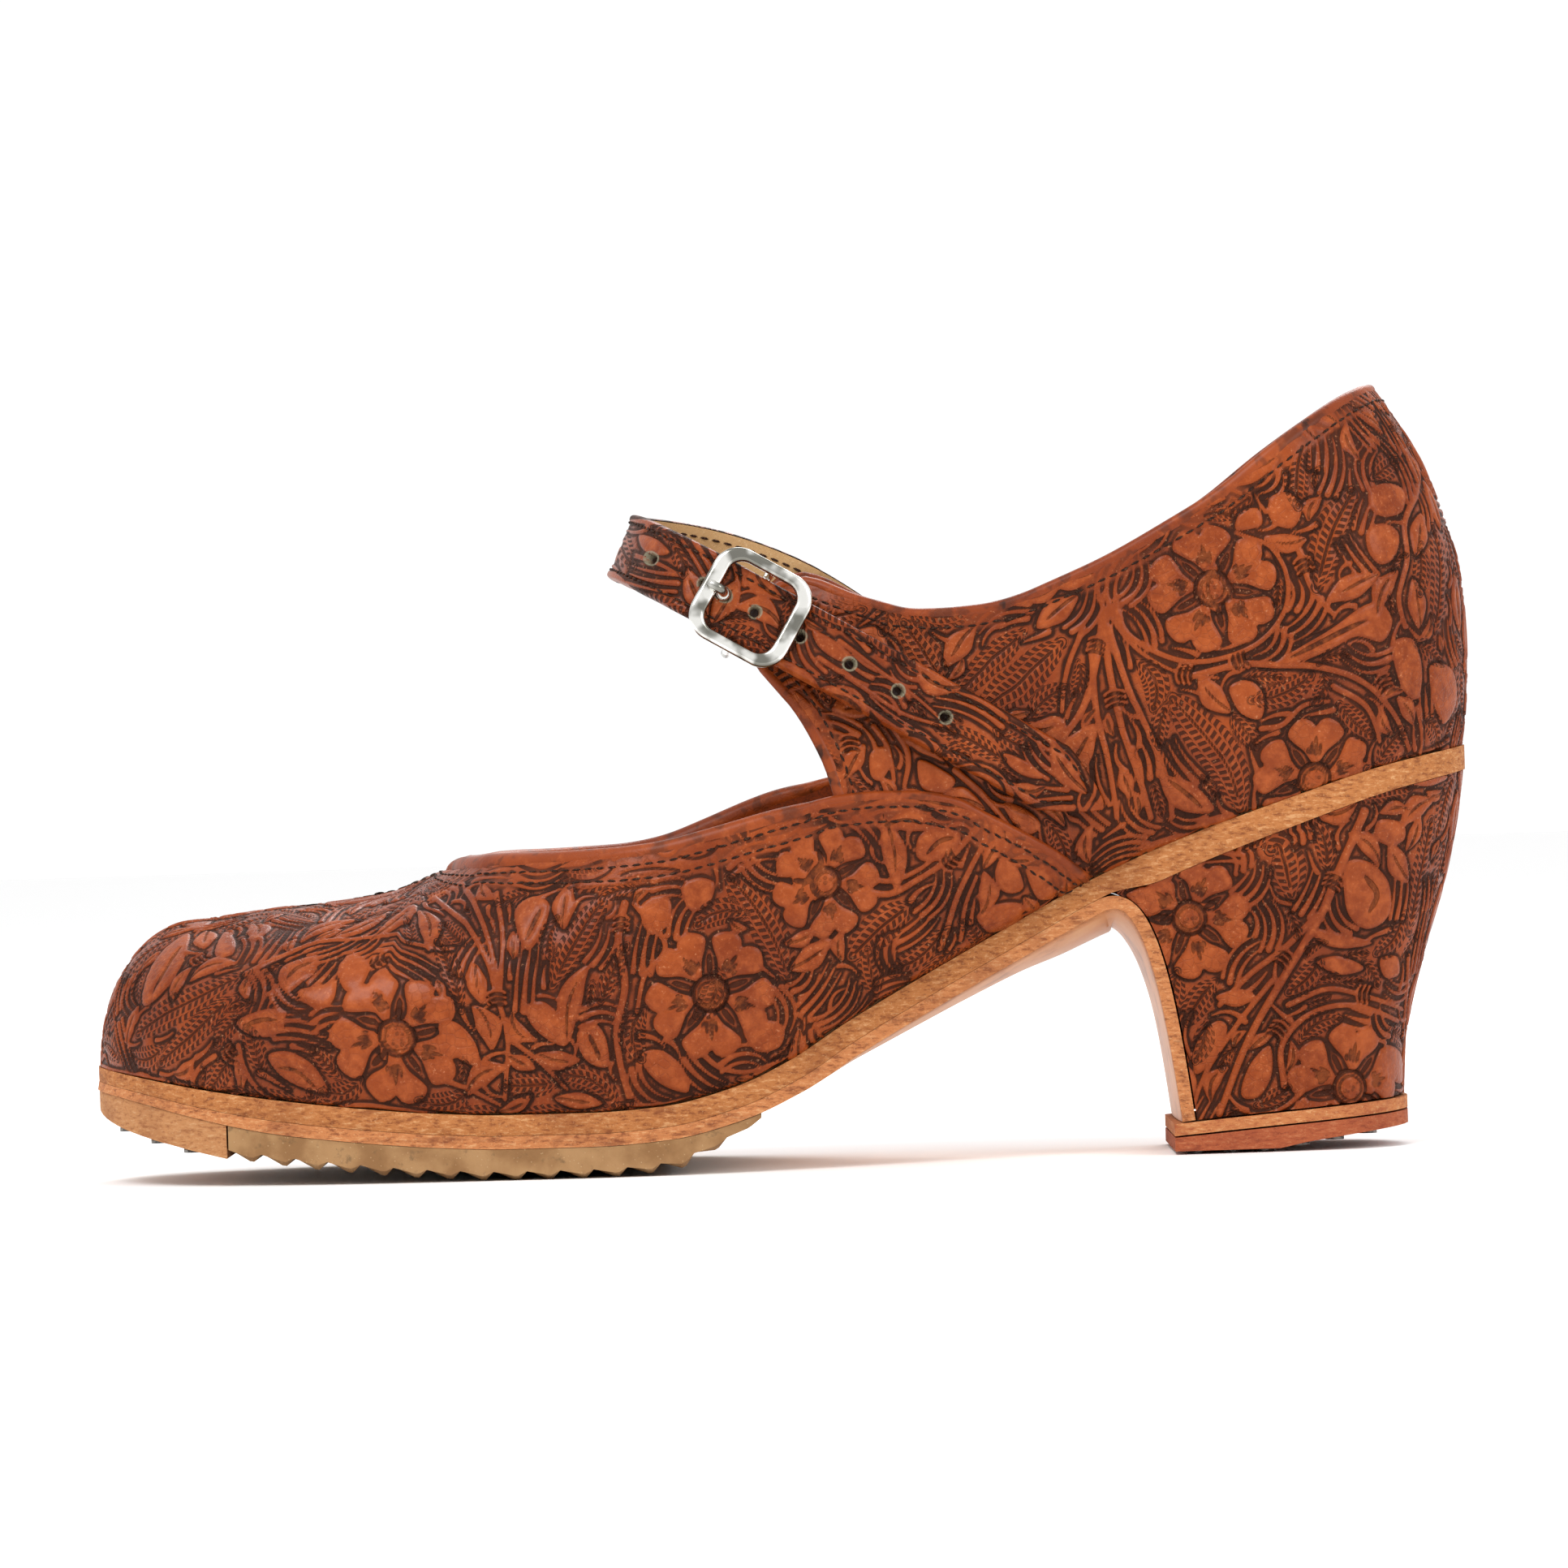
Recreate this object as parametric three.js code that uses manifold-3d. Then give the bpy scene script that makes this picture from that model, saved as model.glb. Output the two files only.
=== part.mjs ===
// Left folklorico dance shoe: a closed-toe leather upper with an instep strap and buckle, on a
// leather sole with a rippled rubber half sole, a nailed toe piece and a covered heel.
// Millimetres. The toe points along -X, the outer side of the foot faces -Y, +Z is up, and the
// origin is on the floor at the middle of the shoe's box.
import * as THREE from "three";
import { mergeVertices } from "three/addons/utils/BufferGeometryUtils.js";
import Module from "manifold-3d";

const wasm = await Module();
wasm.setup();

// Driving dimensions
const LENGTH = 232.8; // toe to the back of the counter
const BALL_WIDTH = 76; // the last, across the ball of the foot
const TOE_SPRING = 8.9; // how far the toe lifts above the ball
const HEEL_RISE = 56.2; // how far the heel seat lifts above the ball
const TOE_DEPTH = 21.5; // height of the last's toe box above its feather edge
const LEG_HEIGHT = 88; // height of the last's cone above the seat, cut off by the topline
const COUNTER_HEIGHT = 60.1; // heel seat to the top of the back seam
const COUNTER_LEAN = 14.2; // how far the top of the back seam leans forward
const NOSE_SWEEP = 16; // how far the toe box slopes back from its lowest point
const TOE_ROUND = 52; // length of the rounded toe in plan
const HEEL_ROUND = 31; // length of the rounded heel in plan
const FEATHER_TUCK = 2.6; // how far the wall tucks in at the feather edge

const WALL = 2; // upper leather and lining
const LAP = 1; // the vamp lies this far outside the quarters
const CLEARANCE = 0.3; // between pieces that meet
const SOLE_MARGIN = 0.3; // the sole stands this far outside the upper
const INSOLE = 2; // thickness of the insole
const MIDSOLE = 3.2; // thickness of the leather midsole
const SEAT_RAND = 1.9; // extra midsole thickness where it leaves the outsole, over the heel
const TOE_SKIVE = 0.34; // share by which the leather layers thin towards the toe
const OUTSOLE = 1.9; // thickness of the leather outsole
const TREAD = 5.7; // thickness of the rubber half sole, to the tips of its ribs
const TREAD_TAPER = 15; // length over which the half sole runs out at the back
const RIB_PITCH = 5.5;
const RIB_DEPTH = 1.5;
const RIB_FLAT = 0.7; // width of a rib's flat tip
const RIB_BEVEL = 3; // how far in from the edge the ribs reach full depth
const TOE_PIECE_LENGTH = 23; // the nailed leather piece under the toe
const TOE_PIECE = 5.5; // its thickness
const CROWN = 3.6; // how far the waist and breast of the outsole bulge

const HEEL_SEAT = 49.2; // back of the shoe to the foot of the heel breast
const HEEL_FOOT = 36.2; // length of the heel at the floor
const HEEL_FOOT_WIDTH = 41; // width of the heel at the floor
const HEEL_FOOT_ROUND = 19; // length of the rounded back of the heel's foot
const SHANK_REACH = 15; // breast foot to where the outsole leaves the waist
const HEEL_PITCH = 4.4; // degrees that the foot of the heel block slopes up to the back
const LIFT = 2; // thickness of the upper lift
const TOP_PIECE = 2.2; // thickness of the nailed top piece at the breast
const LIFT_MARGIN = 0.6; // the lifts stand this far outside the heel
const HEEL_FLAT = 14; // length of the top piece that lies on the floor
const HEEL_WORN = 3; // how far the back edge of the top piece is lifted
const NAIL_RADIUS = 1.5;
const NAIL_HEAD = 0.6; // how far a nail head stands out of the leather
const NAIL_SPACING = 5.8;

const STRAP_WIDTH = 11.5;
const STRAP = 2; // thickness of the strap
const STRAP_FREE = 89; // strap length from the crown of its arch to the pointed tip
const STRAP_FAR = 40; // strap length from the crown to the sewn end
const STRAP_POINT = 9; // length of the pointed tip
const STRAP_CROWN = 0.3965 * LENGTH; // crown of the arch, back from the toe
const STRAP_CROWN_UP = 0.8005; // height of the crown above the ball, as a share of the topline's
const STRAP_SLOPE = 30.5; // degrees that the free side runs down towards the heel
const STRAP_FAR_SLOPE = 30; // degrees that the sewn side runs down at its end
const STRAP_FAR_CHORD = 0.7; // slope of the sewn side's chord, as a share of the slope at its end
const STRAP_LEAN = 23.8; // degrees that the strap leans back at the crown
const STRAP_ARCH = 17; // depth of the arch along the strap
const STRAP_LIFT = 4.9; // gap between strap and quarter at the buckle
const HOLE_RADIUS = 0.9;
const HOLE_SPACING = 8.86;
const HOLE_COUNT = 9;
const HOLE_FIRST = 29.7; // pointed tip to the first hole

const BUCKLE_AT = 22.9; // crown of the arch to the middle of the buckle
const BUCKLE_LENGTH = 17.8; // along the strap
const BUCKLE_WIDTH = 16.8; // across the strap
const BUCKLE_BAR = 2.7; // width of the bars that cross the strap
const BUCKLE_RAIL = 2; // width of the rails beside the strap
const BUCKLE_THICK = 1.8;
const BUCKLE_RISE = 0.6; // the frame's underside above the strap
const BUCKLE_CORNER = 4.6;
const PIN_RADIUS = 0.7; // centre bar
const PRONG_WIDTH = 1.5;
const PRONG_THICK = 0.9;
const TAB_WIDTH = 9.5;
const TAB_THICK = 0.9;
const TAB_LENGTH = 17; // centre bar to the sewn end of the tab

// A table of named columns, one row for each station
function table(names, rows) {
  const keys = names.split(" ");
  return rows.map((row) => Object.fromEntries(keys.map((key, i) => [key, row[i]])));
}

// A smooth curve through one column of a table, without overshoot, straight beyond its ends
function through(rows, key, column) {
  const x = rows.map((row) => row[key]);
  const y = rows.map((row) => row[column]);
  const last = x.length - 1;
  const step = x.slice(1).map((v, i) => v - x[i]);
  const rate = step.map((v, i) => (y[i + 1] - y[i]) / v);
  const slope = x.map((_, i) => {
    if (i === 0) return rate[0];
    if (i === last) return rate[last - 1];
    if (rate[i - 1] * rate[i] <= 0) return 0;
    const a = 2 * step[i] + step[i - 1];
    const b = step[i] + 2 * step[i - 1];
    return (a + b) / (a / rate[i - 1] + b / rate[i]);
  });
  return (at) => {
    if (at <= x[0]) return y[0] + slope[0] * (at - x[0]);
    if (at >= x[last]) return y[last] + slope[last] * (at - x[last]);
    const i = x.findIndex((v, k) => k < last && at < x[k + 1]);
    const t = (at - x[i]) / step[i];
    const rise = y[i + 1] - y[i];
    return (
      y[i] +
      rise * t * t * (3 - 2 * t) +
      step[i] * t * (1 - t) * (slope[i] * (1 - t) - slope[i + 1] * t)
    );
  };
}

const mix = (a, b, t) => a + (b - a) * t;
const clamp = (v) => Math.min(1, Math.max(0, v));
const smooth = (v) => clamp(v) ** 2 * (3 - 2 * clamp(v));
const radians = THREE.MathUtils.degToRad;
const point = (x, y, z) => new THREE.Vector3(x, y, z);
// A superellipse quarter: 1 at u = 0, falling to 0 at u = 1
const closing = (u, power) => (1 - clamp(u) ** power) ** (1 / power);

// The last, by share of the length from toe to heel.
// spring and rise lift the feather edge, as shares of TOE_SPRING and HEEL_RISE; ridge is the top of
// the cone above the feather, as a share of TOE_DEPTH at the toe and of LEG_HEIGHT behind; bulge is
// the height of the widest point, as a share of TOE_DEPTH; the rest are shares of BALL_WIDTH.
const LAST = table("at spring rise toe cone bulge lateral medial centre", [
  [0.0, 1.0, 0.0, 0.97, 0.0, 0.5, 0.45, 0.45, 0.055],
  [0.03, 0.85, 0.0, 1.03, 0.0, 0.54, 0.46, 0.46, 0.052],
  [0.08, 0.6, 0.0, 1.16, 0.0, 0.58, 0.47, 0.47, 0.045],
  [0.13, 0.4, 0.0, 1.31, 0.0, 0.6, 0.48, 0.48, 0.036],
  [0.18, 0.235, 0.0, 1.42, 0.0, 0.62, 0.487, 0.487, 0.028],
  [0.22, 0.125, 0.0, 1.535, 0.0, 0.64, 0.493, 0.49, 0.02],
  [0.2526, 0.055, 0.0, 1.7, 0.0, 0.66, 0.498, 0.49, 0.014],
  [0.3, 0.0, 0.0, 1.83, 0.06, 0.7, 0.505, 0.49, 0.006],
  [0.36, 0.0, 0.0, 1.86, 0.19, 0.74, 0.51, 0.478, -0.004],
  [0.41, 0.0, 0.012, 1.86, 0.345, 0.79, 0.505, 0.458, -0.011],
  [0.46, 0.0, 0.06, 1.86, 0.51, 0.86, 0.487, 0.434, -0.016],
  [0.5, 0.0, 0.132, 1.86, 0.62, 0.92, 0.465, 0.413, -0.018],
  [0.54, 0.0, 0.233, 1.86, 0.68, 1.0, 0.44, 0.395, -0.018],
  [0.6, 0.0, 0.37, 1.86, 0.71, 1.06, 0.408, 0.372, -0.016],
  [0.66, 0.0, 0.502, 1.86, 0.71, 1.1, 0.382, 0.356, -0.012],
  [0.72, 0.0, 0.632, 1.86, 0.69, 1.1, 0.365, 0.348, -0.008],
  [0.78, 0.0, 0.738, 1.86, 0.65, 1.06, 0.356, 0.345, -0.004],
  [0.86, 0.0, 0.852, 1.86, 0.6, 1.0, 0.351, 0.345, 0.0],
  [0.93, 0.0, 0.94, 1.86, 0.56, 0.96, 0.349, 0.345, 0.0],
  [1.0, 0.0, 1.0, 1.86, 0.53, 0.94, 0.347, 0.345, 0.0],
]);
// How far the back seam leans forward, by share of COUNTER_HEIGHT, as a share of COUNTER_LEAN
const COUNTER = table("at lean", [
  [0.0, 0.09],
  [0.1, 0.035],
  [0.24, 0.0],
  [0.38, 0.014],
  [0.51, 0.07],
  [0.65, 0.24],
  [0.79, 0.458],
  [0.93, 0.796],
  [1.0, 1.0],
  [1.3, 2.0],
]);
// How far the feather edge narrows at the waist, as a share of BALL_WIDTH
const WAIST = table("at narrow", [
  [0.36, 0.0],
  [0.5, 0.02],
  [0.62, 0.075],
  [0.72, 0.06],
  [0.82, 0.015],
  [0.9, 0.0],
]);

const STACK = TREAD + OUTSOLE + MIDSOLE;
const BACK = LENGTH - WALL; // back of the last
const TOE = WALL + LAP; // front of the last
const springAt = through(LAST, "at", "spring");
const riseAt = through(LAST, "at", "rise");
const toeAt = through(LAST, "at", "toe");
const coneAt = through(LAST, "at", "cone");
const bulgeAt = through(LAST, "at", "bulge");
const lateralAt = through(LAST, "at", "lateral");
const medialAt = through(LAST, "at", "medial");
const centreAt = through(LAST, "at", "centre");
const leanAt = through(COUNTER, "at", "lean");
const narrowAt = through(WAIST, "at", "narrow");

const lift = (x) => springAt(x / LENGTH) * TOE_SPRING + riseAt(x / LENGTH) * HEEL_RISE;
const feather = (x) => STACK + lift(x);
const centre = (x) => centreAt(x / LENGTH) * BALL_WIDTH;
const ridgeHeight = (x) => toeAt(x / LENGTH) * TOE_DEPTH + coneAt(x / LENGTH) * LEG_HEIGHT;
const SEAT = STACK + HEEL_RISE;
const backSeam = (z) => BACK - COUNTER_LEAN * leanAt((z - SEAT) / COUNTER_HEIGHT);

const LATERAL = -1;
const MEDIAL = 1;
const TOE_POWER = 2.3;
const RIDGE_POWER = 2.05;
const BACK_POWER = 2.2;

// Half width of the last, grown by `grow`, at height h above the feather edge, before the ends close
function wallWidth(side, x, h, height, grow) {
  const s = x / LENGTH;
  const wide = BALL_WIDTH * (side < 0 ? lateralAt(s) : medialAt(s)) + grow;
  const narrow = s > WAIST[0].at && s < WAIST.at(-1).at ? narrowAt(s) * BALL_WIDTH : 0;
  const tuck = FEATHER_TUCK + narrow;
  const bulge = bulgeAt(s) * TOE_DEPTH;
  if (h < bulge) return wide - tuck * (1 - Math.sqrt(1 - (1 - clamp(h / bulge)) ** 2));
  return wide * closing((h - bulge) / (height - bulge), RIDGE_POWER);
}

// A point on the last grown by `grow`, at length x, at a level from 0 at the feather edge to 1 on the
// ridge, or below 0 by that many millimetres
function lastPoint(side, x, level, grow) {
  const height = ridgeHeight(x) + grow;
  const h = level < 0 ? level : level * height;
  const z = feather(x) + h;
  const front = frontOf(level, grow);
  const rear = backSeam(z) + grow;
  const y =
    wallWidth(side, x, Math.max(h, 0), height, grow) *
    closing((front + TOE_ROUND - x) / TOE_ROUND, TOE_POWER) *
    closing((x - rear + HEEL_ROUND) / HEEL_ROUND, BACK_POWER);
  return point(x, centre(x) + side * y, z);
}
const frontOf = (level, grow) =>
  TOE - grow + NOSE_SWEEP * (1 - Math.sqrt(1 - clamp(level) ** 2));
// The back of the last at one level: a few rounds settle the height that goes with it
function rearOf(level, grow) {
  let x = BACK + grow;
  for (let i = 0; i < 8; i++) {
    const h = level < 0 ? level : level * (ridgeHeight(x) + grow);
    x = mix(x, backSeam(feather(x) + h) + grow, 0.7);
  }
  return x;
}

// A solid from points and triangles, through a geometry whose shared points are merged
function solidOf(geometry) {
  geometry.deleteAttribute("normal");
  geometry.deleteAttribute("uv");
  const merged = mergeVertices(geometry, 1e-3);
  const index = [];
  const raw = merged.index.array;
  for (let i = 0; i < raw.length; i += 3) {
    const [a, b, c] = [raw[i], raw[i + 1], raw[i + 2]];
    if (a !== b && b !== c && c !== a) index.push(a, b, c);
  }
  const made = new wasm.Manifold(
    new wasm.Mesh({
      numProp: 3,
      vertProperties: new Float32Array(merged.attributes.position.array),
      triVerts: new Uint32Array(index),
    }),
  );
  return made;
}

function geometryOf(solid) {
  const mesh = solid.getMesh();
  const flat = new Float32Array(mesh.numVert * 3);
  for (let i = 0; i < mesh.numVert; i++) {
    flat.set(mesh.vertProperties.subarray(i * mesh.numProp, i * mesh.numProp + 3), i * 3);
  }
  const geometry = new THREE.BufferGeometry();
  geometry.setAttribute("position", new THREE.BufferAttribute(flat, 3));
  geometry.setIndex(new THREE.BufferAttribute(new Uint32Array(mesh.triVerts), 1));
  geometry.computeVertexNormals();
  return geometry;
}

// Rings of points with one count each, joined in order. A cap is "fan" for a convex ring, "pairs"
// for a ring whose point i faces point n - i, or "none" where the ring is already shut.
function skin(rings, startCap, endCap) {
  const n = rings[0].length;
  const flat = rings.flat().flatMap((p) => [p.x, p.y, p.z]);
  const index = [];
  for (let j = 0; j + 1 < rings.length; j++) {
    for (let i = 0; i < n; i++) {
      const a = j * n + i;
      const b = j * n + ((i + 1) % n);
      index.push(a, b, b + n, a, b + n, a + n);
    }
  }
  const cap = (kind, base, flip) => {
    const add = (a, b, c) => index.push(...(flip ? [base + a, base + c, base + b] : [base + a, base + b, base + c]));
    if (kind === "fan") for (let i = 1; i + 1 < n; i++) add(0, i + 1, i);
    if (kind === "pairs") {
      for (let i = 0; i < n / 2; i++) {
        const far = (k) => (n - k) % n;
        add(i, far(i), far(i + 1));
        add(i, far(i + 1), i + 1);
      }
    }
  };
  cap(startCap, 0, false);
  cap(endCap, (rings.length - 1) * n, true);
  const geometry = new THREE.BufferGeometry();
  geometry.setAttribute("position", new THREE.BufferAttribute(new Float32Array(flat), 3));
  geometry.setIndex(index);
  const solid = solidOf(geometry);
  if (solid.volume() >= 0) return solid;
  for (let i = 0; i < index.length; i += 3) {
    [index[i + 1], index[i + 2]] = [index[i + 2], index[i + 1]];
  }
  geometry.setIndex(index);
  return solidOf(geometry);
}

// A prism across the shoe: an outline of [x, z] points in side view, from y = low to y = high
function prism(outline, low, high) {
  const shape = new THREE.Shape(outline.map(([x, z]) => new THREE.Vector2(x, z)));
  const geometry = new THREE.ExtrudeGeometry(shape, { depth: high - low, bevelEnabled: false });
  geometry.rotateX(Math.PI / 2);
  geometry.translate(0, high, 0);
  return solidOf(geometry);
}

const FAR = 200; // beyond every piece, for cutting
const AROUND = 66; // points in a ring round the last
const LEVELS = 11;

// One ring round the last, from the toe along the lateral side to the heel and back
function lastRing(level, grow, drop) {
  const [front, rear] = [frontOf(level, grow), rearOf(level, grow)];
  return Array.from({ length: AROUND }, (_, i) => {
    const turn = (2 * Math.PI * i) / AROUND;
    const x = mix(front, rear, (1 - Math.cos(turn)) / 2);
    const side = i < AROUND / 2 ? LATERAL : MEDIAL;
    const p = lastPoint(side, x, level, grow);
    p.z -= drop;
    return p;
  });
}

// The whole last as a closed solid, from `drop` below the feather edge up to its ridge
function lastSolid(grow, drop) {
  const rings = [];
  if (drop) rings.push(lastRing(0, grow, drop));
  for (let j = 0; j <= LEVELS; j++) {
    rings.push(lastRing(Math.sin((Math.PI / 2) * (j / LEVELS)), grow, 0));
  }
  return skin(rings, "pairs", "none");
}

// Toplines in side view. `at` is a share of LENGTH, `up` of the height from the ball's feather edge
// to the top of the back seam.
const TOPLINE_HEIGHT = HEEL_RISE + COUNTER_HEIGHT;
const VAMP_LINE = table("at up", [
  [0.2539, 0.3448],
  [0.278, 0.3491],
  [0.304, 0.3525],
  [0.3574, 0.3568],
  [0.4108, 0.3654],
  [0.4461, 0.3809],
  [0.482, 0.3998],
  [0.5174, 0.4179],
  [0.5388, 0.4299],
  [0.5705, 0.4342],
  [0.5918, 0.4334],
  [0.6233, 0.4222],
  [0.6442, 0.3998],
  [0.6578, 0.3852],
  [0.6924, 0.3439],
  [0.72, 0.3009],
  [0.732, 0.281],
]);
const FRONT_EDGE = table("at up", [
  [0.6, 0.0],
  [0.56, 0.3],
  [0.5411, 0.4334],
  [0.5355, 0.4738],
  [0.5302, 0.5004],
  [0.5215, 0.5357],
  [0.5128, 0.5641],
  [0.5039, 0.5864],
  [0.495, 0.608],
  [0.4885, 0.625],
  [0.484, 0.65],
  [0.485, 0.685],
  [0.493, 0.715],
  [0.505, 0.737],
]);
const QUARTER_LINE = table("at up", [
  [0.5219, 0.742],
  [0.5334, 0.7352],
  [0.5533, 0.7171],
  [0.5733, 0.7034],
  [0.5934, 0.6922],
  [0.6136, 0.6905],
  [0.6339, 0.6922],
  [0.6542, 0.6965],
  [0.6747, 0.7068],
  [0.6952, 0.7223],
  [0.7364, 0.7567],
  [0.7778, 0.7997],
  [0.8194, 0.8478],
  [0.8614, 0.9114],
  [0.9043, 0.9708],
  [0.9268, 0.9948],
  [0.9378, 0.9991],
  [1.02, 1.002],
]);
const VAMP_RAISE = 3.2; // the medial topline of the vamp runs this much higher at the instep
const QUARTER_RAISE = 2; // and the front of the medial quarter this much
const vampRaise = (at) => VAMP_RAISE * smooth((at - 0.38) / 0.13) * smooth((0.72 - at) / 0.1);
const quarterRaise = (at) => QUARTER_RAISE * smooth((at - 0.38) / 0.1) * smooth((0.6 - at) / 0.06);
// A quarter's edge as [x, z] points on one side
function sideLine(rows, side) {
  return rows.map(({ at, up }) => {
    const raise = side > 0 ? quarterRaise(at) : 0;
    return [at * LENGTH, STACK + up * TOPLINE_HEIGHT + raise];
  });
}
// The same edge rounded through its rows, with `steps` points between its ends
function roundedLine(rows, side, steps) {
  const curve = new THREE.SplineCurve(sideLine(rows, side).map(([x, z]) => new THREE.Vector2(x, z)));
  return curve.getPoints(steps).map((p) => [p.x, p.y]);
}

const vampUp = through(VAMP_LINE, "at", "up");
const THROAT = VAMP_LINE[0].at * LENGTH;
// The vamp's topline on one side, as a point on its outer face
function toplinePoint(side, x) {
  const raise = side > 0 ? vampRaise(x / LENGTH) : 0;
  const z = STACK + vampUp(x / LENGTH) * TOPLINE_HEIGHT + raise;
  const height = ridgeHeight(x) + WALL + LAP;
  const half = wallWidth(side, x, Math.max(0, z - feather(x)), height, WALL + LAP);
  return point(x, centre(x) + side * (half + 0.05), z);
}
// All that lies above and behind the vamp's topline. Its wall stands upright at the throat, where the
// leather is nearly level, and turns to level along the sides.
function aboveVamp() {
  const steps = 56;
  const reach = 2 * (WALL + LAP);
  const turnOver = 0.14 * LENGTH;
  const rings = Array.from({ length: steps + 1 }, (_, i) => {
    const x = mix(THROAT, LENGTH + 10, (i / steps) ** 1.5);
    const turn = (Math.PI / 2) * (1 - smooth((x - THROAT) / turnOver));
    const [left, right] = [LATERAL, MEDIAL].map((side) => {
      const p = toplinePoint(side, x);
      const room = 0.98 * Math.abs(p.y - centre(x));
      const inward = Math.cos(turn) < 0.02 ? reach : Math.min(reach, room / Math.cos(turn));
      const out = point(0, side * Math.cos(turn), Math.sin(turn));
      return [p.clone().addScaledVector(out, -inward), p.clone().addScaledVector(out, reach)];
    });
    return [left[0], left[1], point(x, -FAR, FAR), point(x, FAR, FAR), right[1], right[0]];
  });
  return skin(rings, "fan", "fan");
}

function quarterRegion(side) {
  const front = roundedLine(FRONT_EDGE, side, 26);
  const top = roundedLine(QUARTER_LINE, side, 40);
  const outline = [[LENGTH + FAR, -FAR], [LENGTH + FAR, top.at(-1)[1]], ...top.reverse(), ...front.reverse(), [front.at(-1)[0], -FAR]];
  return prism(outline, side < 0 ? -FAR : 0, side < 0 ? 0 : FAR);
}

function makeUpper() {
  const quarters = lastSolid(WALL, 0).intersect(quarterRegion(LATERAL).add(quarterRegion(MEDIAL)));
  const vamp = lastSolid(WALL + LAP, 0).subtract(aboveVamp());
  return vamp.add(quarters).subtract(lastSolid(0, 8)).translate(0, 0, CLEARANCE / 2);
}

// The sole's outline follows the vamp in front and the thinner quarter behind. One side of it, `extra`
// millimetres outside the upper.
const upperGrow = (x) => WALL + LAP * (1 - smooth((x / LENGTH - 0.62) / 0.12));
const soleEdge = (side, x, extra) => lastPoint(side, x, 0, upperGrow(x) + extra).y;
const soleSide = (side, x) => soleEdge(side, x, SOLE_MARGIN);
const soleFront = (extra) => frontOf(0, WALL + LAP + extra);
const soleBack = (extra) => rearOf(0, WALL + extra);

// Stations along a slab, closer together at rounded ends
function stations(from, to, count, roundStart, roundEnd) {
  return Array.from({ length: count + 1 }, (_, i) => {
    const t = i / count;
    const eased = roundStart && roundEnd ? (1 - Math.cos(Math.PI * t)) / 2
      : roundStart ? 1 - Math.cos((Math.PI / 2) * t)
      : roundEnd ? Math.sin((Math.PI / 2) * t)
      : t;
    return mix(from, to, eased);
  });
}

// A slab with a section at each of `xs`, from functions of its side edges, top and underside
function slab(xs, edge, top, under) {
  const rings = xs.map((x) => {
    const [left, right] = [edge(LATERAL, x), edge(MEDIAL, x)];
    return [point(x, left, top(x)), point(x, right, top(x)), point(x, right, under(x)), point(x, left, under(x))];
  });
  return skin(rings, "fan", "fan");
}

const END_TRIM = 0.02; // keeps the first and last section of a rounded slab from closing to a line
const skive = (x) => 1 - TOE_SKIVE * (1 - smooth(x / (0.15 * LENGTH)));
const midsoleUnder = (x) => {
  const slope = (feather(x + 1) - feather(x - 1)) / 2;
  const rand = SEAT_RAND * smooth((x - RAND_START) / 10) * mix(1, 0.3, clamp((x - SHANK) / (LENGTH - SHANK)));
  return feather(x) - (MIDSOLE * skive(x) + rand) * Math.hypot(1, slope);
};
const BREAST = LENGTH - HEEL_SEAT; // foot of the heel breast
const SHANK = BREAST - SHANK_REACH; // where the outsole leaves the waist
const RAND_START = SHANK + 1;

function makeInsole() {
  const edge = (side, x) => lastPoint(side, x, 0, -CLEARANCE).y;
  const xs = stations(frontOf(0, -CLEARANCE) + END_TRIM, rearOf(0, -CLEARANCE) - END_TRIM, 40, true, true);
  return slab(xs, edge, (x) => feather(x) + CLEARANCE / 2 + INSOLE, (x) => feather(x) + CLEARANCE / 2);
}

function makeMidsole() {
  const xs = stations(soleFront(SOLE_MARGIN) + END_TRIM, soleBack(SOLE_MARGIN) - END_TRIM, 64, true, true);
  return slab(xs, soleSide, (x) => feather(x) - CLEARANCE / 2, midsoleUnder);
}

// How far the outsole's outer face bulges down the breast, from the shank to the lifts, as a share of
// CROWN
const BREAST_CROWN = table("at crown", [
  [0.0, 1.15],
  [0.14, 1.1],
  [0.3, 0.9],
  [0.45, 0.6],
  [0.6, 0.35],
  [0.8, 0.15],
  [1.0, 0.1],
]);
const CROWN_LINE = table("at crown", [
  [0.475, 0.0],
  [0.5, 0.08],
  [0.56, 0.4],
  [0.62, 0.57],
  [0.66, 0.72],
  [0.69, 1.0],
  [0.72, 1.15],
]);
const crownAt = through(CROWN_LINE, "at", "crown");
const LIFTS_TOP = NAIL_HEAD + TOP_PIECE + LIFT + 2 * CLEARANCE; // top of the lifts at the breast
const liftSlope = Math.tan(radians(HEEL_PITCH));
const LIFT_FRONT = BREAST - OUTSOLE - 1.6; // the lifts carry the foot of the outsole's flap
const liftsTop = (x) => LIFTS_TOP + (x - BREAST) * liftSlope;
const outsoleTop = (x) => midsoleUnder(x) - CLEARANCE;

const BREAST_HEIGHT = outsoleTop(SHANK) - liftsTop(BREAST) - CLEARANCE;
// The outsole's inner face from the shank, over and down the heel breast
const breastFoot = new THREE.Vector2(BREAST, liftsTop(BREAST) + CLEARANCE);
const breastHead = new THREE.Vector2(SHANK, outsoleTop(SHANK));
const breastCurve = new THREE.CubicBezierCurve(
  breastHead,
  breastHead.clone().add(new THREE.Vector2(0.55 * SHANK_REACH, 0.21 * SHANK_REACH)),
  breastFoot.clone().add(new THREE.Vector2(-0.23 * SHANK_REACH, 0.76 * BREAST_HEIGHT)),
  breastFoot,
);

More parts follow.
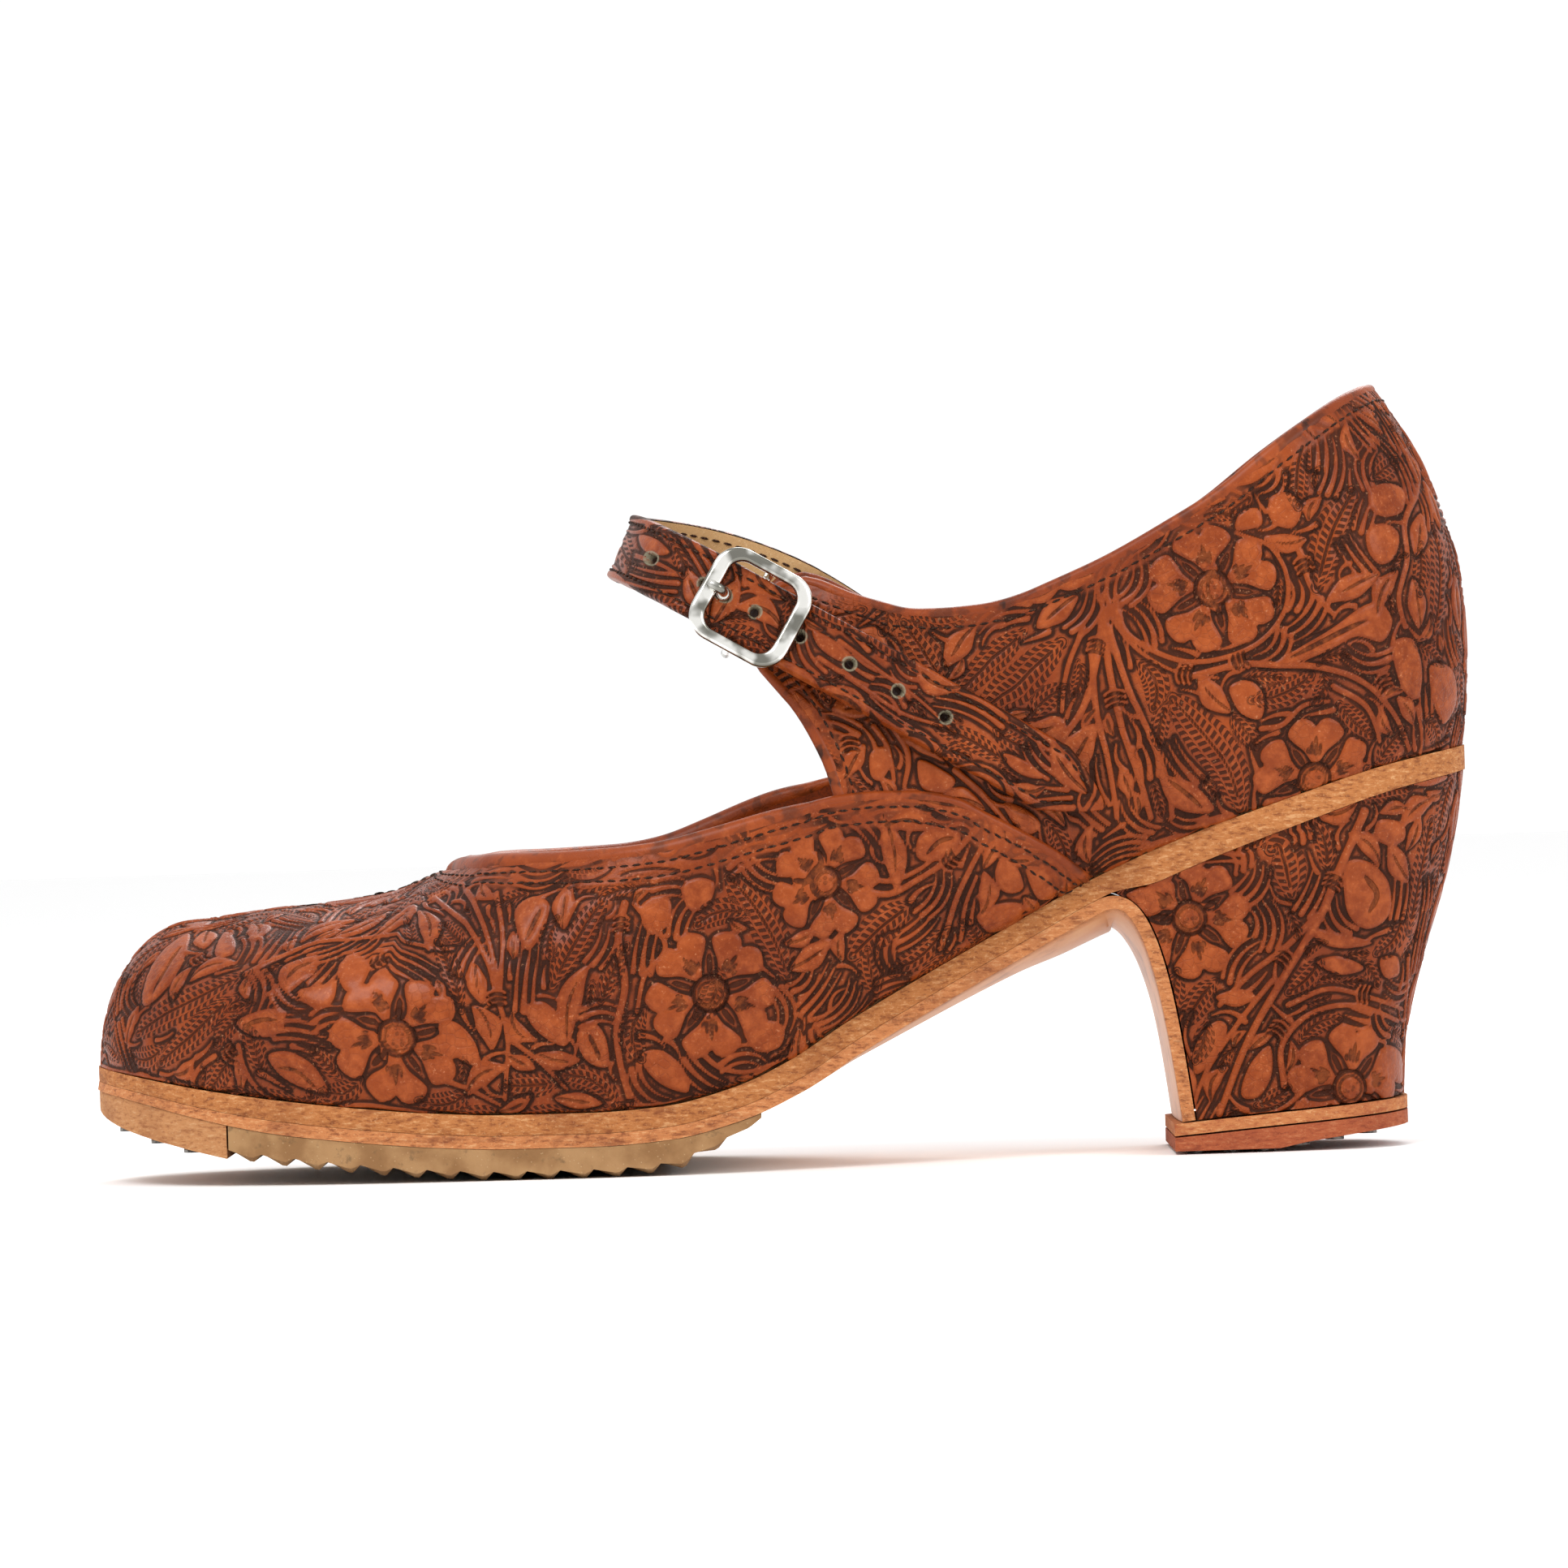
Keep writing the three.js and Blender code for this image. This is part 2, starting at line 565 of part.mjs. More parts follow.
// Half width of the heel at the floor end, closing round its back
const heelBackFoot = BREAST + HEEL_FOOT;
const HEEL_SHAPE = table("at back side", [
  [0.0, 0.0, 0.0],
  [0.15, 0.045, 0.03],
  [0.3, 0.19, 0.12],
  [0.5, 0.46, 0.34],
  [0.7, 0.74, 0.62],
  [0.85, 0.9, 0.84],
  [1.0, 1.0, 1.0],
]);
const heelBackAt = through(HEEL_SHAPE, "at", "back");
const heelSideAt = through(HEEL_SHAPE, "at", "side");

// Half width of the heel on one side, for the share `along` from front to back, at level v from the
// floor end to the seat
function heelHalf(side, along, v) {
  const top = BREAST - 12;
  const topX = mix(top, soleBack(0), along);
  const footX = mix(BREAST - 1, heelBackFoot, along);
  const topY = Math.abs(soleEdge(side, topX, 0) - centre(topX));
  const round = closing((footX - heelBackFoot + HEEL_FOOT_ROUND) / HEEL_FOOT_ROUND, 2.4);
  const footY = (HEEL_FOOT_WIDTH / 2) * round;
  return mix(footY, topY, heelSideAt(v));
}

function makeHeel() {
  const half = 22;
  const along = (i) => (1 - Math.cos((Math.PI * i) / half)) / 2;
  const levels = 10;
  const rings = [];
  for (let j = 0; j <= levels; j++) {
    const v = j / levels;
    const ring = [];
    for (let k = 0; k < 2 * half; k++) {
      const side = k < half ? LATERAL : MEDIAL;
      const a = along(k <= half ? k : 2 * half - k);
      const topX = mix(BREAST - 12, soleBack(0) - END_TRIM, a);
      const footX = mix(BREAST - 1, heelBackFoot, a);
      const x = mix(footX, topX, mix(heelBackAt(v), v, 1 - a));
      const low = liftsTop(footX) + CLEARANCE;
      const z = mix(low, midsoleUnder(topX) - CLEARANCE, v);
      ring.push(point(x, centre(topX) + side * heelHalf(side, a, v), z));
    }
    rings.push(ring);
  }
  // The front is cut back to the inner face of the outsole's flap
  const line = breastCurve.getPoints(30).map((p) => [p.x + CLEARANCE, p.y]);
  const cut = [[-FAR, -FAR], [line.at(-1)[0], -FAR], ...line.reverse(), [line.at(-1)[0], FAR], [-FAR, FAR]];
  return skin(rings, "pairs", "pairs").subtract(prism(cut, -FAR, FAR));
}

// The outsole, swept from the toe along the waist and down the breast. Each section is flat inside
// and crowned outside.
function makeOutsole() {
  const across = 6;
  const rings = [];
  const section = (x, z, direction, edges, crown) => {
    const down = new THREE.Vector2(direction.y, -direction.x); // out of the shoe
    const [left, right] = edges;
    const middle = (left + right) / 2;
    const half = (right - left) / 2;
    const ring = [point(x, left, z), point(x, right, z)];
    for (let i = 0; i <= across; i++) {
      const y = mix(right, left, i / across);
      const bulge = OUTSOLE * skive(x) + crown * CROWN * (1 - ((y - middle) / half) ** 2);
      ring.push(point(x + down.x * bulge, y, z + down.y * bulge));
    }
    return ring;
  };
  const xs = stations(soleFront(SOLE_MARGIN) + END_TRIM, SHANK, 38, true, false).slice(0, -1);
  for (const x of xs) {
    const slope = (outsoleTop(x + 1) - outsoleTop(x - 1)) / 2;
    const direction = new THREE.Vector2(1, slope).normalize();
    const edges = [soleSide(LATERAL, x), soleSide(MEDIAL, x)];
    rings.push(section(x, outsoleTop(x), direction, edges, x / LENGTH > CROWN_LINE[0].at ? crownAt(x / LENGTH) : 0));
  }
  const crownDown = through(BREAST_CROWN, "at", "crown");
  const steps = 18;
  for (let i = 0; i <= steps; i++) {
    const t = i / steps;
    const p = breastCurve.getPoint(t);
    const direction = breastCurve.getTangent(t);
    const v = clamp((p.y - liftsTop(BREAST)) / BREAST_HEIGHT);
    const edge = (side) => {
      const waist = Math.abs(soleSide(side, p.x) - centre(p.x));
      const flap = heelHalf(side, 0, v) + SOLE_MARGIN;
      return centre(p.x) + side * mix(flap, waist, smooth((v - 0.86) / 0.14));
    };
    rings.push(section(p.x, p.y, direction, [edge(LATERAL), edge(MEDIAL)], crownDown(t)));
  }
  return skin(rings, "fan", "fan");
}

const leatherUnder = (x) => {
  const slope = (outsoleTop(x + 1) - outsoleTop(x - 1)) / 2;
  return outsoleTop(x) - (OUTSOLE * skive(x) + CLEARANCE) * Math.hypot(1, slope);
};

function makeHalfSole() {
  const start = TOE_PIECE_LENGTH + CLEARANCE;
  const end = RIBS_END;
  const rings = [];
  const section = (x, tooth) => {
    const run = clamp((end - x) / TREAD_TAPER);
    const thick = mix(0.7, TREAD - CLEARANCE, run ** 0.85);
    const top = leatherUnder(x);
    const tip = run < 1 ? Math.max(lift(x), top - thick) : lift(x);
    const depth = RIB_DEPTH * smooth(run * 1.5);
    const [left, right] = [soleSide(LATERAL, x), soleSide(MEDIAL, x)];
    const low = tip + tooth * depth;
    const edge = Math.min(tip + depth * (0.55 + 0.45 * tooth), top - 0.4);
    return [
      point(x, left, top), point(x, right, top),
      point(x, right, edge), point(x, right - RIB_BEVEL, low),
      point(x, left + RIB_BEVEL, low), point(x, left, edge),
    ];
  };
  // Each rib slopes gently down to a flat tip and cuts back steeply to the next
  for (let x = start; x < end - 0.5; x += RIB_PITCH) {
    rings.push(section(x, 1));
    const tip = x + RIB_PITCH * 0.62;
    if (tip + RIB_FLAT < end - 0.5) {
      rings.push(section(tip, 0));
      rings.push(section(tip + RIB_FLAT, 0));
    }
  }
  rings.push(section(end, 1));
  return skin(rings, "fan", "fan");
}
const RIBS_END = 0.479 * LENGTH;

// A ring of nail heads as solids, to be joined to the leather that they are driven into
function nailHead(x, y, low, high) {
  const head = new THREE.CylinderGeometry(NAIL_RADIUS, NAIL_RADIUS * 0.8, high - low, 5);
  head.rotateX(Math.PI / 2);
  head.translate(x, y, (low + high) / 2);
  return solidOf(head);
}

const toePieceUnder = (x) => {
  const nose = closing(1 - (x - soleFront(SOLE_MARGIN)) / 12, 2.2);
  return leatherUnder(x) - TOE_PIECE * mix(0.45, 1, nose);
};

function makeToePiece() {
  const xs = stations(soleFront(SOLE_MARGIN) + END_TRIM, TOE_PIECE_LENGTH, 16, true, false);
  let made = slab(xs, soleSide, leatherUnder, toePieceUnder);
  for (const { x, y } of toeNails()) {
    const under = toePieceUnder(x);
    made = made.add(nailHead(x, y, under - NAIL_HEAD, under + 1));
  }
  return made;
}
// Two arcs of nails that follow the toe
function toeNails() {
  const nails = [];
  for (const inset of [5, 11]) {
    const from = soleFront(SOLE_MARGIN) + inset;
    for (let x = from + 0.5; x < TOE_PIECE_LENGTH - 3; x += NAIL_SPACING) {
      for (const side of [LATERAL, MEDIAL]) {
        const edge = soleEdge(side, x, SOLE_MARGIN - inset + 2);
        nails.push({ x, y: edge - side * 2 });
      }
    }
  }
  return nails;
}

// The outline of the heel's lifts: straight across the breast, round at the back
function liftOutline(grow, count) {
  const back = heelBackFoot + grow;
  return Array.from({ length: 2 * count }, (_, k) => {
    const side = k < count ? LATERAL : MEDIAL;
    const a = (1 - Math.cos((Math.PI * (k <= count ? k : 2 * count - k)) / count)) / 2;
    const x = mix(LIFT_FRONT, back, a);
    const round = closing((x - back + HEEL_FOOT_ROUND) / HEEL_FOOT_ROUND, 2.4);
    return [x, centre(x) + side * (HEEL_FOOT_WIDTH / 2 + grow) * round];
  });
}

function liftSlab(top, under) {
  const outline = liftOutline(LIFT_MARGIN, 18);
  const ring = (z) => outline.map(([x, y]) => point(x, y, z(x)));
  return skin([ring(under), ring(top)], "pairs", "pairs");
}

const topPieceTop = (x) => liftsTop(x) - LIFT - CLEARANCE;
function makeLift() {
  return liftSlab(liftsTop, (x) => liftsTop(x) - LIFT);
}
// The top piece lies flat on its nails near the breast and is worn away towards the back
const worn = (x) => HEEL_WORN * Math.max(0, (x - BREAST - HEEL_FLAT) / (HEEL_FOOT - HEEL_FLAT)) ** 0.75;
function makeTopPiece() {
  const blank = liftSlab(topPieceTop, () => NAIL_HEAD);
  const back = heelBackFoot + 4;
  const wedge = [[BREAST + HEEL_FLAT, -5], [back, -5]];
  for (let i = 6; i >= 0; i--) {
    const x = mix(BREAST + HEEL_FLAT, back, i / 6);
    wedge.push([x, NAIL_HEAD + worn(x)]);
  }
  let made = blank.subtract(prism(wedge, -FAR, FAR));
  for (const { x, y } of heelNails()) {
    made = made.add(nailHead(x, y, worn(x), worn(x) + NAIL_HEAD + 0.8));
  }
  return made;
}
// Rows of nails across the top piece, inside its edge
function heelNails() {
  const nails = [];
  const inset = NAIL_RADIUS + 2.2;
  for (let x = LIFT_FRONT + inset; x < heelBackFoot - inset; x += NAIL_SPACING) {
    const round = closing((x - heelBackFoot + HEEL_FOOT_ROUND + inset) / HEEL_FOOT_ROUND, 2.4);
    const half = (HEEL_FOOT_WIDTH / 2 - inset) * round;
    const count = Math.max(1, Math.round((2 * half) / NAIL_SPACING));
    for (let i = 0; i <= count; i++) nails.push({ x, y: centre(x) + mix(-half, half, i / count) });
  }
  return nails;
}

// The strap's middle line in side view, p millimetres along it from the crown: positive towards the
// free tip on the lateral side, negative towards the sewn end on the medial side
function strapSide(p) {
  const run = Math.abs(p);
  const slope = radians(strapSlope(p));
  const chord = slope * (p > 0 ? 1 : STRAP_FAR_CHORD);
  const crown = STACK + STRAP_CROWN_UP * TOPLINE_HEIGHT;
  return [STRAP_CROWN + run * Math.cos(chord), crown - run * Math.sin(chord)];
}
// Degrees that the strap runs down at p: the sewn side steepens towards its end
const strapSlope = (p) => (p > 0 ? STRAP_SLOPE : mix(6, STRAP_FAR_SLOPE, clamp(-p / STRAP_FAR)));
const EAR = 31; // along the strap to where it lies beside the quarter
// A point beside the quarter, at p along the strap, q above its middle line and `off` from the wall
function wallPoint(p, q, off) {
  const side = p > 0 ? LATERAL : MEDIAL;
  const run = Math.abs(p);
  const slope = strapSlope(p);
  const lean = radians(mix(STRAP_LEAN, slope, smooth(run / STRAP_ARCH)));
  const [x, z] = strapSide(p);
  const at = [x + q * Math.sin(lean), z + q * Math.cos(lean)];
  const beside = strapSide(side * -1 * Math.max(run, EAR));
  const slopeEar = radians(slope);
  const [ex, ez] = run < EAR ? [beside[0] + q * Math.sin(slopeEar), beside[1] + q * Math.cos(slopeEar)] : at;
  const height = ridgeHeight(ex) + WALL;
  const wall = wallWidth(side, ex, ez - feather(ex), height, WALL);
  const arch = run < STRAP_ARCH ? closing(1 - run / STRAP_ARCH, 2.1) : 1;
  return point(at[0], centre(ex) * arch + side * (wall + off) * arch, at[1]);
}
// A point on the strap's inner face
function strapPoint(p, q) {
  const fall = smooth((p - EAR) / 45);
  return wallPoint(p, q, p > 0 ? mix(STRAP_LIFT, CLEARANCE, fall) : CLEARANCE);
}
// The strap's outward direction at p, q
function strapNormal(p, q) {
  const d = 0.2;
  const along = strapPoint(p + d, q).sub(strapPoint(p - d, q));
  const up = strapPoint(p, q + d).sub(strapPoint(p, q - d));
  return along.cross(up).normalize();
}
// Half of the strap's width at p, narrowing to the pointed tip
function strapHalf(p) {
  const left = (STRAP_FREE - p) / STRAP_POINT;
  return (STRAP_WIDTH / 2) * (left < 1 ? mix(0.06, 1, clamp(left) ** 0.75) : 1);
}

function makeStrap() {
  const rings = [];
  const stops = [];
  for (let p = -STRAP_FAR; p < -STRAP_ARCH; p += 4) stops.push(p);
  const bend = 10;
  for (let i = -bend; i <= bend; i++) {
    const t = i / bend;
    stops.push(Math.sign(t) * STRAP_ARCH * (1 - Math.cos((Math.PI / 2) * Math.abs(t))));
  }
  for (let p = STRAP_ARCH + 2.5; p < STRAP_FREE - STRAP_POINT; p += 3.6) stops.push(p);
  for (let i = 0; i <= 5; i++) stops.push(STRAP_FREE - STRAP_POINT * (1 - i / 5));
  const distinct = stops.filter((p, i) => i === 0 || p - stops[i - 1] > 0.05);
  for (const p of distinct) {
    const half = strapHalf(p);
    const ring = [];
    for (const share of [-1, 0, 1]) ring.push(strapPoint(p || 0.01, share * half));
    for (const share of [1, 0.88, 0, -0.88, -1]) {
      const q = share * half;
      const thick = Math.abs(share) === 1 ? STRAP * 0.72 : STRAP;
      ring.push(strapPoint(p || 0.01, q).addScaledVector(strapNormal(p || 0.01, q), thick));
    }
    rings.push(ring);
  }
  let made = skin(rings, "fan", "fan");
  for (let i = 0; i < HOLE_COUNT; i++) {
    made = made.subtract(strapHole(STRAP_FREE - HOLE_FIRST - i * HOLE_SPACING, HOLE_RADIUS, HOLE_RADIUS));
  }
  return made.subtract(strapHole(BUCKLE_AT - PRONG_HOLE, PRONG_THICK + 2 * CLEARANCE, PRONG_WIDTH / 2 + CLEARANCE));
}
const PRONG_HOLE = BUCKLE_LENGTH / 2 - BUCKLE_BAR - 1.2;
// A cutter through the strap at p: an eight-sided rod, `along` and `across` in radius
function strapHole(p, along, across) {
  const rod = new THREE.CylinderGeometry(1, 1, 4 * STRAP, 8);
  rod.scale(across, 1, along);
  const basis = strapBasis(p);
  rod.applyMatrix4(new THREE.Matrix4().makeBasis(basis.up, basis.out, basis.along));
  rod.translate(basis.at.x, basis.at.y, basis.at.z);
  return solidOf(rod);
}
// A frame on the strap's outer face at p: along it towards the tip, up across it, and out
function strapBasis(p) {
  const out = strapNormal(p, 0);
  const along = strapPoint(p + 0.5, 0).sub(strapPoint(p - 0.5, 0)).normalize();
  const up = out.clone().cross(along).normalize();
  return { at: strapPoint(p, 0).addScaledVector(out, STRAP), out, along, up };
}

// A rounded rectangle, for the buckle
function roundedRectangle(target, width, height, radius) {
  const [w, h] = [width / 2, height / 2];
  target.moveTo(-w + radius, -h);
  target.lineTo(w - radius, -h);
  target.absarc(w - radius, -h + radius, radius, -Math.PI / 2, 0, false);
  target.lineTo(w, h - radius);
  target.absarc(w - radius, h - radius, radius, 0, Math.PI / 2, false);
  target.lineTo(-w + radius, h);
  target.absarc(-w + radius, h - radius, radius, Math.PI / 2, Math.PI, false);
  target.lineTo(-w, -h + radius);
  target.absarc(-w + radius, -h + radius, radius, Math.PI, 1.5 * Math.PI, false);
  return target;
}

// The buckle's own frame: x along the strap towards the tip, y up across it, z out of it, with z = 0
// on the strap's outer face
const PIN_DEPTH = STRAP + CLEARANCE + PIN_RADIUS + CLEARANCE + TAB_THICK; // centre bar below z = 0
function makeBuckleFrame() {
  const bevel = 0.45;
  const shape = roundedRectangle(new THREE.Shape(), BUCKLE_LENGTH - 2 * bevel, BUCKLE_WIDTH - 2 * bevel, BUCKLE_CORNER - bevel);
  const opening = [BUCKLE_LENGTH - 2 * BUCKLE_BAR + 2 * bevel, BUCKLE_WIDTH - 2 * BUCKLE_RAIL + 2 * bevel];
  shape.holes.push(roundedRectangle(new THREE.Path(), opening[0], opening[1], BUCKLE_CORNER - BUCKLE_RAIL));
  const ring = new THREE.ExtrudeGeometry(shape, {
    depth: BUCKLE_THICK - 2 * bevel, bevelThickness: bevel, bevelSize: bevel, bevelSegments: 1, curveSegments: 3,
  });
  ring.translate(0, 0, BUCKLE_RISE + bevel);
  let made = solidOf(ring);
  const rail = BUCKLE_WIDTH / 2 - BUCKLE_RAIL / 2;
  const pin = new THREE.CylinderGeometry(PIN_RADIUS, PIN_RADIUS, 2 * rail, 10);
  pin.translate(0, 0, -PIN_DEPTH);
  made = made.add(solidOf(pin));
  for (const side of [-1, 1]) {
    const [low, high] = [-PIN_DEPTH - PIN_RADIUS, BUCKLE_RISE + BUCKLE_THICK / 2];
    const post = new THREE.BoxGeometry(3 * PIN_RADIUS, 0.6 * BUCKLE_RAIL, high - low);
    post.translate(0, side * rail, (low + high) / 2);
    made = made.add(solidOf(post));
  }
  // A shallow seat for the prong's tip in the front bar
  const seat = new THREE.CylinderGeometry(PRONG_WIDTH / 2 + CLEARANCE, PRONG_WIDTH / 2 + CLEARANCE, BUCKLE_BAR * 3, 10);
  seat.rotateZ(Math.PI / 2);
  seat.translate(-BUCKLE_LENGTH / 2 + BUCKLE_BAR / 2, 0, BUCKLE_RISE + BUCKLE_THICK + 0.35);
  return made.subtract(solidOf(seat));
}

// The prong: an eye round the centre bar, a shank under the strap, up through its hole and over the bar
function makeProng() {
  const inner = PIN_RADIUS + CLEARANCE;
  const outer = inner + PRONG_THICK;
  const hole = -PRONG_HOLE;
  const bar = BUCKLE_RISE + BUCKLE_THICK;
  const under = -STRAP - CLEARANCE;
  const shape = new THREE.Shape();
  const tip = -BUCKLE_LENGTH / 2 + 0.9;
  shape.moveTo(0, -PIN_DEPTH - outer);
  shape.absarc(0, -PIN_DEPTH, outer, -Math.PI / 2, Math.PI / 2, false);
  shape.lineTo(hole + PRONG_THICK / 2, under - 0.1);
  shape.lineTo(hole + PRONG_THICK / 2, bar + 0.2);
  shape.quadraticCurveTo(hole - 0.2, bar + PRONG_THICK + 0.5, hole - 2, bar + PRONG_THICK + 0.1);
  shape.lineTo(tip, bar + 0.5);
  shape.lineTo(tip, bar - 0.05);
  shape.lineTo(hole - 2.2, bar + 0.1);
  shape.quadraticCurveTo(hole - PRONG_THICK / 2, bar, hole - PRONG_THICK / 2, bar - 1);
  shape.lineTo(hole - PRONG_THICK / 2, under - PRONG_THICK);
  shape.absarc(0, -PIN_DEPTH, outer, Math.PI * 0.86, Math.PI * 1.5, false);
  const eye = new THREE.Path();
  eye.absarc(0, -PIN_DEPTH, inner, 0, 2 * Math.PI, true);
  shape.holes.push(eye);
  const prong = new THREE.ExtrudeGeometry(shape, { depth: PRONG_WIDTH, bevelEnabled: false, curveSegments: 7 });
  prong.rotateX(Math.PI / 2);
  prong.translate(0, PRONG_WIDTH / 2, 0);
  return solidOf(prong);
}

// The leather tab that holds the buckle: a knuckle round the centre bar, and a tongue that runs from
// it down on to the quarter's ear
function makeTab() {
  const inner = PIN_RADIUS + CLEARANCE;
  const outer = inner + TAB_THICK;
  const shape = new THREE.Shape().absarc(0, 0, outer, 0, 2 * Math.PI, false);
  shape.holes.push(new THREE.Path().absarc(0, 0, inner, 0, 2 * Math.PI, true));
  const tube = new THREE.ExtrudeGeometry(shape, { depth: TAB_WIDTH, bevelEnabled: false, curveSegments: 7 });
  tube.rotateX(Math.PI / 2);
  tube.translate(0, TAB_WIDTH / 2, -PIN_DEPTH);
  const slot = new THREE.BoxGeometry(2 * outer + 4, PRONG_WIDTH + 2 * CLEARANCE, 3 * outer);
  slot.translate(-outer + 1.2, 0, -PIN_DEPTH);
  const start = inner + TAB_THICK / 2;
  const toLocal = seatMatrix.clone().invert();
  const rings = Array.from({ length: 8 }, (_, i) => {
    const d = mix(start, TAB_LENGTH, i / 7);
    const landed = smooth((d - start) / 5);
    const corner = (q, layer) => {
      const lying = wallPoint(BUCKLE_AT + d, q, CLEARANCE + layer * TAB_THICK).applyMatrix4(toLocal);
      return point(d, q, -PIN_DEPTH + (layer - 0.5) * TAB_THICK).lerp(lying, landed);
    };
    return [-1, 0, 1, 1, 0, -1].map((share, k) => corner((share * TAB_WIDTH) / 2, k < 3 ? 0 : 1));
  });
  return solidOf(tube).add(skin(rings, "fan", "fan")).subtract(solidOf(slot));
}

const COLOURS = {
  tooled: { color: 0x8a3f1c, roughness: 0.42, metalness: 0 },
  sole: { color: 0xc98f5c, roughness: 0.75, metalness: 0 },
  lining: { color: 0xc9a877, roughness: 0.8, metalness: 0 },
  crepe: { color: 0xa98a58, roughness: 0.7, metalness: 0 },
  lift: { color: 0xa8572f, roughness: 0.7, metalness: 0 },
  nickel: { color: 0xd6d6cc, roughness: 0.2, metalness: 1 },
};
const shoe = new THREE.Group();
function place(name, solid, finish, group) {
  const mesh = new THREE.Mesh(geometryOf(solid), new THREE.MeshStandardMaterial(COLOURS[finish]));
  mesh.name = name;
  group.add(mesh);
}

place("upper", makeUpper(), "tooled", shoe);
place("insole", makeInsole(), "lining", shoe);
place("midsole", makeMidsole(), "sole", shoe);
place("outsole", makeOutsole(), "sole", shoe);
place("half_sole", makeHalfSole(), "crepe", shoe);
place("toe_piece", makeToePiece(), "sole", shoe);
place("heel", makeHeel(), "tooled", shoe);
place("heel_lift", makeLift(), "sole", shoe);
place("top_piece", makeTopPiece(), "lift", shoe);
place("strap", makeStrap(), "tooled", shoe);

const buckle = new THREE.Group();
const seat = strapBasis(BUCKLE_AT);
const seatMatrix = new THREE.Matrix4().makeBasis(seat.along, seat.up, seat.out).setPosition(seat.at);
buckle.applyMatrix4(seatMatrix);
place("buckle_frame", makeBuckleFrame(), "nickel", buckle);
place("buckle_prong", makeProng(), "nickel", buckle);
place("buckle_tab", makeTab(), "tooled", buckle);
shoe.add(buckle);

// The origin goes to the floor at the middle of the shoe's box
const box = new THREE.Box3().setFromObject(shoe, true);
shoe.position.set(-(box.min.x + box.max.x) / 2, -(box.min.y + box.max.y) / 2, -box.min.z);
export default new THREE.Group().add(shoe);
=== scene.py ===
# %% [markdown]
# # A tooled leather dance shoe
# This is a left folklorico shoe. Its upper is saddle leather with flowers, leaves and stems pressed
# into it, it has an instep strap with a nickel buckle, and it stands on a leather sole with a rippled
# rubber half sole and a covered heel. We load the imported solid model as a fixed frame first, then dress
# it piece by piece. Sizes in this script are in millimetres, and meshes are written in metres.

# %% load the frame
import math
from functools import partialmethod

import bpy
import numpy as np
from mathutils import Matrix, Vector
from mathutils.kdtree import KDTree


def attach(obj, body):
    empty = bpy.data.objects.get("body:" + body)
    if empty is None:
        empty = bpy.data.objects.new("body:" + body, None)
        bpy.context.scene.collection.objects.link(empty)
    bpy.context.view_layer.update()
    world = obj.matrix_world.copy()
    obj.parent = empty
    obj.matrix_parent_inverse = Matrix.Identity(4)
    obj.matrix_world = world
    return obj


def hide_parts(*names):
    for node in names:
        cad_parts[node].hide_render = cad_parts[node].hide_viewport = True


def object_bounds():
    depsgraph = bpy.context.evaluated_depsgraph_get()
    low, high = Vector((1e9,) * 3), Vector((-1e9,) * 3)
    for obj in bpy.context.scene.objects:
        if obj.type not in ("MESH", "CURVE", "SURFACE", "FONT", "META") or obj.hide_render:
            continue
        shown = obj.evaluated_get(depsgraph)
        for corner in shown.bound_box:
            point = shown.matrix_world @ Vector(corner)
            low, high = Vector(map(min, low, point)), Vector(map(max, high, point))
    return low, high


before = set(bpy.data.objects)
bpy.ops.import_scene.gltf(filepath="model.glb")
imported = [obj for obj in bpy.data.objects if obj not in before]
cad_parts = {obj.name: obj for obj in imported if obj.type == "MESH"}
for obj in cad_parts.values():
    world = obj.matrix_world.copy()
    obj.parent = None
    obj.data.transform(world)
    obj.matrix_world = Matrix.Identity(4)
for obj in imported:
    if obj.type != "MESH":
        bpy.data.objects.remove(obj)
CAD_BOX = [[float(v) for v in corner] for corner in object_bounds()]
MM = 0.001
SHIFT = np.array([-116.125, 0.214, 0.0])  # from the toe of the last to the middle of the shoe's box
print("frame box in mm", [[round(v / MM, 1) for v in corner] for corner in CAD_BOX])

# %% [markdown]
# ## Camera, floor and light
# The photograph looks at the outer side of the shoe from far away, so the lens is long and the
# perspective is slight. The camera is rolled by under two degrees. The floor is white paper, and the
# light is a bright sky with two soft lamps.

# %% camera
IMAGE = 1932  # pixels on each side of the photograph
CAMERA_AT = np.array([0.83, -1400.0, 63.7])
FOCAL = 7.3  # pixels per millimetre at the shoe
ROLL = math.radians(1.795)


def placed(name, data):
    """An object of the scene."""
    made = bpy.data.objects.new(name, data)
    bpy.context.scene.collection.objects.link(made)
    return made


camera_data = bpy.data.cameras.new("camera")
camera_data.sensor_width = 36
camera_data.lens = 36 * FOCAL * -CAMERA_AT[1] / IMAGE
camera_data.clip_end = 20
camera = placed("camera", camera_data)
camera.matrix_world = (
    Matrix.Translation(Vector(CAMERA_AT * MM))
    @ Matrix.Rotation(ROLL, 4, "Y")
    @ Matrix.Rotation(math.pi / 2, 4, "X")
)
bpy.context.scene.camera = camera


def to_photo(points):
    """Pixels of the photograph where points of the shoe's frame are seen."""
    scale = FOCAL * -CAMERA_AT[1] / (points[..., 1] - CAMERA_AT[1])
    across = (points[..., 0] - CAMERA_AT[0]) * scale
    up = (points[..., 2] - CAMERA_AT[2]) * scale
    column = IMAGE / 2 + across * math.cos(ROLL) - up * math.sin(ROLL)
    row = IMAGE / 2 - (across * math.sin(ROLL) + up * math.cos(ROLL))
    return np.stack([column, row], axis=-1)


print("lens", round(camera_data.lens, 1), "mm")

# %% [markdown]
# Shader maths reads best as sums. One small class wraps a socket, so that `1 - mask` adds a Math node,
# and another adds any node from its type, its settings and its inputs.


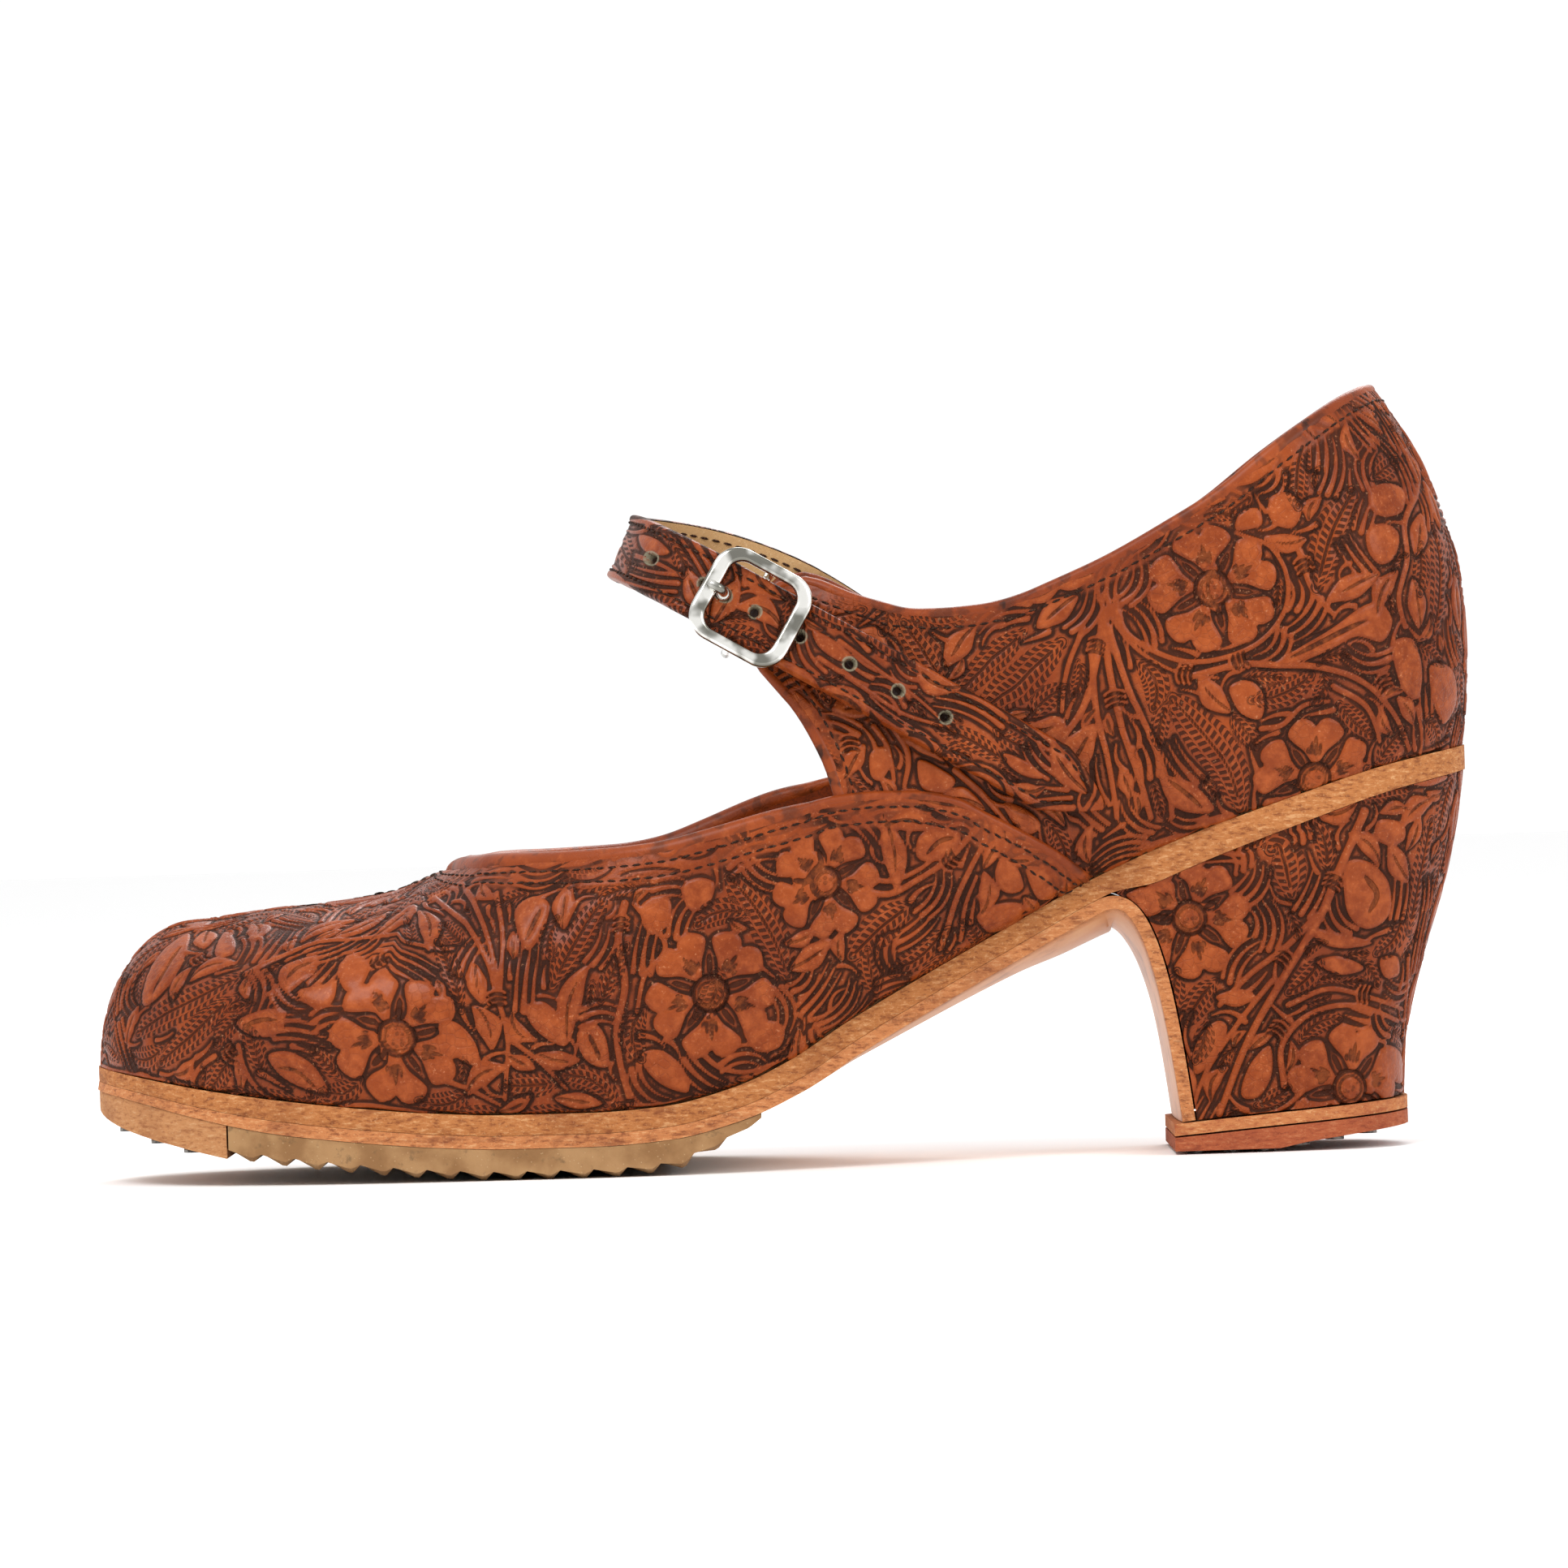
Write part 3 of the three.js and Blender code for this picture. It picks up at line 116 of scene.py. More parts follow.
# %% sums on sockets
class Value:
    """A socket that can stand in a sum."""

    def __init__(self, tree, socket):
        self.tree = tree
        self.socket = socket

    def math(self, operation, other, turned=False):
        pair = (other, self) if turned else (self, other)
        return self.tree.add("ShaderNodeMath", {"operation": operation}, {0: pair[0], 1: pair[1]})

    __add__ = partialmethod(math, "ADD")
    __radd__ = partialmethod(math, "ADD", turned=True)
    __sub__ = partialmethod(math, "SUBTRACT")
    __rsub__ = partialmethod(math, "SUBTRACT", turned=True)
    __mul__ = partialmethod(math, "MULTIPLY")
    __abs__ = partialmethod(math, "ABSOLUTE", 0.0)
    most = partialmethod(math, "MAXIMUM")

    def clamp(self):
        return self.math("MINIMUM", 1.0).most(0.0)

    def between(self, start, end):
        """0 at start, 1 at end, eased."""
        sort = {"data_type": "FLOAT", "interpolation_type": "SMOOTHSTEP"}
        inputs = {"Value": self, "From Min": start, "From Max": end, "To Min": 0.0, "To Max": 1.0}
        if start > end:
            inputs = {"Value": self, "From Min": end, "From Max": start, "To Min": 1.0, "To Max": 0.0}
        return self.tree.add("ShaderNodeMapRange", sort, inputs)


class Tree:
    """A node tree that adds a node with its settings and inputs in one call."""

    def __init__(self, tree):
        self.tree = tree

    def put(self, value, socket):
        if isinstance(value, Value):
            value = value.socket
        if isinstance(value, bpy.types.NodeSocket):
            self.tree.links.new(value, socket)
        elif socket.type == "RGBA" and len(value) == 3:
            socket.default_value = (*value, 1.0)
        else:
            socket.default_value = value

    def add(self, kind, settings=None, inputs=None, out=0):
        node = self.tree.nodes.new(kind)
        for name, value in (settings or {}).items():
            setattr(node, name, value)
        for name, value in (inputs or {}).items():
            self.put(value, node.inputs[name])
        return Value(self, node.outputs[out])

    def noise(self, place, size, detail=2.0, rough=0.5):
        """Noise with features of about `size` millimetres."""
        inputs = {"Vector": place, "Scale": 1 / (size * MM), "Detail": detail, "Roughness": rough}
        return self.add("ShaderNodeTexNoise", None, inputs)

    def cells(self, place, size, feature="F1"):
        inputs = {"Vector": place, "Scale": 1 / (size * MM)}
        return self.add("ShaderNodeTexVoronoi", {"feature": feature}, inputs)

    def mix(self, share, first, second):
        node = self.tree.nodes.new("ShaderNodeMix")
        node.data_type = "RGBA"
        self.put(share, node.inputs[0])
        self.put(first, node.inputs[6])
        self.put(second, node.inputs[7])
        return Value(self, node.outputs[2])

    def attribute(self, name):
        return self.add("ShaderNodeAttribute", {"attribute_name": name}, None, "Fac")

    def bump(self, height):
        """A normal from a height in millimetres."""
        return self.add("ShaderNodeBump", None, {"Height": height, "Strength": 1.0, "Distance": MM})

    def surface(self, colour, rough, shine, height, others=None):
        """A shader's inputs, from a colour, a roughness, a specular level and a height in millimetres."""
        given = {"Base Color": colour, "Roughness": rough, "Specular IOR Level": shine}
        return {**given, "Normal": self.bump(height), **(others or {})}

    def place(self, stretch=None):
        at = self.add("ShaderNodeTexCoord", None, None, "Object")
        return self.add("ShaderNodeMapping", None, {"Vector": at, "Scale": stretch}) if stretch else at


def finish_of(name, make):
    """A material whose surface is made by make(tree), which gives the inputs of the shader."""
    material = bpy.data.materials.new(name)
    material.use_nodes = True
    nodes = material.node_tree.nodes
    tree = Tree(material.node_tree)
    shader = nodes["Principled BSDF"]
    for socket, value in make(tree).items():
        tree.put(value, shader.inputs[socket])
    print(name, "has", len(nodes), "nodes")
    return material


# %% floor and light
PAPER = (0.93, 0.93, 0.93)
SKY_STRENGTH = 1.05


def paper(tree):
    return {"Base Color": PAPER, "Roughness": 0.9}


FLOOR_REACH = 6.0  # metres
floor_mesh = bpy.data.meshes.new("floor")
floor_corners = [(x * FLOOR_REACH, y * FLOOR_REACH, 0) for x, y in ((-1, -1), (1, -1), (1, 1), (-1, 1))]
floor_mesh.from_pydata(floor_corners, [], [(0, 1, 2, 3)])
floor = placed("floor", floor_mesh)
floor_mesh.materials.append(finish_of("paper", paper))

world = bpy.data.worlds.new("sky")
world.use_nodes = True
sky = world.node_tree.nodes["Background"]
sky.inputs[0].default_value = (1, 1, 1, 1)
sky.inputs[1].default_value = SKY_STRENGTH
bpy.context.scene.world = world
bpy.context.scene.view_settings.view_transform = "Standard"


def lamp(name, at, aim, size, watts):
    """A square soft lamp at `at` that faces `aim`, in metres."""
    data = bpy.data.lights.new(name, "AREA")
    data.size = size
    data.energy = watts
    lit = placed(name, data)
    lit.location = at
    lit.rotation_euler = (Vector(aim) - Vector(at)).to_track_quat("-Z", "Y").to_euler()


lamp("key", (-0.5, -0.9, 1.3), (0, 0, 0.05), 0.7, 14)
lamp("fill", (0.9, -0.9, 0.7), (0, 0, 0.06), 0.6, 5)
lamp("rim", (0.2, 1.0, 0.9), (0, 0, 0.05), 0.6, 7)

# %% [markdown]
# ## The last
# A shoe is built on a last, the wooden form of the foot. Every leather piece here lies on it, so its
# shape comes first: short tables of named columns along the length, joined by smooth curves. They are
# the same numbers that the solid model was built from, and a piece that is drawn over it fits.

# %% sizes
LENGTH = 232.8  # toe to the back of the counter
BALL_WIDTH = 76.0
TOE_SPRING = 8.9
HEEL_RISE = 56.2
TOE_DEPTH = 21.5
LEG_HEIGHT = 88.0
COUNTER_HEIGHT = 60.1
COUNTER_LEAN = 14.2
NOSE_SWEEP = 16.0
TOE_ROUND = 52.0
HEEL_ROUND = 31.0
FEATHER_TUCK = 2.6
WALL = 2.0
LAP = 1.0
CLEARANCE = 0.3
SOLE_MARGIN = 0.3
MIDSOLE = 3.2
SEAT_RAND = 1.9
TOE_SKIVE = 0.34
OUTSOLE = 1.9
TREAD = 5.7
CROWN = 3.6
HEEL_SEAT = 49.2
HEEL_FOOT = 36.2
HEEL_FOOT_WIDTH = 41.0
HEEL_FOOT_ROUND = 19.0
SHANK_REACH = 15.0
HEEL_PITCH = 4.4
LIFT = 2.0
TOP_PIECE = 2.2
NAIL_HEAD = 0.6
TOPLINE_HEIGHT = HEEL_RISE + COUNTER_HEIGHT

STACK = TREAD + OUTSOLE + MIDSOLE
BACK = LENGTH - WALL
TOE = WALL + LAP
SEAT = STACK + HEEL_RISE
LATERAL = -1
MEDIAL = 1


# %% curves through tables
def smooth_curve(rows, column, key=0):
    """A smooth curve through one column of a table, without overshoot, straight beyond its ends."""
    x = np.array([row[key] for row in rows], float)
    y = np.array([row[column] for row in rows], float)
    step = np.diff(x)
    rate = np.diff(y) / step
    slope = np.zeros_like(x)
    slope[0], slope[-1] = rate[0], rate[-1]
    even = rate[:-1] * rate[1:] > 0
    a = 2 * step[1:] + step[:-1]
    b = step[1:] + 2 * step[:-1]
    before = np.where(even, rate[:-1], 1)
    after = np.where(even, rate[1:], 1)
    slope[1:-1] = np.where(even, (a + b) / (a / before + b / after), 0)

    def value(at):
        at = np.asarray(at, float)
        i = np.clip(np.searchsorted(x, at, side="right") - 1, 0, len(step) - 1)
        t = (at - x[i]) / step[i]
        rise = y[i + 1] - y[i]
        bend = step[i] * t * (1 - t) * (slope[i] * (1 - t) - slope[i + 1] * t)
        inside = y[i] + rise * t * t * (3 - 2 * t) + bend
        low = y[0] + slope[0] * (at - x[0])
        high = y[-1] + slope[-1] * (at - x[-1])
        return np.where(at <= x[0], low, np.where(at >= x[-1], high, inside))

    return value


def mix(a, b, t):
    return a + (b - a) * t


def smooth(v):
    v = np.clip(v, 0, 1)
    return v * v * (3 - 2 * v)


def closing(u, power):
    """1 at u = 0, falling to 0 at u = 1, as a superellipse does."""
    return (1 - np.clip(u, 0, 1) ** power) ** (1 / power)


# at, spring, rise, toe, cone, bulge, lateral, medial, centre
LAST = [
    (0.0, 1.0, 0.0, 0.97, 0.0, 0.5, 0.45, 0.45, 0.055),
    (0.03, 0.85, 0.0, 1.03, 0.0, 0.54, 0.46, 0.46, 0.052),
    (0.08, 0.6, 0.0, 1.16, 0.0, 0.58, 0.47, 0.47, 0.045),
    (0.13, 0.4, 0.0, 1.31, 0.0, 0.6, 0.48, 0.48, 0.036),
    (0.18, 0.235, 0.0, 1.42, 0.0, 0.62, 0.487, 0.487, 0.028),
    (0.22, 0.125, 0.0, 1.535, 0.0, 0.64, 0.493, 0.49, 0.02),
    (0.2526, 0.055, 0.0, 1.7, 0.0, 0.66, 0.498, 0.49, 0.014),
    (0.3, 0.0, 0.0, 1.83, 0.06, 0.7, 0.505, 0.49, 0.006),
    (0.36, 0.0, 0.0, 1.86, 0.19, 0.74, 0.51, 0.478, -0.004),
    (0.41, 0.0, 0.012, 1.86, 0.345, 0.79, 0.505, 0.458, -0.011),
    (0.46, 0.0, 0.06, 1.86, 0.51, 0.86, 0.487, 0.434, -0.016),
    (0.5, 0.0, 0.132, 1.86, 0.62, 0.92, 0.465, 0.413, -0.018),
    (0.54, 0.0, 0.233, 1.86, 0.68, 1.0, 0.44, 0.395, -0.018),
    (0.6, 0.0, 0.37, 1.86, 0.71, 1.06, 0.408, 0.372, -0.016),
    (0.66, 0.0, 0.502, 1.86, 0.71, 1.1, 0.382, 0.356, -0.012),
    (0.72, 0.0, 0.632, 1.86, 0.69, 1.1, 0.365, 0.348, -0.008),
    (0.78, 0.0, 0.738, 1.86, 0.65, 1.06, 0.356, 0.345, -0.004),
    (0.86, 0.0, 0.852, 1.86, 0.6, 1.0, 0.351, 0.345, 0.0),
    (0.93, 0.0, 0.94, 1.86, 0.56, 0.96, 0.349, 0.345, 0.0),
    (1.0, 0.0, 1.0, 1.86, 0.53, 0.94, 0.347, 0.345, 0.0),
]
spring_at, rise_at, toe_at, cone_at, bulge_at, lateral_at, medial_at, centre_at = (
    smooth_curve(LAST, column) for column in range(1, 9)
)
COUNTER = [  # at, lean
    (0.0, 0.09), (0.1, 0.035), (0.24, 0.0), (0.38, 0.014), (0.51, 0.07), (0.65, 0.24),
    (0.79, 0.458), (0.93, 0.796), (1.0, 1.0), (1.3, 2.0),
]
WAIST = [(0.36, 0.0), (0.5, 0.02), (0.62, 0.075), (0.72, 0.06), (0.82, 0.015), (0.9, 0.0)]
lean_at = smooth_curve(COUNTER, 1)
narrow_at = smooth_curve(WAIST, 1)


# %% the last's surface
def lift_of(x):
    return spring_at(x / LENGTH) * TOE_SPRING + rise_at(x / LENGTH) * HEEL_RISE


def feather(x):
    return STACK + lift_of(x)


def centre(x):
    return centre_at(x / LENGTH) * BALL_WIDTH


def ridge_height(x):
    return toe_at(x / LENGTH) * TOE_DEPTH + cone_at(x / LENGTH) * LEG_HEIGHT


def back_seam(z):
    return BACK - COUNTER_LEAN * lean_at((z - SEAT) / COUNTER_HEIGHT)


def wall_width(side, x, h, height, grow):
    """Half width of the last, grown by `grow`, h above the feather edge, before its ends close."""
    s = x / LENGTH
    wide = BALL_WIDTH * np.where(np.asarray(side) < 0, lateral_at(s), medial_at(s)) + grow
    narrow = np.where((s > 0.36) & (s < 0.9), narrow_at(s), 0) * BALL_WIDTH
    bulge = bulge_at(s) * TOE_DEPTH
    tuck = (FEATHER_TUCK + narrow) * (1 - np.sqrt(1 - (1 - np.clip(h / bulge, 0, 1)) ** 2))
    upper = wide * closing((h - bulge) / (height - bulge), 2.05)
    return np.where(h < bulge, wide - tuck, upper)


def front_of(level, grow):
    return TOE - grow + NOSE_SWEEP * (1 - np.sqrt(1 - np.clip(level, 0, 1) ** 2))


TOE_POWER = 2.3
HEEL_POWER = 2.2
NO_FRONT = -1000  # a front so far ahead that the toe doesn't close


def at_height(side, x, h, grow, front):
    """The point of the last at length x, h above the feather edge."""
    z = feather(x) + h
    rear = back_seam(z) + grow
    y = (
        wall_width(side, x, np.maximum(h, 0), ridge_height(x) + grow, grow)
        * closing((front + TOE_ROUND - x) / TOE_ROUND, TOE_POWER)
        * closing((x - rear + HEEL_ROUND) / HEEL_ROUND, HEEL_POWER)
    )
    return np.stack([x + 0 * y, centre(x) + side * y, z + 0 * y], axis=-1)


def on_last(side, x, level, grow):
    """The point of the last at length x and level, 0 at the feather edge and 1 on the ridge."""
    return at_height(side, x, level * (ridge_height(x) + grow), grow, front_of(level, grow))


def rear_of(grow):
    """The back of the last at its feather edge."""
    x = BACK + grow
    for _ in range(8):
        x = mix(x, float(back_seam(feather(x))) + grow, 0.7)
    return x


print("ball of the foot", np.round(on_last(LATERAL, np.array([0.36 * LENGTH]), 0.3, 3.0) + SHIFT, 1))

# %% [markdown]
# ## Grids
# Each leather piece is one grid of small four-sided faces laid on the last: columns go round the shoe
# and rows go up it. Even spacing along both keeps the pressed pattern sharp everywhere.


# %% grids
def unit(ways):
    return ways / np.maximum(np.linalg.norm(ways, axis=-1, keepdims=True), 1e-12)


def run_of(line):
    """How far along a line each of its points lies."""
    return np.concatenate([[0], np.cumsum(np.linalg.norm(np.diff(line, axis=0), axis=1))])


def spaced(points, count):
    """The same lines through space, with `count` points evenly spaced along each."""
    step = np.linalg.norm(np.diff(points, axis=1), axis=2)
    run = np.concatenate([np.zeros((len(points), 1)), np.cumsum(step, axis=1)], axis=1)
    made = np.empty((len(points), count, points.shape[2]))
    for k, line in enumerate(points):
        want = np.linspace(0, run[k, -1], count)
        for d in range(points.shape[2]):
            made[k, :, d] = np.interp(want, run[k], line[:, d])
    return made


def cut_above(points, over):
    """Each line of points ends where `over` first turns positive, and is stretched to keep its count."""
    count = points.shape[1]
    made = np.empty_like(points)
    for k, line in enumerate(points):
        past = np.nonzero(over[k] > 0)[0]
        end = count - 1.0
        if len(past) and past[0] > 0:
            j = past[0]
            end = j - over[k, j] / (over[k, j] - over[k, j - 1])
        want = np.linspace(0, end, count)
        for d in range(3):
            made[k, :, d] = np.interp(want, np.arange(count), line[:, d])
    return made


def welded(grid):
    """Point numbers of a grid, where points that lie on each other share one number."""
    flat = np.round(grid.reshape(-1, 3) * 2000).astype(np.int64)
    _, first, number = np.unique(flat, axis=0, return_index=True, return_inverse=True)
    return first, number.reshape(grid.shape[:2])


def quads_of(number):
    a = number[:-1, :-1].ravel()
    b = number[1:, :-1].ravel()
    c = number[1:, 1:].ravel()
    d = number[:-1, 1:].ravel()
    return np.stack([a, b, c, d], axis=1)


def normals_of(points, quads):
    """Normals of the points of a mesh, from the faces round each."""
    corners = points[quads]
    face = np.cross(corners[:, 2] - corners[:, 0], corners[:, 3] - corners[:, 1])
    total = np.zeros_like(points)
    for k in range(4):
        np.add.at(total, quads[:, k], face)
    return unit(total)


def faced(points, faces, out):
    """Faces, turned over if they look away from `out`."""
    return faces if (normals_of(points, faces) * out).sum() >= 0 else faces[:, ::-1]


def piece_of(name, points, faces, material, replaces=(), values=None, sharp=None):
    """A smooth mesh piece, in millimetres from the toe, that rides on the shoe."""
    mesh = bpy.data.meshes.new(name)
    kept = [tuple(dict.fromkeys(map(int, face))) for face in faces]
    kept = [face for face in kept if len(face) > 2]
    mesh.from_pydata(((points + SHIFT) * MM).tolist(), [], kept)
    for key, value in (values or {}).items():
        field = mesh.attributes.new(key, "FLOAT", "POINT").data
        field.foreach_set("value", np.ascontiguousarray(value, np.float32))
    mesh.polygons.foreach_set("use_smooth", [True] * len(mesh.polygons))
    if sharp is not None:
        mesh.set_sharp_from_angle(angle=math.radians(sharp))
    mesh.validate()
    mesh.materials.append(material)
    made = placed(name, mesh)
    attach(made, "root")
    if replaces:
        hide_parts(*replaces)
    print(name, sum(len(p.vertices) - 2 for p in mesh.polygons), "triangles")


# %% [markdown]
# ### Vamp
# The vamp is the front of the upper. Its columns start at the feather edge, where leather meets sole.
# In front of the throat they run up to the middle line, and behind it they stop at the topline.

# %% toplines
VAMP_LINE = [  # at, up
    (0.2539, 0.3448), (0.278, 0.3491), (0.304, 0.3525), (0.3574, 0.3568), (0.4108, 0.3654),
    (0.4461, 0.3809), (0.482, 0.3998), (0.5174, 0.4179), (0.5388, 0.4299), (0.5705, 0.4342),
    (0.5918, 0.4334), (0.6233, 0.4222), (0.6442, 0.3998), (0.6578, 0.3852), (0.6924, 0.3439),
    (0.72, 0.3009), (0.732, 0.281),
]
FRONT_EDGE = [  # at, up
    (0.6, 0.0), (0.56, 0.3), (0.5411, 0.4334), (0.5355, 0.4738), (0.5302, 0.5004), (0.5215, 0.5357),
    (0.5128, 0.5641), (0.5039, 0.5864), (0.495, 0.608), (0.4885, 0.625), (0.484, 0.65),
    (0.485, 0.685), (0.493, 0.715), (0.505, 0.737),
]
QUARTER_LINE = [  # at, up
    (0.5219, 0.742), (0.5334, 0.7352), (0.5533, 0.7171), (0.5733, 0.7034), (0.5934, 0.6922),
    (0.6136, 0.6905), (0.6339, 0.6922), (0.6542, 0.6965), (0.6747, 0.7068), (0.6952, 0.7223),
    (0.7364, 0.7567), (0.7778, 0.7997), (0.8194, 0.8478), (0.8614, 0.9114), (0.9043, 0.9708),
    (0.9268, 0.9948), (0.9378, 0.9991), (1.02, 1.002),
]
VAMP_RAISE = 3.2
QUARTER_RAISE = 2.0
THROAT = VAMP_LINE[0][0] * LENGTH
VAMP_TAIL = 0.7175 * LENGTH
vamp_up = smooth_curve(VAMP_LINE, 1)


def vamp_raise(side, x):
    s = x / LENGTH
    return (side > 0) * VAMP_RAISE * smooth((s - 0.38) / 0.13) * smooth((0.72 - s) / 0.1)


def quarter_raise(side, x):
    s = x / LENGTH
    return (side > 0) * QUARTER_RAISE * smooth((s - 0.38) / 0.1) * smooth((0.6 - s) / 0.06)


def vamp_top(side, x):
    """Height of the vamp's topline."""
    return STACK + vamp_up(x / LENGTH) * TOPLINE_HEIGHT + vamp_raise(side, x)


# %% vamp grid
def vamp_half(side, grow, columns, rows):
    """One side of the vamp as columns of points, from the toe to the tail."""
    fine = np.linspace(0, 1, 400) ** 1.6
    front = front_of(0.4, grow)
    edge = on_last(side, front + fine * (VAMP_TAIL - front), 0.4, grow)
    run = run_of(edge)
    share = np.interp(np.linspace(0, run[-1], columns), run, fine)[:, None]
    level = np.sin(np.linspace(0, math.pi / 2, 260))[None, :]
    start = front_of(level, grow)
    x = start + share * (VAMP_TAIL - start)
    points = on_last(side, x, level + 0 * x, grow)
    over = np.where(x > THROAT, points[..., 2] - vamp_top(side, x), -1.0)
    return spaced(cut_above(points, over), rows)


def whole(half, *sizes):
    """Both halves as one grid, from the lateral end round the toe or the back to the medial end."""
    lateral, medial = (half(side, *sizes) for side in (LATERAL, MEDIAL))
    return np.concatenate([lateral[::-1], medial[1:]], axis=0)


VAMP_COLUMNS, VAMP_ROWS = ((405, 122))
vamp_grid = whole(vamp_half, WALL + LAP, VAMP_COLUMNS, VAMP_ROWS)
print("vamp grid", vamp_grid.shape)


# %% quarter grid
def bent(points, closed=False, count=6):
    """A smooth line through points."""
    p = np.asarray(points, float)
    before, after = (p[-1:], p[:2]) if closed else (2 * p[:1] - p[1:2], 2 * p[-1:] - p[-2:-1])
    p = np.concatenate([before, p, after])
    t = np.linspace(0, 1, count, endpoint=False)[:, None]
    made = []
    for a, b, c, d in zip(p[:-3], p[1:-2], p[2:-1], p[3:]):
        square, cube = 2 * a - 5 * b + 4 * c - d, 3 * b - a - 3 * c + d
        made.append(0.5 * (2 * b + (c - a) * t + square * t**2 + cube * t**3))
    return np.concatenate(made + ([] if closed else [p[-2:-1]]))


def even_line(line, count):
    return spaced(line[None], count)[0]


HIDDEN = 4.0  # how far the quarter runs down under the vamp


def quarter_half(side, grow, columns, rows):
    """One side of the quarters as columns of points, from its front edge to the back seam."""

    def edge_of(table):
        line = bent(table, count=8)
        x = line[:, 0] * LENGTH
        return np.stack([x, STACK + line[:, 1] * TOPLINE_HEIGHT + quarter_raise(side, x)], axis=1)

    line = edge_of(FRONT_EDGE)
    low = np.maximum(feather(line[:, 0]), vamp_top(side, line[:, 0]) - HIDDEN)
    front = line[line[:, 1] >= low]
    top = edge_of(QUARTER_LINE)
    top_z = STACK + TOPLINE_HEIGHT
    rear_top = back_seam(top_z) + grow
    top = top[top[:, 0] < rear_top - 0.5]
    top = np.concatenate([front[-1:], top, [[rear_top, top_z]]])
    foot = np.linspace(front[0, 0], rear_of(grow), 500)
    cover = np.where(foot < VAMP_TAIL, vamp_top(side, foot) - HIDDEN, 0)
    foot = np.stack([foot, np.maximum(feather(foot), cover)], axis=1)
    back_z = np.linspace(foot[-1, 1], top[-1, 1], 200)
    back = np.stack([back_seam(back_z) + grow, back_z], axis=1)

    def along(line):
        """Evenly spaced along the leather itself, which turns inward at the back."""
        fine = even_line(line, 1500)
        x, z = fine.T
        y = at_height(side, x, z - feather(x), grow, NO_FRONT)[:, 1]
        run = run_of(np.stack([x, y, z], 1))
        want = np.linspace(0, run[-1], columns)
        return np.stack([np.interp(want, run, x), np.interp(want, run, z)], axis=1)

    bottom_line, top_line = along(foot), along(top)
    front_line, back_line = even_line(front, rows), even_line(back, rows)
    u = np.linspace(0, 1, columns)[:, None, None]
    v = np.linspace(0, 1, rows)[None, :, None]
    flat = (
        mix(bottom_line[:, None], top_line[:, None], v)
        + mix(front_line[None], back_line[None], u)
        - mix(mix(bottom_line[0], bottom_line[-1], u), mix(top_line[0], top_line[-1], u), v)
    )
    x, z = flat[..., 0], flat[..., 1]
    x = np.minimum(x, back_seam(z) + grow)
    points = at_height(side, x, z - feather(x), grow, NO_FRONT)
    points[-1, :, 1] = centre(points[-1, :, 0])
    return points[::-1]


QUARTER_COLUMNS, QUARTER_ROWS = ((330, 150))
quarter_grid = whole(quarter_half, WALL, QUARTER_COLUMNS, QUARTER_ROWS)
print("quarter grid", quarter_grid.shape)

# %% [markdown]
# ## Flat charts
# The pattern is pressed into flat leather before the leather is pulled over the last. So each grid
# gets a flat chart: a coarse copy of it is flattened so that every small triangle keeps its shape as
# well as it can, and the fine grid reads its place from that copy.


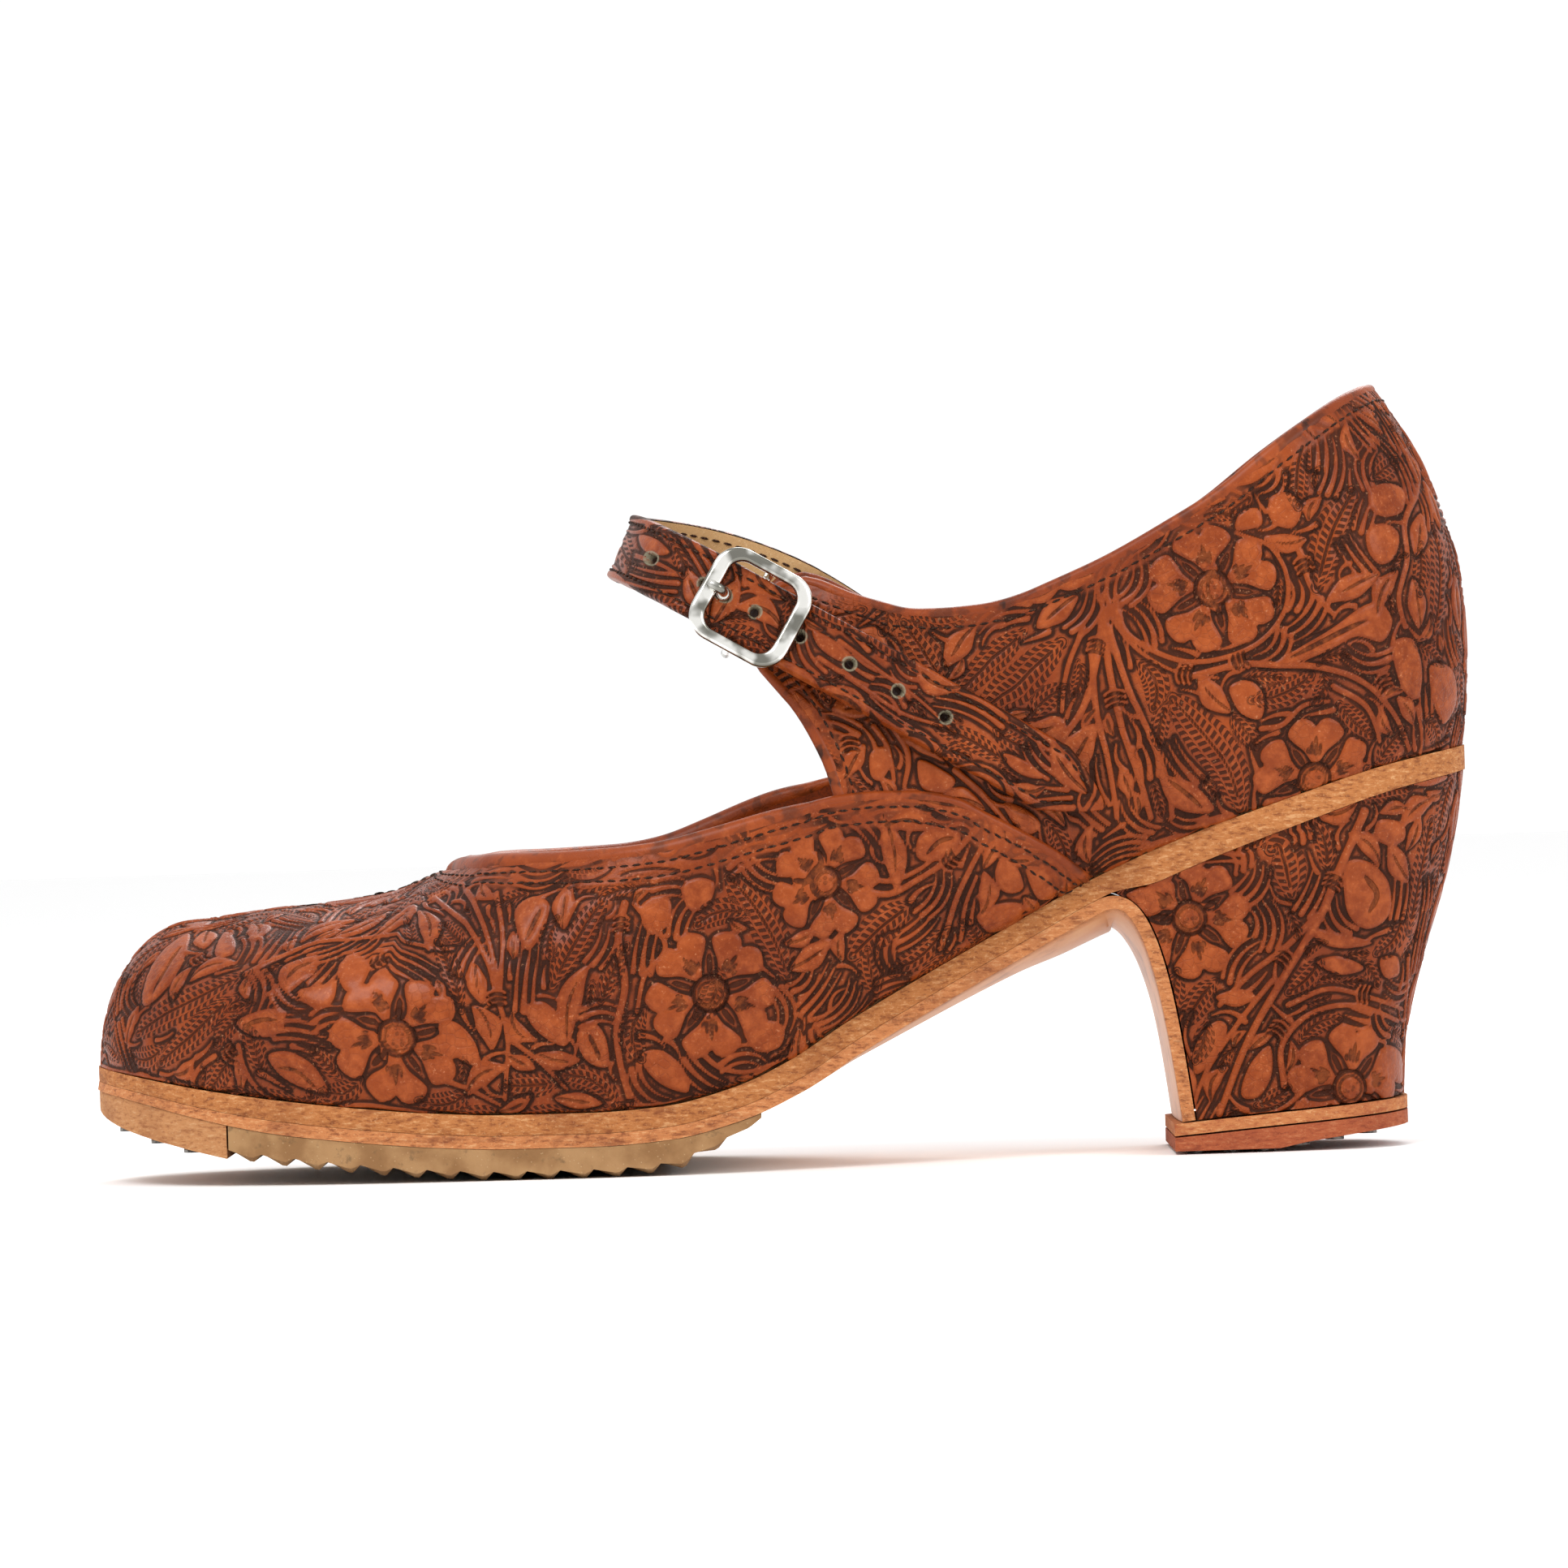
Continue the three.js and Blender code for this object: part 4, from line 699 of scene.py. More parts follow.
# %% flattening
def flattened(grid, columns, rows, rounds=30):
    """Flat places, in millimetres, for the points of a grid on a curved surface."""
    i, j = (np.linspace(0, n - 1, m).round().astype(int) for n, m in zip(grid.shape, (columns, rows)))
    coarse = grid[np.ix_(i, j)]
    first, number = welded(coarse)
    points = coarse.reshape(-1, 3)[first]
    quads = quads_of(number)
    triangles = np.concatenate([quads[:, [0, 1, 2]], quads[:, [0, 2, 3]]])
    a, b, c = (points[triangles[:, k]] for k in range(3))
    area = np.linalg.norm(np.cross(b - a, c - a), axis=1) / 2
    good = area > 1e-3
    triangles, a, b, c, area = triangles[good], a[good], b[good], c[good], area[good]
    side = b - a
    length = np.linalg.norm(side, axis=1)
    along = np.einsum("ij,ij->i", c - a, side) / length
    flat = np.zeros((len(triangles), 3, 2))
    flat[:, 1, 0] = length
    flat[:, 2, 0] = along
    flat[:, 2, 1] = 2 * area / length
    # First a conformal map: two points are held and the rest settle by least squares
    n = len(points)
    system = np.zeros((2 * len(triangles), 2 * n))
    row = np.arange(len(triangles))
    for k in range(3):
        edge = flat[:, (k + 2) % 3] - flat[:, (k + 1) % 3]
        w = edge / np.sqrt(2 * area)[:, None]
        np.add.at(system, (row, triangles[:, k]), w[:, 0])
        np.add.at(system, (row, n + triangles[:, k]), -w[:, 1])
        np.add.at(system, (len(triangles) + row, triangles[:, k]), w[:, 1])
        np.add.at(system, (len(triangles) + row, n + triangles[:, k]), w[:, 0])
    middle = coarse.shape[0] // 2
    low, high = number[middle, 0], number[middle, -1]
    span = np.linalg.norm(np.diff(coarse[middle], axis=0), axis=1).sum()
    fixed = np.array([low, n + low, high, n + high])
    values = np.array([0.0, 0.0, 0.0, span])
    free = np.setdiff1d(np.arange(2 * n), fixed)
    normal = system[:, free].T @ system[:, free]
    pull = -system[:, free].T @ (system[:, fixed] @ values)
    uv = np.zeros(2 * n)
    uv[free] = np.linalg.solve(normal + 1e-9 * np.eye(len(free)), pull)
    uv[fixed] = values
    uv = uv.reshape(2, n).T
    # Then each triangle is turned to its best place, again and again, so that lengths are kept
    laplace = np.zeros((n, n))
    weights = []
    for k in range(3):
        p, q, r = flat[:, k], flat[:, (k + 1) % 3], flat[:, (k + 2) % 3]
        dot = np.einsum("ij,ij->i", p - r, q - r)
        cross = np.abs((p - r)[:, 0] * (q - r)[:, 1] - (p - r)[:, 1] * (q - r)[:, 0])
        weight = np.clip(dot / cross, 0.05, 20)
        weights.append(weight)
        x, y = triangles[:, k], triangles[:, (k + 1) % 3]
        for a, b, share in ((x, x, weight), (y, y, weight), (x, y, -weight), (y, x, -weight)):
            np.add.at(laplace, (a, b), share)
    laplace[low, low] += 1
    inverse = np.linalg.inv(laplace)
    for _ in range(rounds):
        turn = np.zeros((len(triangles), 2))
        for k in range(3):
            was = flat[:, (k + 1) % 3] - flat[:, k]
            now = uv[triangles[:, (k + 1) % 3]] - uv[triangles[:, k]]
            turn[:, 0] += weights[k] * (was * now).sum(1)
            turn[:, 1] += weights[k] * (was[:, 0] * now[:, 1] - was[:, 1] * now[:, 0])
        turn /= np.linalg.norm(turn, axis=1, keepdims=True)
        wanted = np.zeros((n, 2))
        wanted[low] = uv[low]
        for k in range(3):
            was = flat[:, (k + 1) % 3] - flat[:, k]
            turned_x = turn[:, 0] * was[:, 0] - turn[:, 1] * was[:, 1]
            turned_y = turn[:, 1] * was[:, 0] + turn[:, 0] * was[:, 1]
            pull = weights[k][:, None] * np.stack([turned_x, turned_y], 1)
            np.add.at(wanted, triangles[:, (k + 1) % 3], pull)
            np.add.at(wanted, triangles[:, k], -pull)
        uv = inverse @ wanted
    chart = uv[number]
    made = np.empty((*grid.shape[:2], 2))
    rows_at = np.arange(grid.shape[1])
    columns_at = np.arange(grid.shape[0])
    for d in range(2):
        across = np.stack([np.interp(rows_at, j, line) for line in chart[..., d]])
        made[..., d] = np.stack([np.interp(columns_at, i, line) for line in across.T], axis=1)
    stretch = np.sqrt(area.sum() / max(area_of(uv, triangles), 1e-9))
    spans = np.round(np.ptp(made.reshape(-1, 2), axis=0))
    print("chart spans", spans, "mm, mean stretch", round(float(stretch), 3))
    return made


def area_of(uv, triangles):
    a, b, c = (uv[triangles[:, k]] for k in range(3))
    return abs(((b - a)[:, 0] * (c - a)[:, 1] - (b - a)[:, 1] * (c - a)[:, 0]).sum()) / 2


vamp_chart = flattened(vamp_grid, 41, 13)
quarter_chart = flattened(quarter_grid, 41, 13)

# %% [markdown]
# ## The pressed pattern
# The leather carries the flowers, ferns, scroll leaves and stems of western tooling. A motif is drawn
# once, from a few points read off the photograph, laid on the flat chart, and drawn again on the
# other side of the shoe. Each drawing gives the distance to its outline. A distance can be bent into
# a height for the mesh and into a crisp dark line for the dye, however coarse the grid is.


# %% drawing on a chart
PIXEL = 0.22  # size of the drawing's squares in millimetres
FAR_OFF = 4.0
FARTHEST_SLIP = 2.0  # a place may lie this far from the nearest point that is seen
FIVE = (-1, -0.5, 0, 0.5, 1)  # places along a short arc


class Sheet:
    """A drawing on the flat chart of one grid."""

    def __init__(self, grid, chart, shown=0.5):
        self.chart = chart
        self.low = chart.reshape(-1, 2).min(0) - 3
        size = np.ceil((chart.reshape(-1, 2).max(0) + 3 - self.low) / PIXEL).astype(int)
        self.shape = np.full(size, FAR_OFF)  # distance outside the raised shapes
        self.cut = np.full(size, FAR_OFF)  # distance outside the lines cut into them
        self.tick = np.zeros(size)  # place along a fern, in ticks
        self.fern = np.full(size, 3.0)  # distance from a fern's rib, 1 at its edge
        self.matted = np.zeros(size)  # stippled ground
        self.taken = np.full(size, FAR_OFF)  # distance outside everything that is drawn
        self.calm = np.zeros(size)  # 1 where the pattern is nearly flattened, along an edge
        first, number = welded(grid)
        normals = normals_of(grid.reshape(-1, 3)[first], quads_of(number))[number]
        middle = grid.shape[0] // 2
        out = normals[: middle // 2].reshape(-1, 3)[:, 1].mean()
        self.outward = normals if out < 0 else -normals
        step = 3
        last = int(grid.shape[0] * shown)
        side = self.outward[:last:step, ::step]
        seen = side[..., 1] < -0.12
        self.seen_photo = to_photo(grid[:last:step, ::step] + SHIFT)[seen]
        self.seen_chart = chart[:last:step, ::step][seen]
        # The chart mirrored across its middle column, for the medial side
        ends = chart[middle, [0, -1]]
        self.axis_at = ends[0]
        axis = ends[1] - ends[0]
        self.axis = axis / np.linalg.norm(axis)

    def place(self, points):
        """Chart places of points of the photograph, fitted to the nearest nine points of the grid."""
        made = []
        for p in np.atleast_2d(np.array(points, float)):
            away = ((self.seen_photo - p) ** 2).sum(1)
            near = np.argsort(away)[:9]
            a = np.concatenate([self.seen_photo[near] - p, np.ones((9, 1))], axis=1)
            at = np.linalg.lstsq(a, self.seen_chart[near], rcond=0.02)[0][2]
            nearest = self.seen_chart[near[0]]
            slip = at - nearest
            far = np.linalg.norm(slip)
            made.append(nearest + slip * FARTHEST_SLIP / far if far > FARTHEST_SLIP else at)
        return np.array(made)

    def mirrored(self, at):
        away = at - self.axis_at
        along = (away @ self.axis)[:, None] * self.axis
        return self.axis_at + 2 * along - away

    def window(self, at, margin):
        """The squares round a line, and their places. There are none where it lies off the drawing."""
        low = np.maximum(((at.min(0) - margin - self.low) / PIXEL).astype(int), 0)
        high = np.minimum(((at.max(0) + margin - self.low) / PIXEL).astype(int) + 1, self.shape.shape)
        high = np.maximum(low, high)
        x, y = (self.low[k] + np.arange(low[k], high[k]) * PIXEL for k in range(2))
        area = (slice(low[0], high[0]), slice(low[1], high[1]))
        return area, np.stack(np.meshgrid(x, y, indexing="ij"), -1)


def lower(field, area, away):
    """A field of distances keeps the smaller of its own and the new ones."""
    field[area] = np.minimum(field[area], away)


def to_line(where, line):
    """Distance from each place to a line of points, and how far along the line the nearest one is."""
    best = np.full(where.shape[:2], 1e9)
    along = np.zeros(where.shape[:2])
    start = 0.0
    for a, b in zip(line[:-1], line[1:]):
        step = b - a
        length = math.hypot(*step)
        if length < 1e-6:
            continue
        t = np.clip(((where - a) @ step) / length**2, 0, 1)
        away = np.hypot(where[..., 0] - a[0] - t * step[0], where[..., 1] - a[1] - t * step[1])
        nearer = away < best
        best = np.where(nearer, away, best)
        along = np.where(nearer, start + t * length, along)
        start += length
    return best, along, start


def inside(where, line):
    """Whether each place is inside a closed line."""
    odd = np.zeros(where.shape[:2], bool)
    x, y = where[..., 0], where[..., 1]
    for a, b in zip(line, np.roll(line, -1, axis=0)):
        if a[1] == b[1]:
            continue
        crosses = (a[1] > y) != (b[1] > y)
        odd ^= crosses & (x < (b[0] - a[0]) * (y - a[1]) / (b[1] - a[1]) + a[0])
    return odd


# %% motifs
def near_line(sheet, at, margin):
    """The squares near a smooth line, with their distance, place and share of the way along it."""
    line = bent(at)
    area, where = sheet.window(line, margin)
    away, along, length = to_line(where, line)
    return area, away, along, along / max(length, 1e-6)


def draw_leaf(sheet, at):
    """A raised shape with a smooth outline."""
    line = bent(at, closed=True)
    area, where = sheet.window(line, 3)
    away = to_line(where, np.concatenate([line, line[:1]]))[0]
    away = np.where(inside(where, line), -away, away)
    lower(sheet.shape, area, away)
    lower(sheet.taken, area, away)


def draw_stem(sheet, at, width, end_width=None):
    """A raised ridge along a line, `width` wide at its start."""
    area, away, _, share = near_line(sheet, at, 3 + width)
    half = mix(width, width if end_width is None else end_width, share) / 2
    lower(sheet.shape, area, away - half)
    lower(sheet.taken, area, away - half)


def draw_cut(sheet, at, width):
    """A line cut into the leather, tapering at its ends."""
    area, away, _, share = near_line(sheet, at, 3)
    half = 0.5 * width * np.minimum(1, 0.35 + 3 * np.minimum(share, 1 - share))
    lower(sheet.cut, area, away - half)
    lower(sheet.taken, area, away)


def draw_fern(sheet, at, width, pitch=1.25):
    """Rows of ticks on both sides of a rib, narrowing to both ends."""
    area, away, along, share = near_line(sheet, at, width + 1)
    half = width / 2 * (0.35 + 0.65 * np.sin(np.clip(share * 1.06, 0, 1) * math.pi) ** 0.6)
    fern = away / half
    nearer = fern < sheet.fern[area]
    sheet.tick[area] = np.where(nearer, along / pitch + 0.9 * fern, sheet.tick[area])
    sheet.fern[area] = np.where(nearer, fern, sheet.fern[area])
    lower(sheet.taken, area, away - half)
    rib = (share > 0.02) & (share < 0.9)
    lower(sheet.cut, area, np.where(rib, away - 0.2, FAR_OFF))


def draw_rings(sheet, at, across):
    """Three beads that bind a stem, at a place and with the stem's direction and width."""
    place, toward = at
    way = toward - place
    way = way / max(math.hypot(*way), 1e-6)
    side = np.array([-way[1], way[0]])
    for k in range(3):
        middle = place + way * (k - 1) * 0.95
        line = np.array([middle + side * across * s / 2 - way * 0.5 * (1 - s * s) for s in FIVE])
        draw_stem(sheet, line, 0.62)
        draw_cut(sheet, line + way * 0.48, 0.5)


PETALS = 5
PETAL = [  # share of half a petal's turn, share of the flower's size
    (-0.3, 0.3), (-0.62, 0.52), (-0.86, 0.72), (-0.9, 0.88), (-0.66, 0.98), (-0.34, 1.02), (-0.12, 0.97),
    (0.0, 0.88), (0.14, 0.96), (0.4, 1.03), (0.72, 0.96), (0.9, 0.86), (0.84, 0.7), (0.6, 0.5), (0.3, 0.3),
]
PETAL_CUTS = ((0.0, 0.4, 0.72), (-0.22, 0.4, 0.6), (0.2, 0.42, 0.62), (0.42, 0.44, 0.54))
BUTTON = 0.27


def draw_flower(sheet, at, size):
    """Notched petals round a ringed button."""
    centre_at, toward = at
    way = toward - centre_at
    turn = math.atan2(way[1], way[0])
    step = 2 * math.pi / PETALS

    def point(angle, reach):
        return centre_at + size * reach * np.array([math.cos(angle), math.sin(angle)])

    for k in range(PETALS):
        middle = turn + k * step
        draw_leaf(sheet, [point(middle + share * step * 0.5, reach) for share, reach in PETAL])
        for share, *ends in PETAL_CUTS:
            draw_cut(sheet, np.array([point(middle + share * step * 0.5, end) for end in ends]), 0.5)
        draw_cut(sheet, np.array([point(middle + 0.5 * step, end) for end in (0.3, 0.62)]), 0.85)
    area, where = sheet.window(np.array([centre_at - size * 0.5, centre_at + size * 0.5]), 0.5)
    away = np.hypot(where[..., 0] - centre_at[0], where[..., 1] - centre_at[1])
    button = BUTTON * size
    lower(sheet.shape, area, away - button)
    sheet.cut[area] = np.where(away < button, FAR_OFF, sheet.cut[area])
    for ring, width in ((button, 0.55), (button * 0.7, 0.35)):
        lower(sheet.cut, area, np.abs(away - ring) - width / 2)
    sheet.matted[area] = np.maximum(sheet.matted[area], np.where(away < button * 0.6, 1.0, 0.0))


DRAW = {
    "leaf": draw_leaf,
    "stem": draw_stem,
    "cut": draw_cut,
    "fern": draw_fern,
    "rings": draw_rings,
    "flower": draw_flower,
}


def draw_all(sheet, motifs, twice=True):
    """Each motif on the side that the photograph shows and on the other side."""
    for kind, size, points in motifs:
        at = sheet.place(points)
        DRAW[kind](sheet, at, *size)
        if twice:
            DRAW[kind](sheet, sheet.mirrored(at), *size)


# %% filling the gaps
def leather_of(sheet):
    """Which squares of the drawing lie on the leather."""
    mask = np.zeros(sheet.shape.shape, bool)
    at = ((sheet.chart.reshape(-1, 2) - sheet.low) / PIXEL).astype(int)
    mask[at[:, 0], at[:, 1]] = True
    for _ in range(2):
        grown = mask.copy()
        for axis in (0, 1):
            for way in (-1, 1):
                grown |= np.roll(mask, way, axis)
        mask = grown
    return mask


MOST_GAPS = 900


def fill_in(sheet, seed, smallest):
    """Leaves, tendrils and ferns in the gaps that are left, the widest gap first."""
    random = np.random.default_rng(seed)
    leather = leather_of(sheet)
    count = 0
    while count < MOST_GAPS:
        room = np.where(leather, sheet.taken, 0)
        spot = np.unravel_index(np.argmax(room), room.shape)
        free = room[spot]
        if free < smallest:
            break
        middle = sheet.low + np.array(spot) * PIXEL
        reach = int(max(free, 1.0) / PIXEL)
        low = np.maximum(np.array(spot) - 2 * reach, 0)
        patch = room[low[0] : spot[0] + 2 * reach, low[1] : spot[1] + 2 * reach]
        i, j = np.nonzero(patch > 0.55 * free)
        spread = np.cov(np.stack([i, j])) if len(i) > 5 else np.eye(2)
        way = np.linalg.eigh(spread)[1][:, 1]
        side = np.array([-way[1], way[0]])
        half = min(4.2, free * random.uniform(1.5, 2.2)) if free < 3.4 else random.uniform(4.0, 6.5)
        bow = random.uniform(-0.45, 0.45) * half
        line = np.array([middle + way * half * s + side * bow * (1 - s * s - 0.5) for s in FIVE])
        shares = [0.34, 0.3, 0.36] if free > 1.6 else [0.2, 0.15, 0.65]
        kind = random.choice(["leaf", "fern", "stem"], p=shares)
        wide = min(free, 2.6)
        if kind == "leaf":
            body = [line[k] + side * wide * s * w for s, ks in ((1, (0, 1, 2, 3)), (-1, (4, 3, 2, 1)))
                    for k, w in zip(ks, (0.1, 0.62, 0.8, 0.5))]
            draw_leaf(sheet, body)
            draw_cut(sheet, line[:4], 0.4)
        elif kind == "fern":
            draw_fern(sheet, line, 1.7 * wide, 1.05)
        else:
            draw_stem(sheet, line, min(1.1, wide * 0.8), 0.35)
            if wide > 1.5:
                draw_stem(sheet, line + side * 1.45, 0.8, 0.3)
                draw_stem(sheet, line - side * 1.45, 0.9, 0.3)
        sheet.taken[spot] = min(sheet.taken[spot], 0)
        count += 1
    print(count, "gaps filled")


# %% [markdown]
# The points are read on enlarged views of the photograph. A view is the corner and the enlargement
# that its points are read at.

# %% motif tables
TOE_VIEW = (60, 1040, 3.136)
VAMP_VIEW = (520, 960, 3.136)
QUARTER_VIEW = (1000, 600, 1.912)
STRAP_VIEW = (740, 600, 2.376)
HEEL_VIEW = (1040, 980, 2.01)


def read_on(view, motifs):
    """Motifs read on an enlarged view, in pixels of the photograph."""
    left, top, enlarged = view
    return [
        (kind, size, [(left + x / enlarged, top + y / enlarged) for x, y in points])
        for kind, *size, points in motifs
    ]


TOE_MOTIFS = read_on(TOE_VIEW, [
    ("flower", 11.0, [(1345, 750), (1150, 790)]),
    ("fern", 5.5, [(340, 735), (480, 640), (620, 570), (770, 495)]),
    ("stem", 1.3, 0.8, [(760, 500), (900, 430), (1070, 370), (1300, 350), (1560, 400)]),
    ("fern", 3.6, [(250, 640), (215, 740), (205, 860)]),
    ("fern", 4.4, [(430, 850), (560, 730), (720, 590)]),
    ("leaf", [(365, 625), (375, 520), (440, 410), (545, 345), (520, 450), (450, 560)]),
    ("cut", 0.6, [(400, 580), (450, 490), (510, 400)]),
    ("leaf", [(1040, 430), (960, 445), (895, 480), (890, 540), (935, 565), (980, 530), (1030, 490)]),
    ("cut", 0.6, [(920, 520), (960, 480), (1020, 455)]),
    ("leaf", [(960, 565), (1000, 620), (1060, 635), (1105, 590), (1110, 520), (1060, 540)]),
    ("leaf", [(720, 690), (780, 655), (860, 635), (912, 645), (905, 705), (860, 745), (780, 740)]),
    ("cut", 0.6, [(760, 700), (820, 680), (880, 680)]),
    ("leaf", [(640, 420), (655, 370), (685, 335), (720, 370), (712, 420), (665, 435)]),
    ("rings", 3.0, [(580, 440), (620, 420)]),
    ("rings", 2.6, [(700, 810), (730, 770)]),
    ("rings", 3.0, [(1270, 450), (1310, 440)]),
    ("leaf", [(845, 822), (900, 800), (960, 815), (1030, 865), (1080, 960), (1000, 950), (900, 900)]),
    ("cut", 0.6, [(880, 860), (960, 880), (1040, 950)]),
    ("stem", 1.0, 0.6, [(640, 820), (570, 880), (560, 940), (640, 980), (760, 960)]),
    ("stem", 1.1, 0.6, [(730, 780), (750, 860), (800, 940), (880, 1000), (1010, 1030)]),
    ("leaf", [(300, 900), (360, 880), (430, 920), (480, 1000), (400, 1010), (330, 970)]),
    ("stem", 0.9, 0.6, [(150, 900), (230, 960), (330, 1040), (460, 1080)]),
    ("stem", 1.1, 0.7, [(1100, 1040), (1220, 1080), (1400, 1090), (1560, 1060)]),
    ("fern", 3.4, [(700, 1060), (860, 1080), (1040, 1110)]),
    ("leaf", [(1120, 470), (1180, 420), (1240, 470), (1200, 560), (1140, 560)]),
    ("fern", 3.6, [(700, 250), (860, 240), (1040, 290)]),
    ("leaf", [(500, 300), (560, 230), (650, 220), (640, 290), (570, 330)]),
])
VAMP_MOTIFS = read_on(VAMP_VIEW, [
    ("flower", 10.5, [(1115, 830), (1000, 680)]),
    ("fern", 5.0, [(700, 460), (610, 600), (500, 800)]),
    ("fern", 3.6, [(790, 640), (740, 740), (690, 860)]),
    ("fern", 6.0, [(1190, 380), (1290, 500), (1370, 640), (1420, 780)]),
    ("stem", 1.4, 1.0, [(782, 480), (758, 620), (784, 800), (752, 960), (766, 1100), (800, 1230)]),
    ("rings", 2.6, [(768, 560), (766, 600)]),
    ("stem", 1.1, 0.7, [(50, 455), (170, 560), (250, 700), (285, 830), (330, 1000), (320, 1240)]),
    ("stem", 1.1, 0.7, [(170, 425), (235, 560), (280, 720), (300, 850)]),
    ("stem", 1.0, 0.7, [(285, 435), (310, 600), (300, 840)]),
    ("rings", 3.0, [(285, 850), (290, 900)]),
    ("leaf", [(360, 500), (430, 450), (490, 480), (470, 580), (410, 660), (370, 600)]),
    ("cut", 0.6, [(400, 620), (430, 560), (460, 500)]),
    ("leaf", [(400, 880), (470, 860), (540, 930), (560, 1030), (490, 1010), (420, 950)]),
    ("leaf", [(600, 980), (660, 940), (710, 1000), (720, 1110), (650, 1100), (610, 1050)]),
    ("cut", 0.6, [(640, 980), (670, 1040), (690, 1090)]),
    ("stem", 0.9, 0.6, [(330, 1000), (450, 1090), (560, 1200)]),
    ("leaf", [(840, 500), (900, 450), (960, 470), (950, 560), (880, 600)]),
    ("leaf", [(1000, 420), (1060, 380), (1130, 400), (1110, 480), (1040, 510)]),
    ("stem", 1.0, 0.7, [(820, 480), (940, 640), (860, 760), (830, 900)]),
    ("leaf", [(850, 1060), (930, 1050), (1010, 1120), (1030, 1210), (940, 1190), (870, 1130)]),
    ("stem", 1.0, 0.6, [(1060, 1040), (1160, 1120), (1270, 1130), (1400, 1080)]),
    ("leaf", [(1240, 960), (1320, 930), (1400, 960), (1380, 1040), (1290, 1050)]),
    ("leaf", [(1450, 290), (1530, 280), (1568, 350), (1540, 460), (1470, 450), (1430, 380)]),
    ("cut", 0.6, [(1470, 420), (1500, 370), (1540, 320)]),
    ("flower", 9.0, [(1560, 400), (1480, 330)]),
    ("fern", 3.4, [(60, 620), (120, 760), (150, 900)]),
    ("leaf", [(60, 960), (130, 940), (200, 1010), (220, 1100), (140, 1080)]),
    ("stem", 1.0, 0.6, [(60, 1160), (180, 1200), (300, 1260)]),
]) + read_on(HEEL_VIEW, [
    ("leaf", [(180, 150), (190, 95), (250, 75), (290, 105), (262, 150), (215, 165)]),
    ("cut", 0.6, [(205, 145), (235, 115), (270, 105)]),
    ("stem", 1.2, 0.9, [(20, 225), (110, 245), (190, 205), (270, 150), (330, 80)]),
    ("stem", 1.0, 0.7, [(40, 200), (120, 212), (200, 175), (250, 130)]),
    ("rings", 3.0, [(262, 162), (285, 140)]),
    ("fern", 6.0, [(20, 400), (90, 330), (170, 270)]),
    ("fern", 5.0, [(120, 440), (190, 400), (260, 330)]),
    ("stem", 1.2, 0.8, [(240, 380), (275, 270), (310, 190), (350, 110)]),
    ("stem", 0.9, 0.6, [(290, 360), (300, 280), (330, 200)]),
    ("leaf", [(375, 190), (395, 150), (430, 180), (445, 230), (415, 245), (385, 230)]),
    ("leaf", [(330, 300), (380, 270), (440, 270), (480, 300), (420, 330), (360, 340)]),
    ("leaf", [(450, 180), (500, 185), (540, 220), (560, 260), (500, 250)]),
])
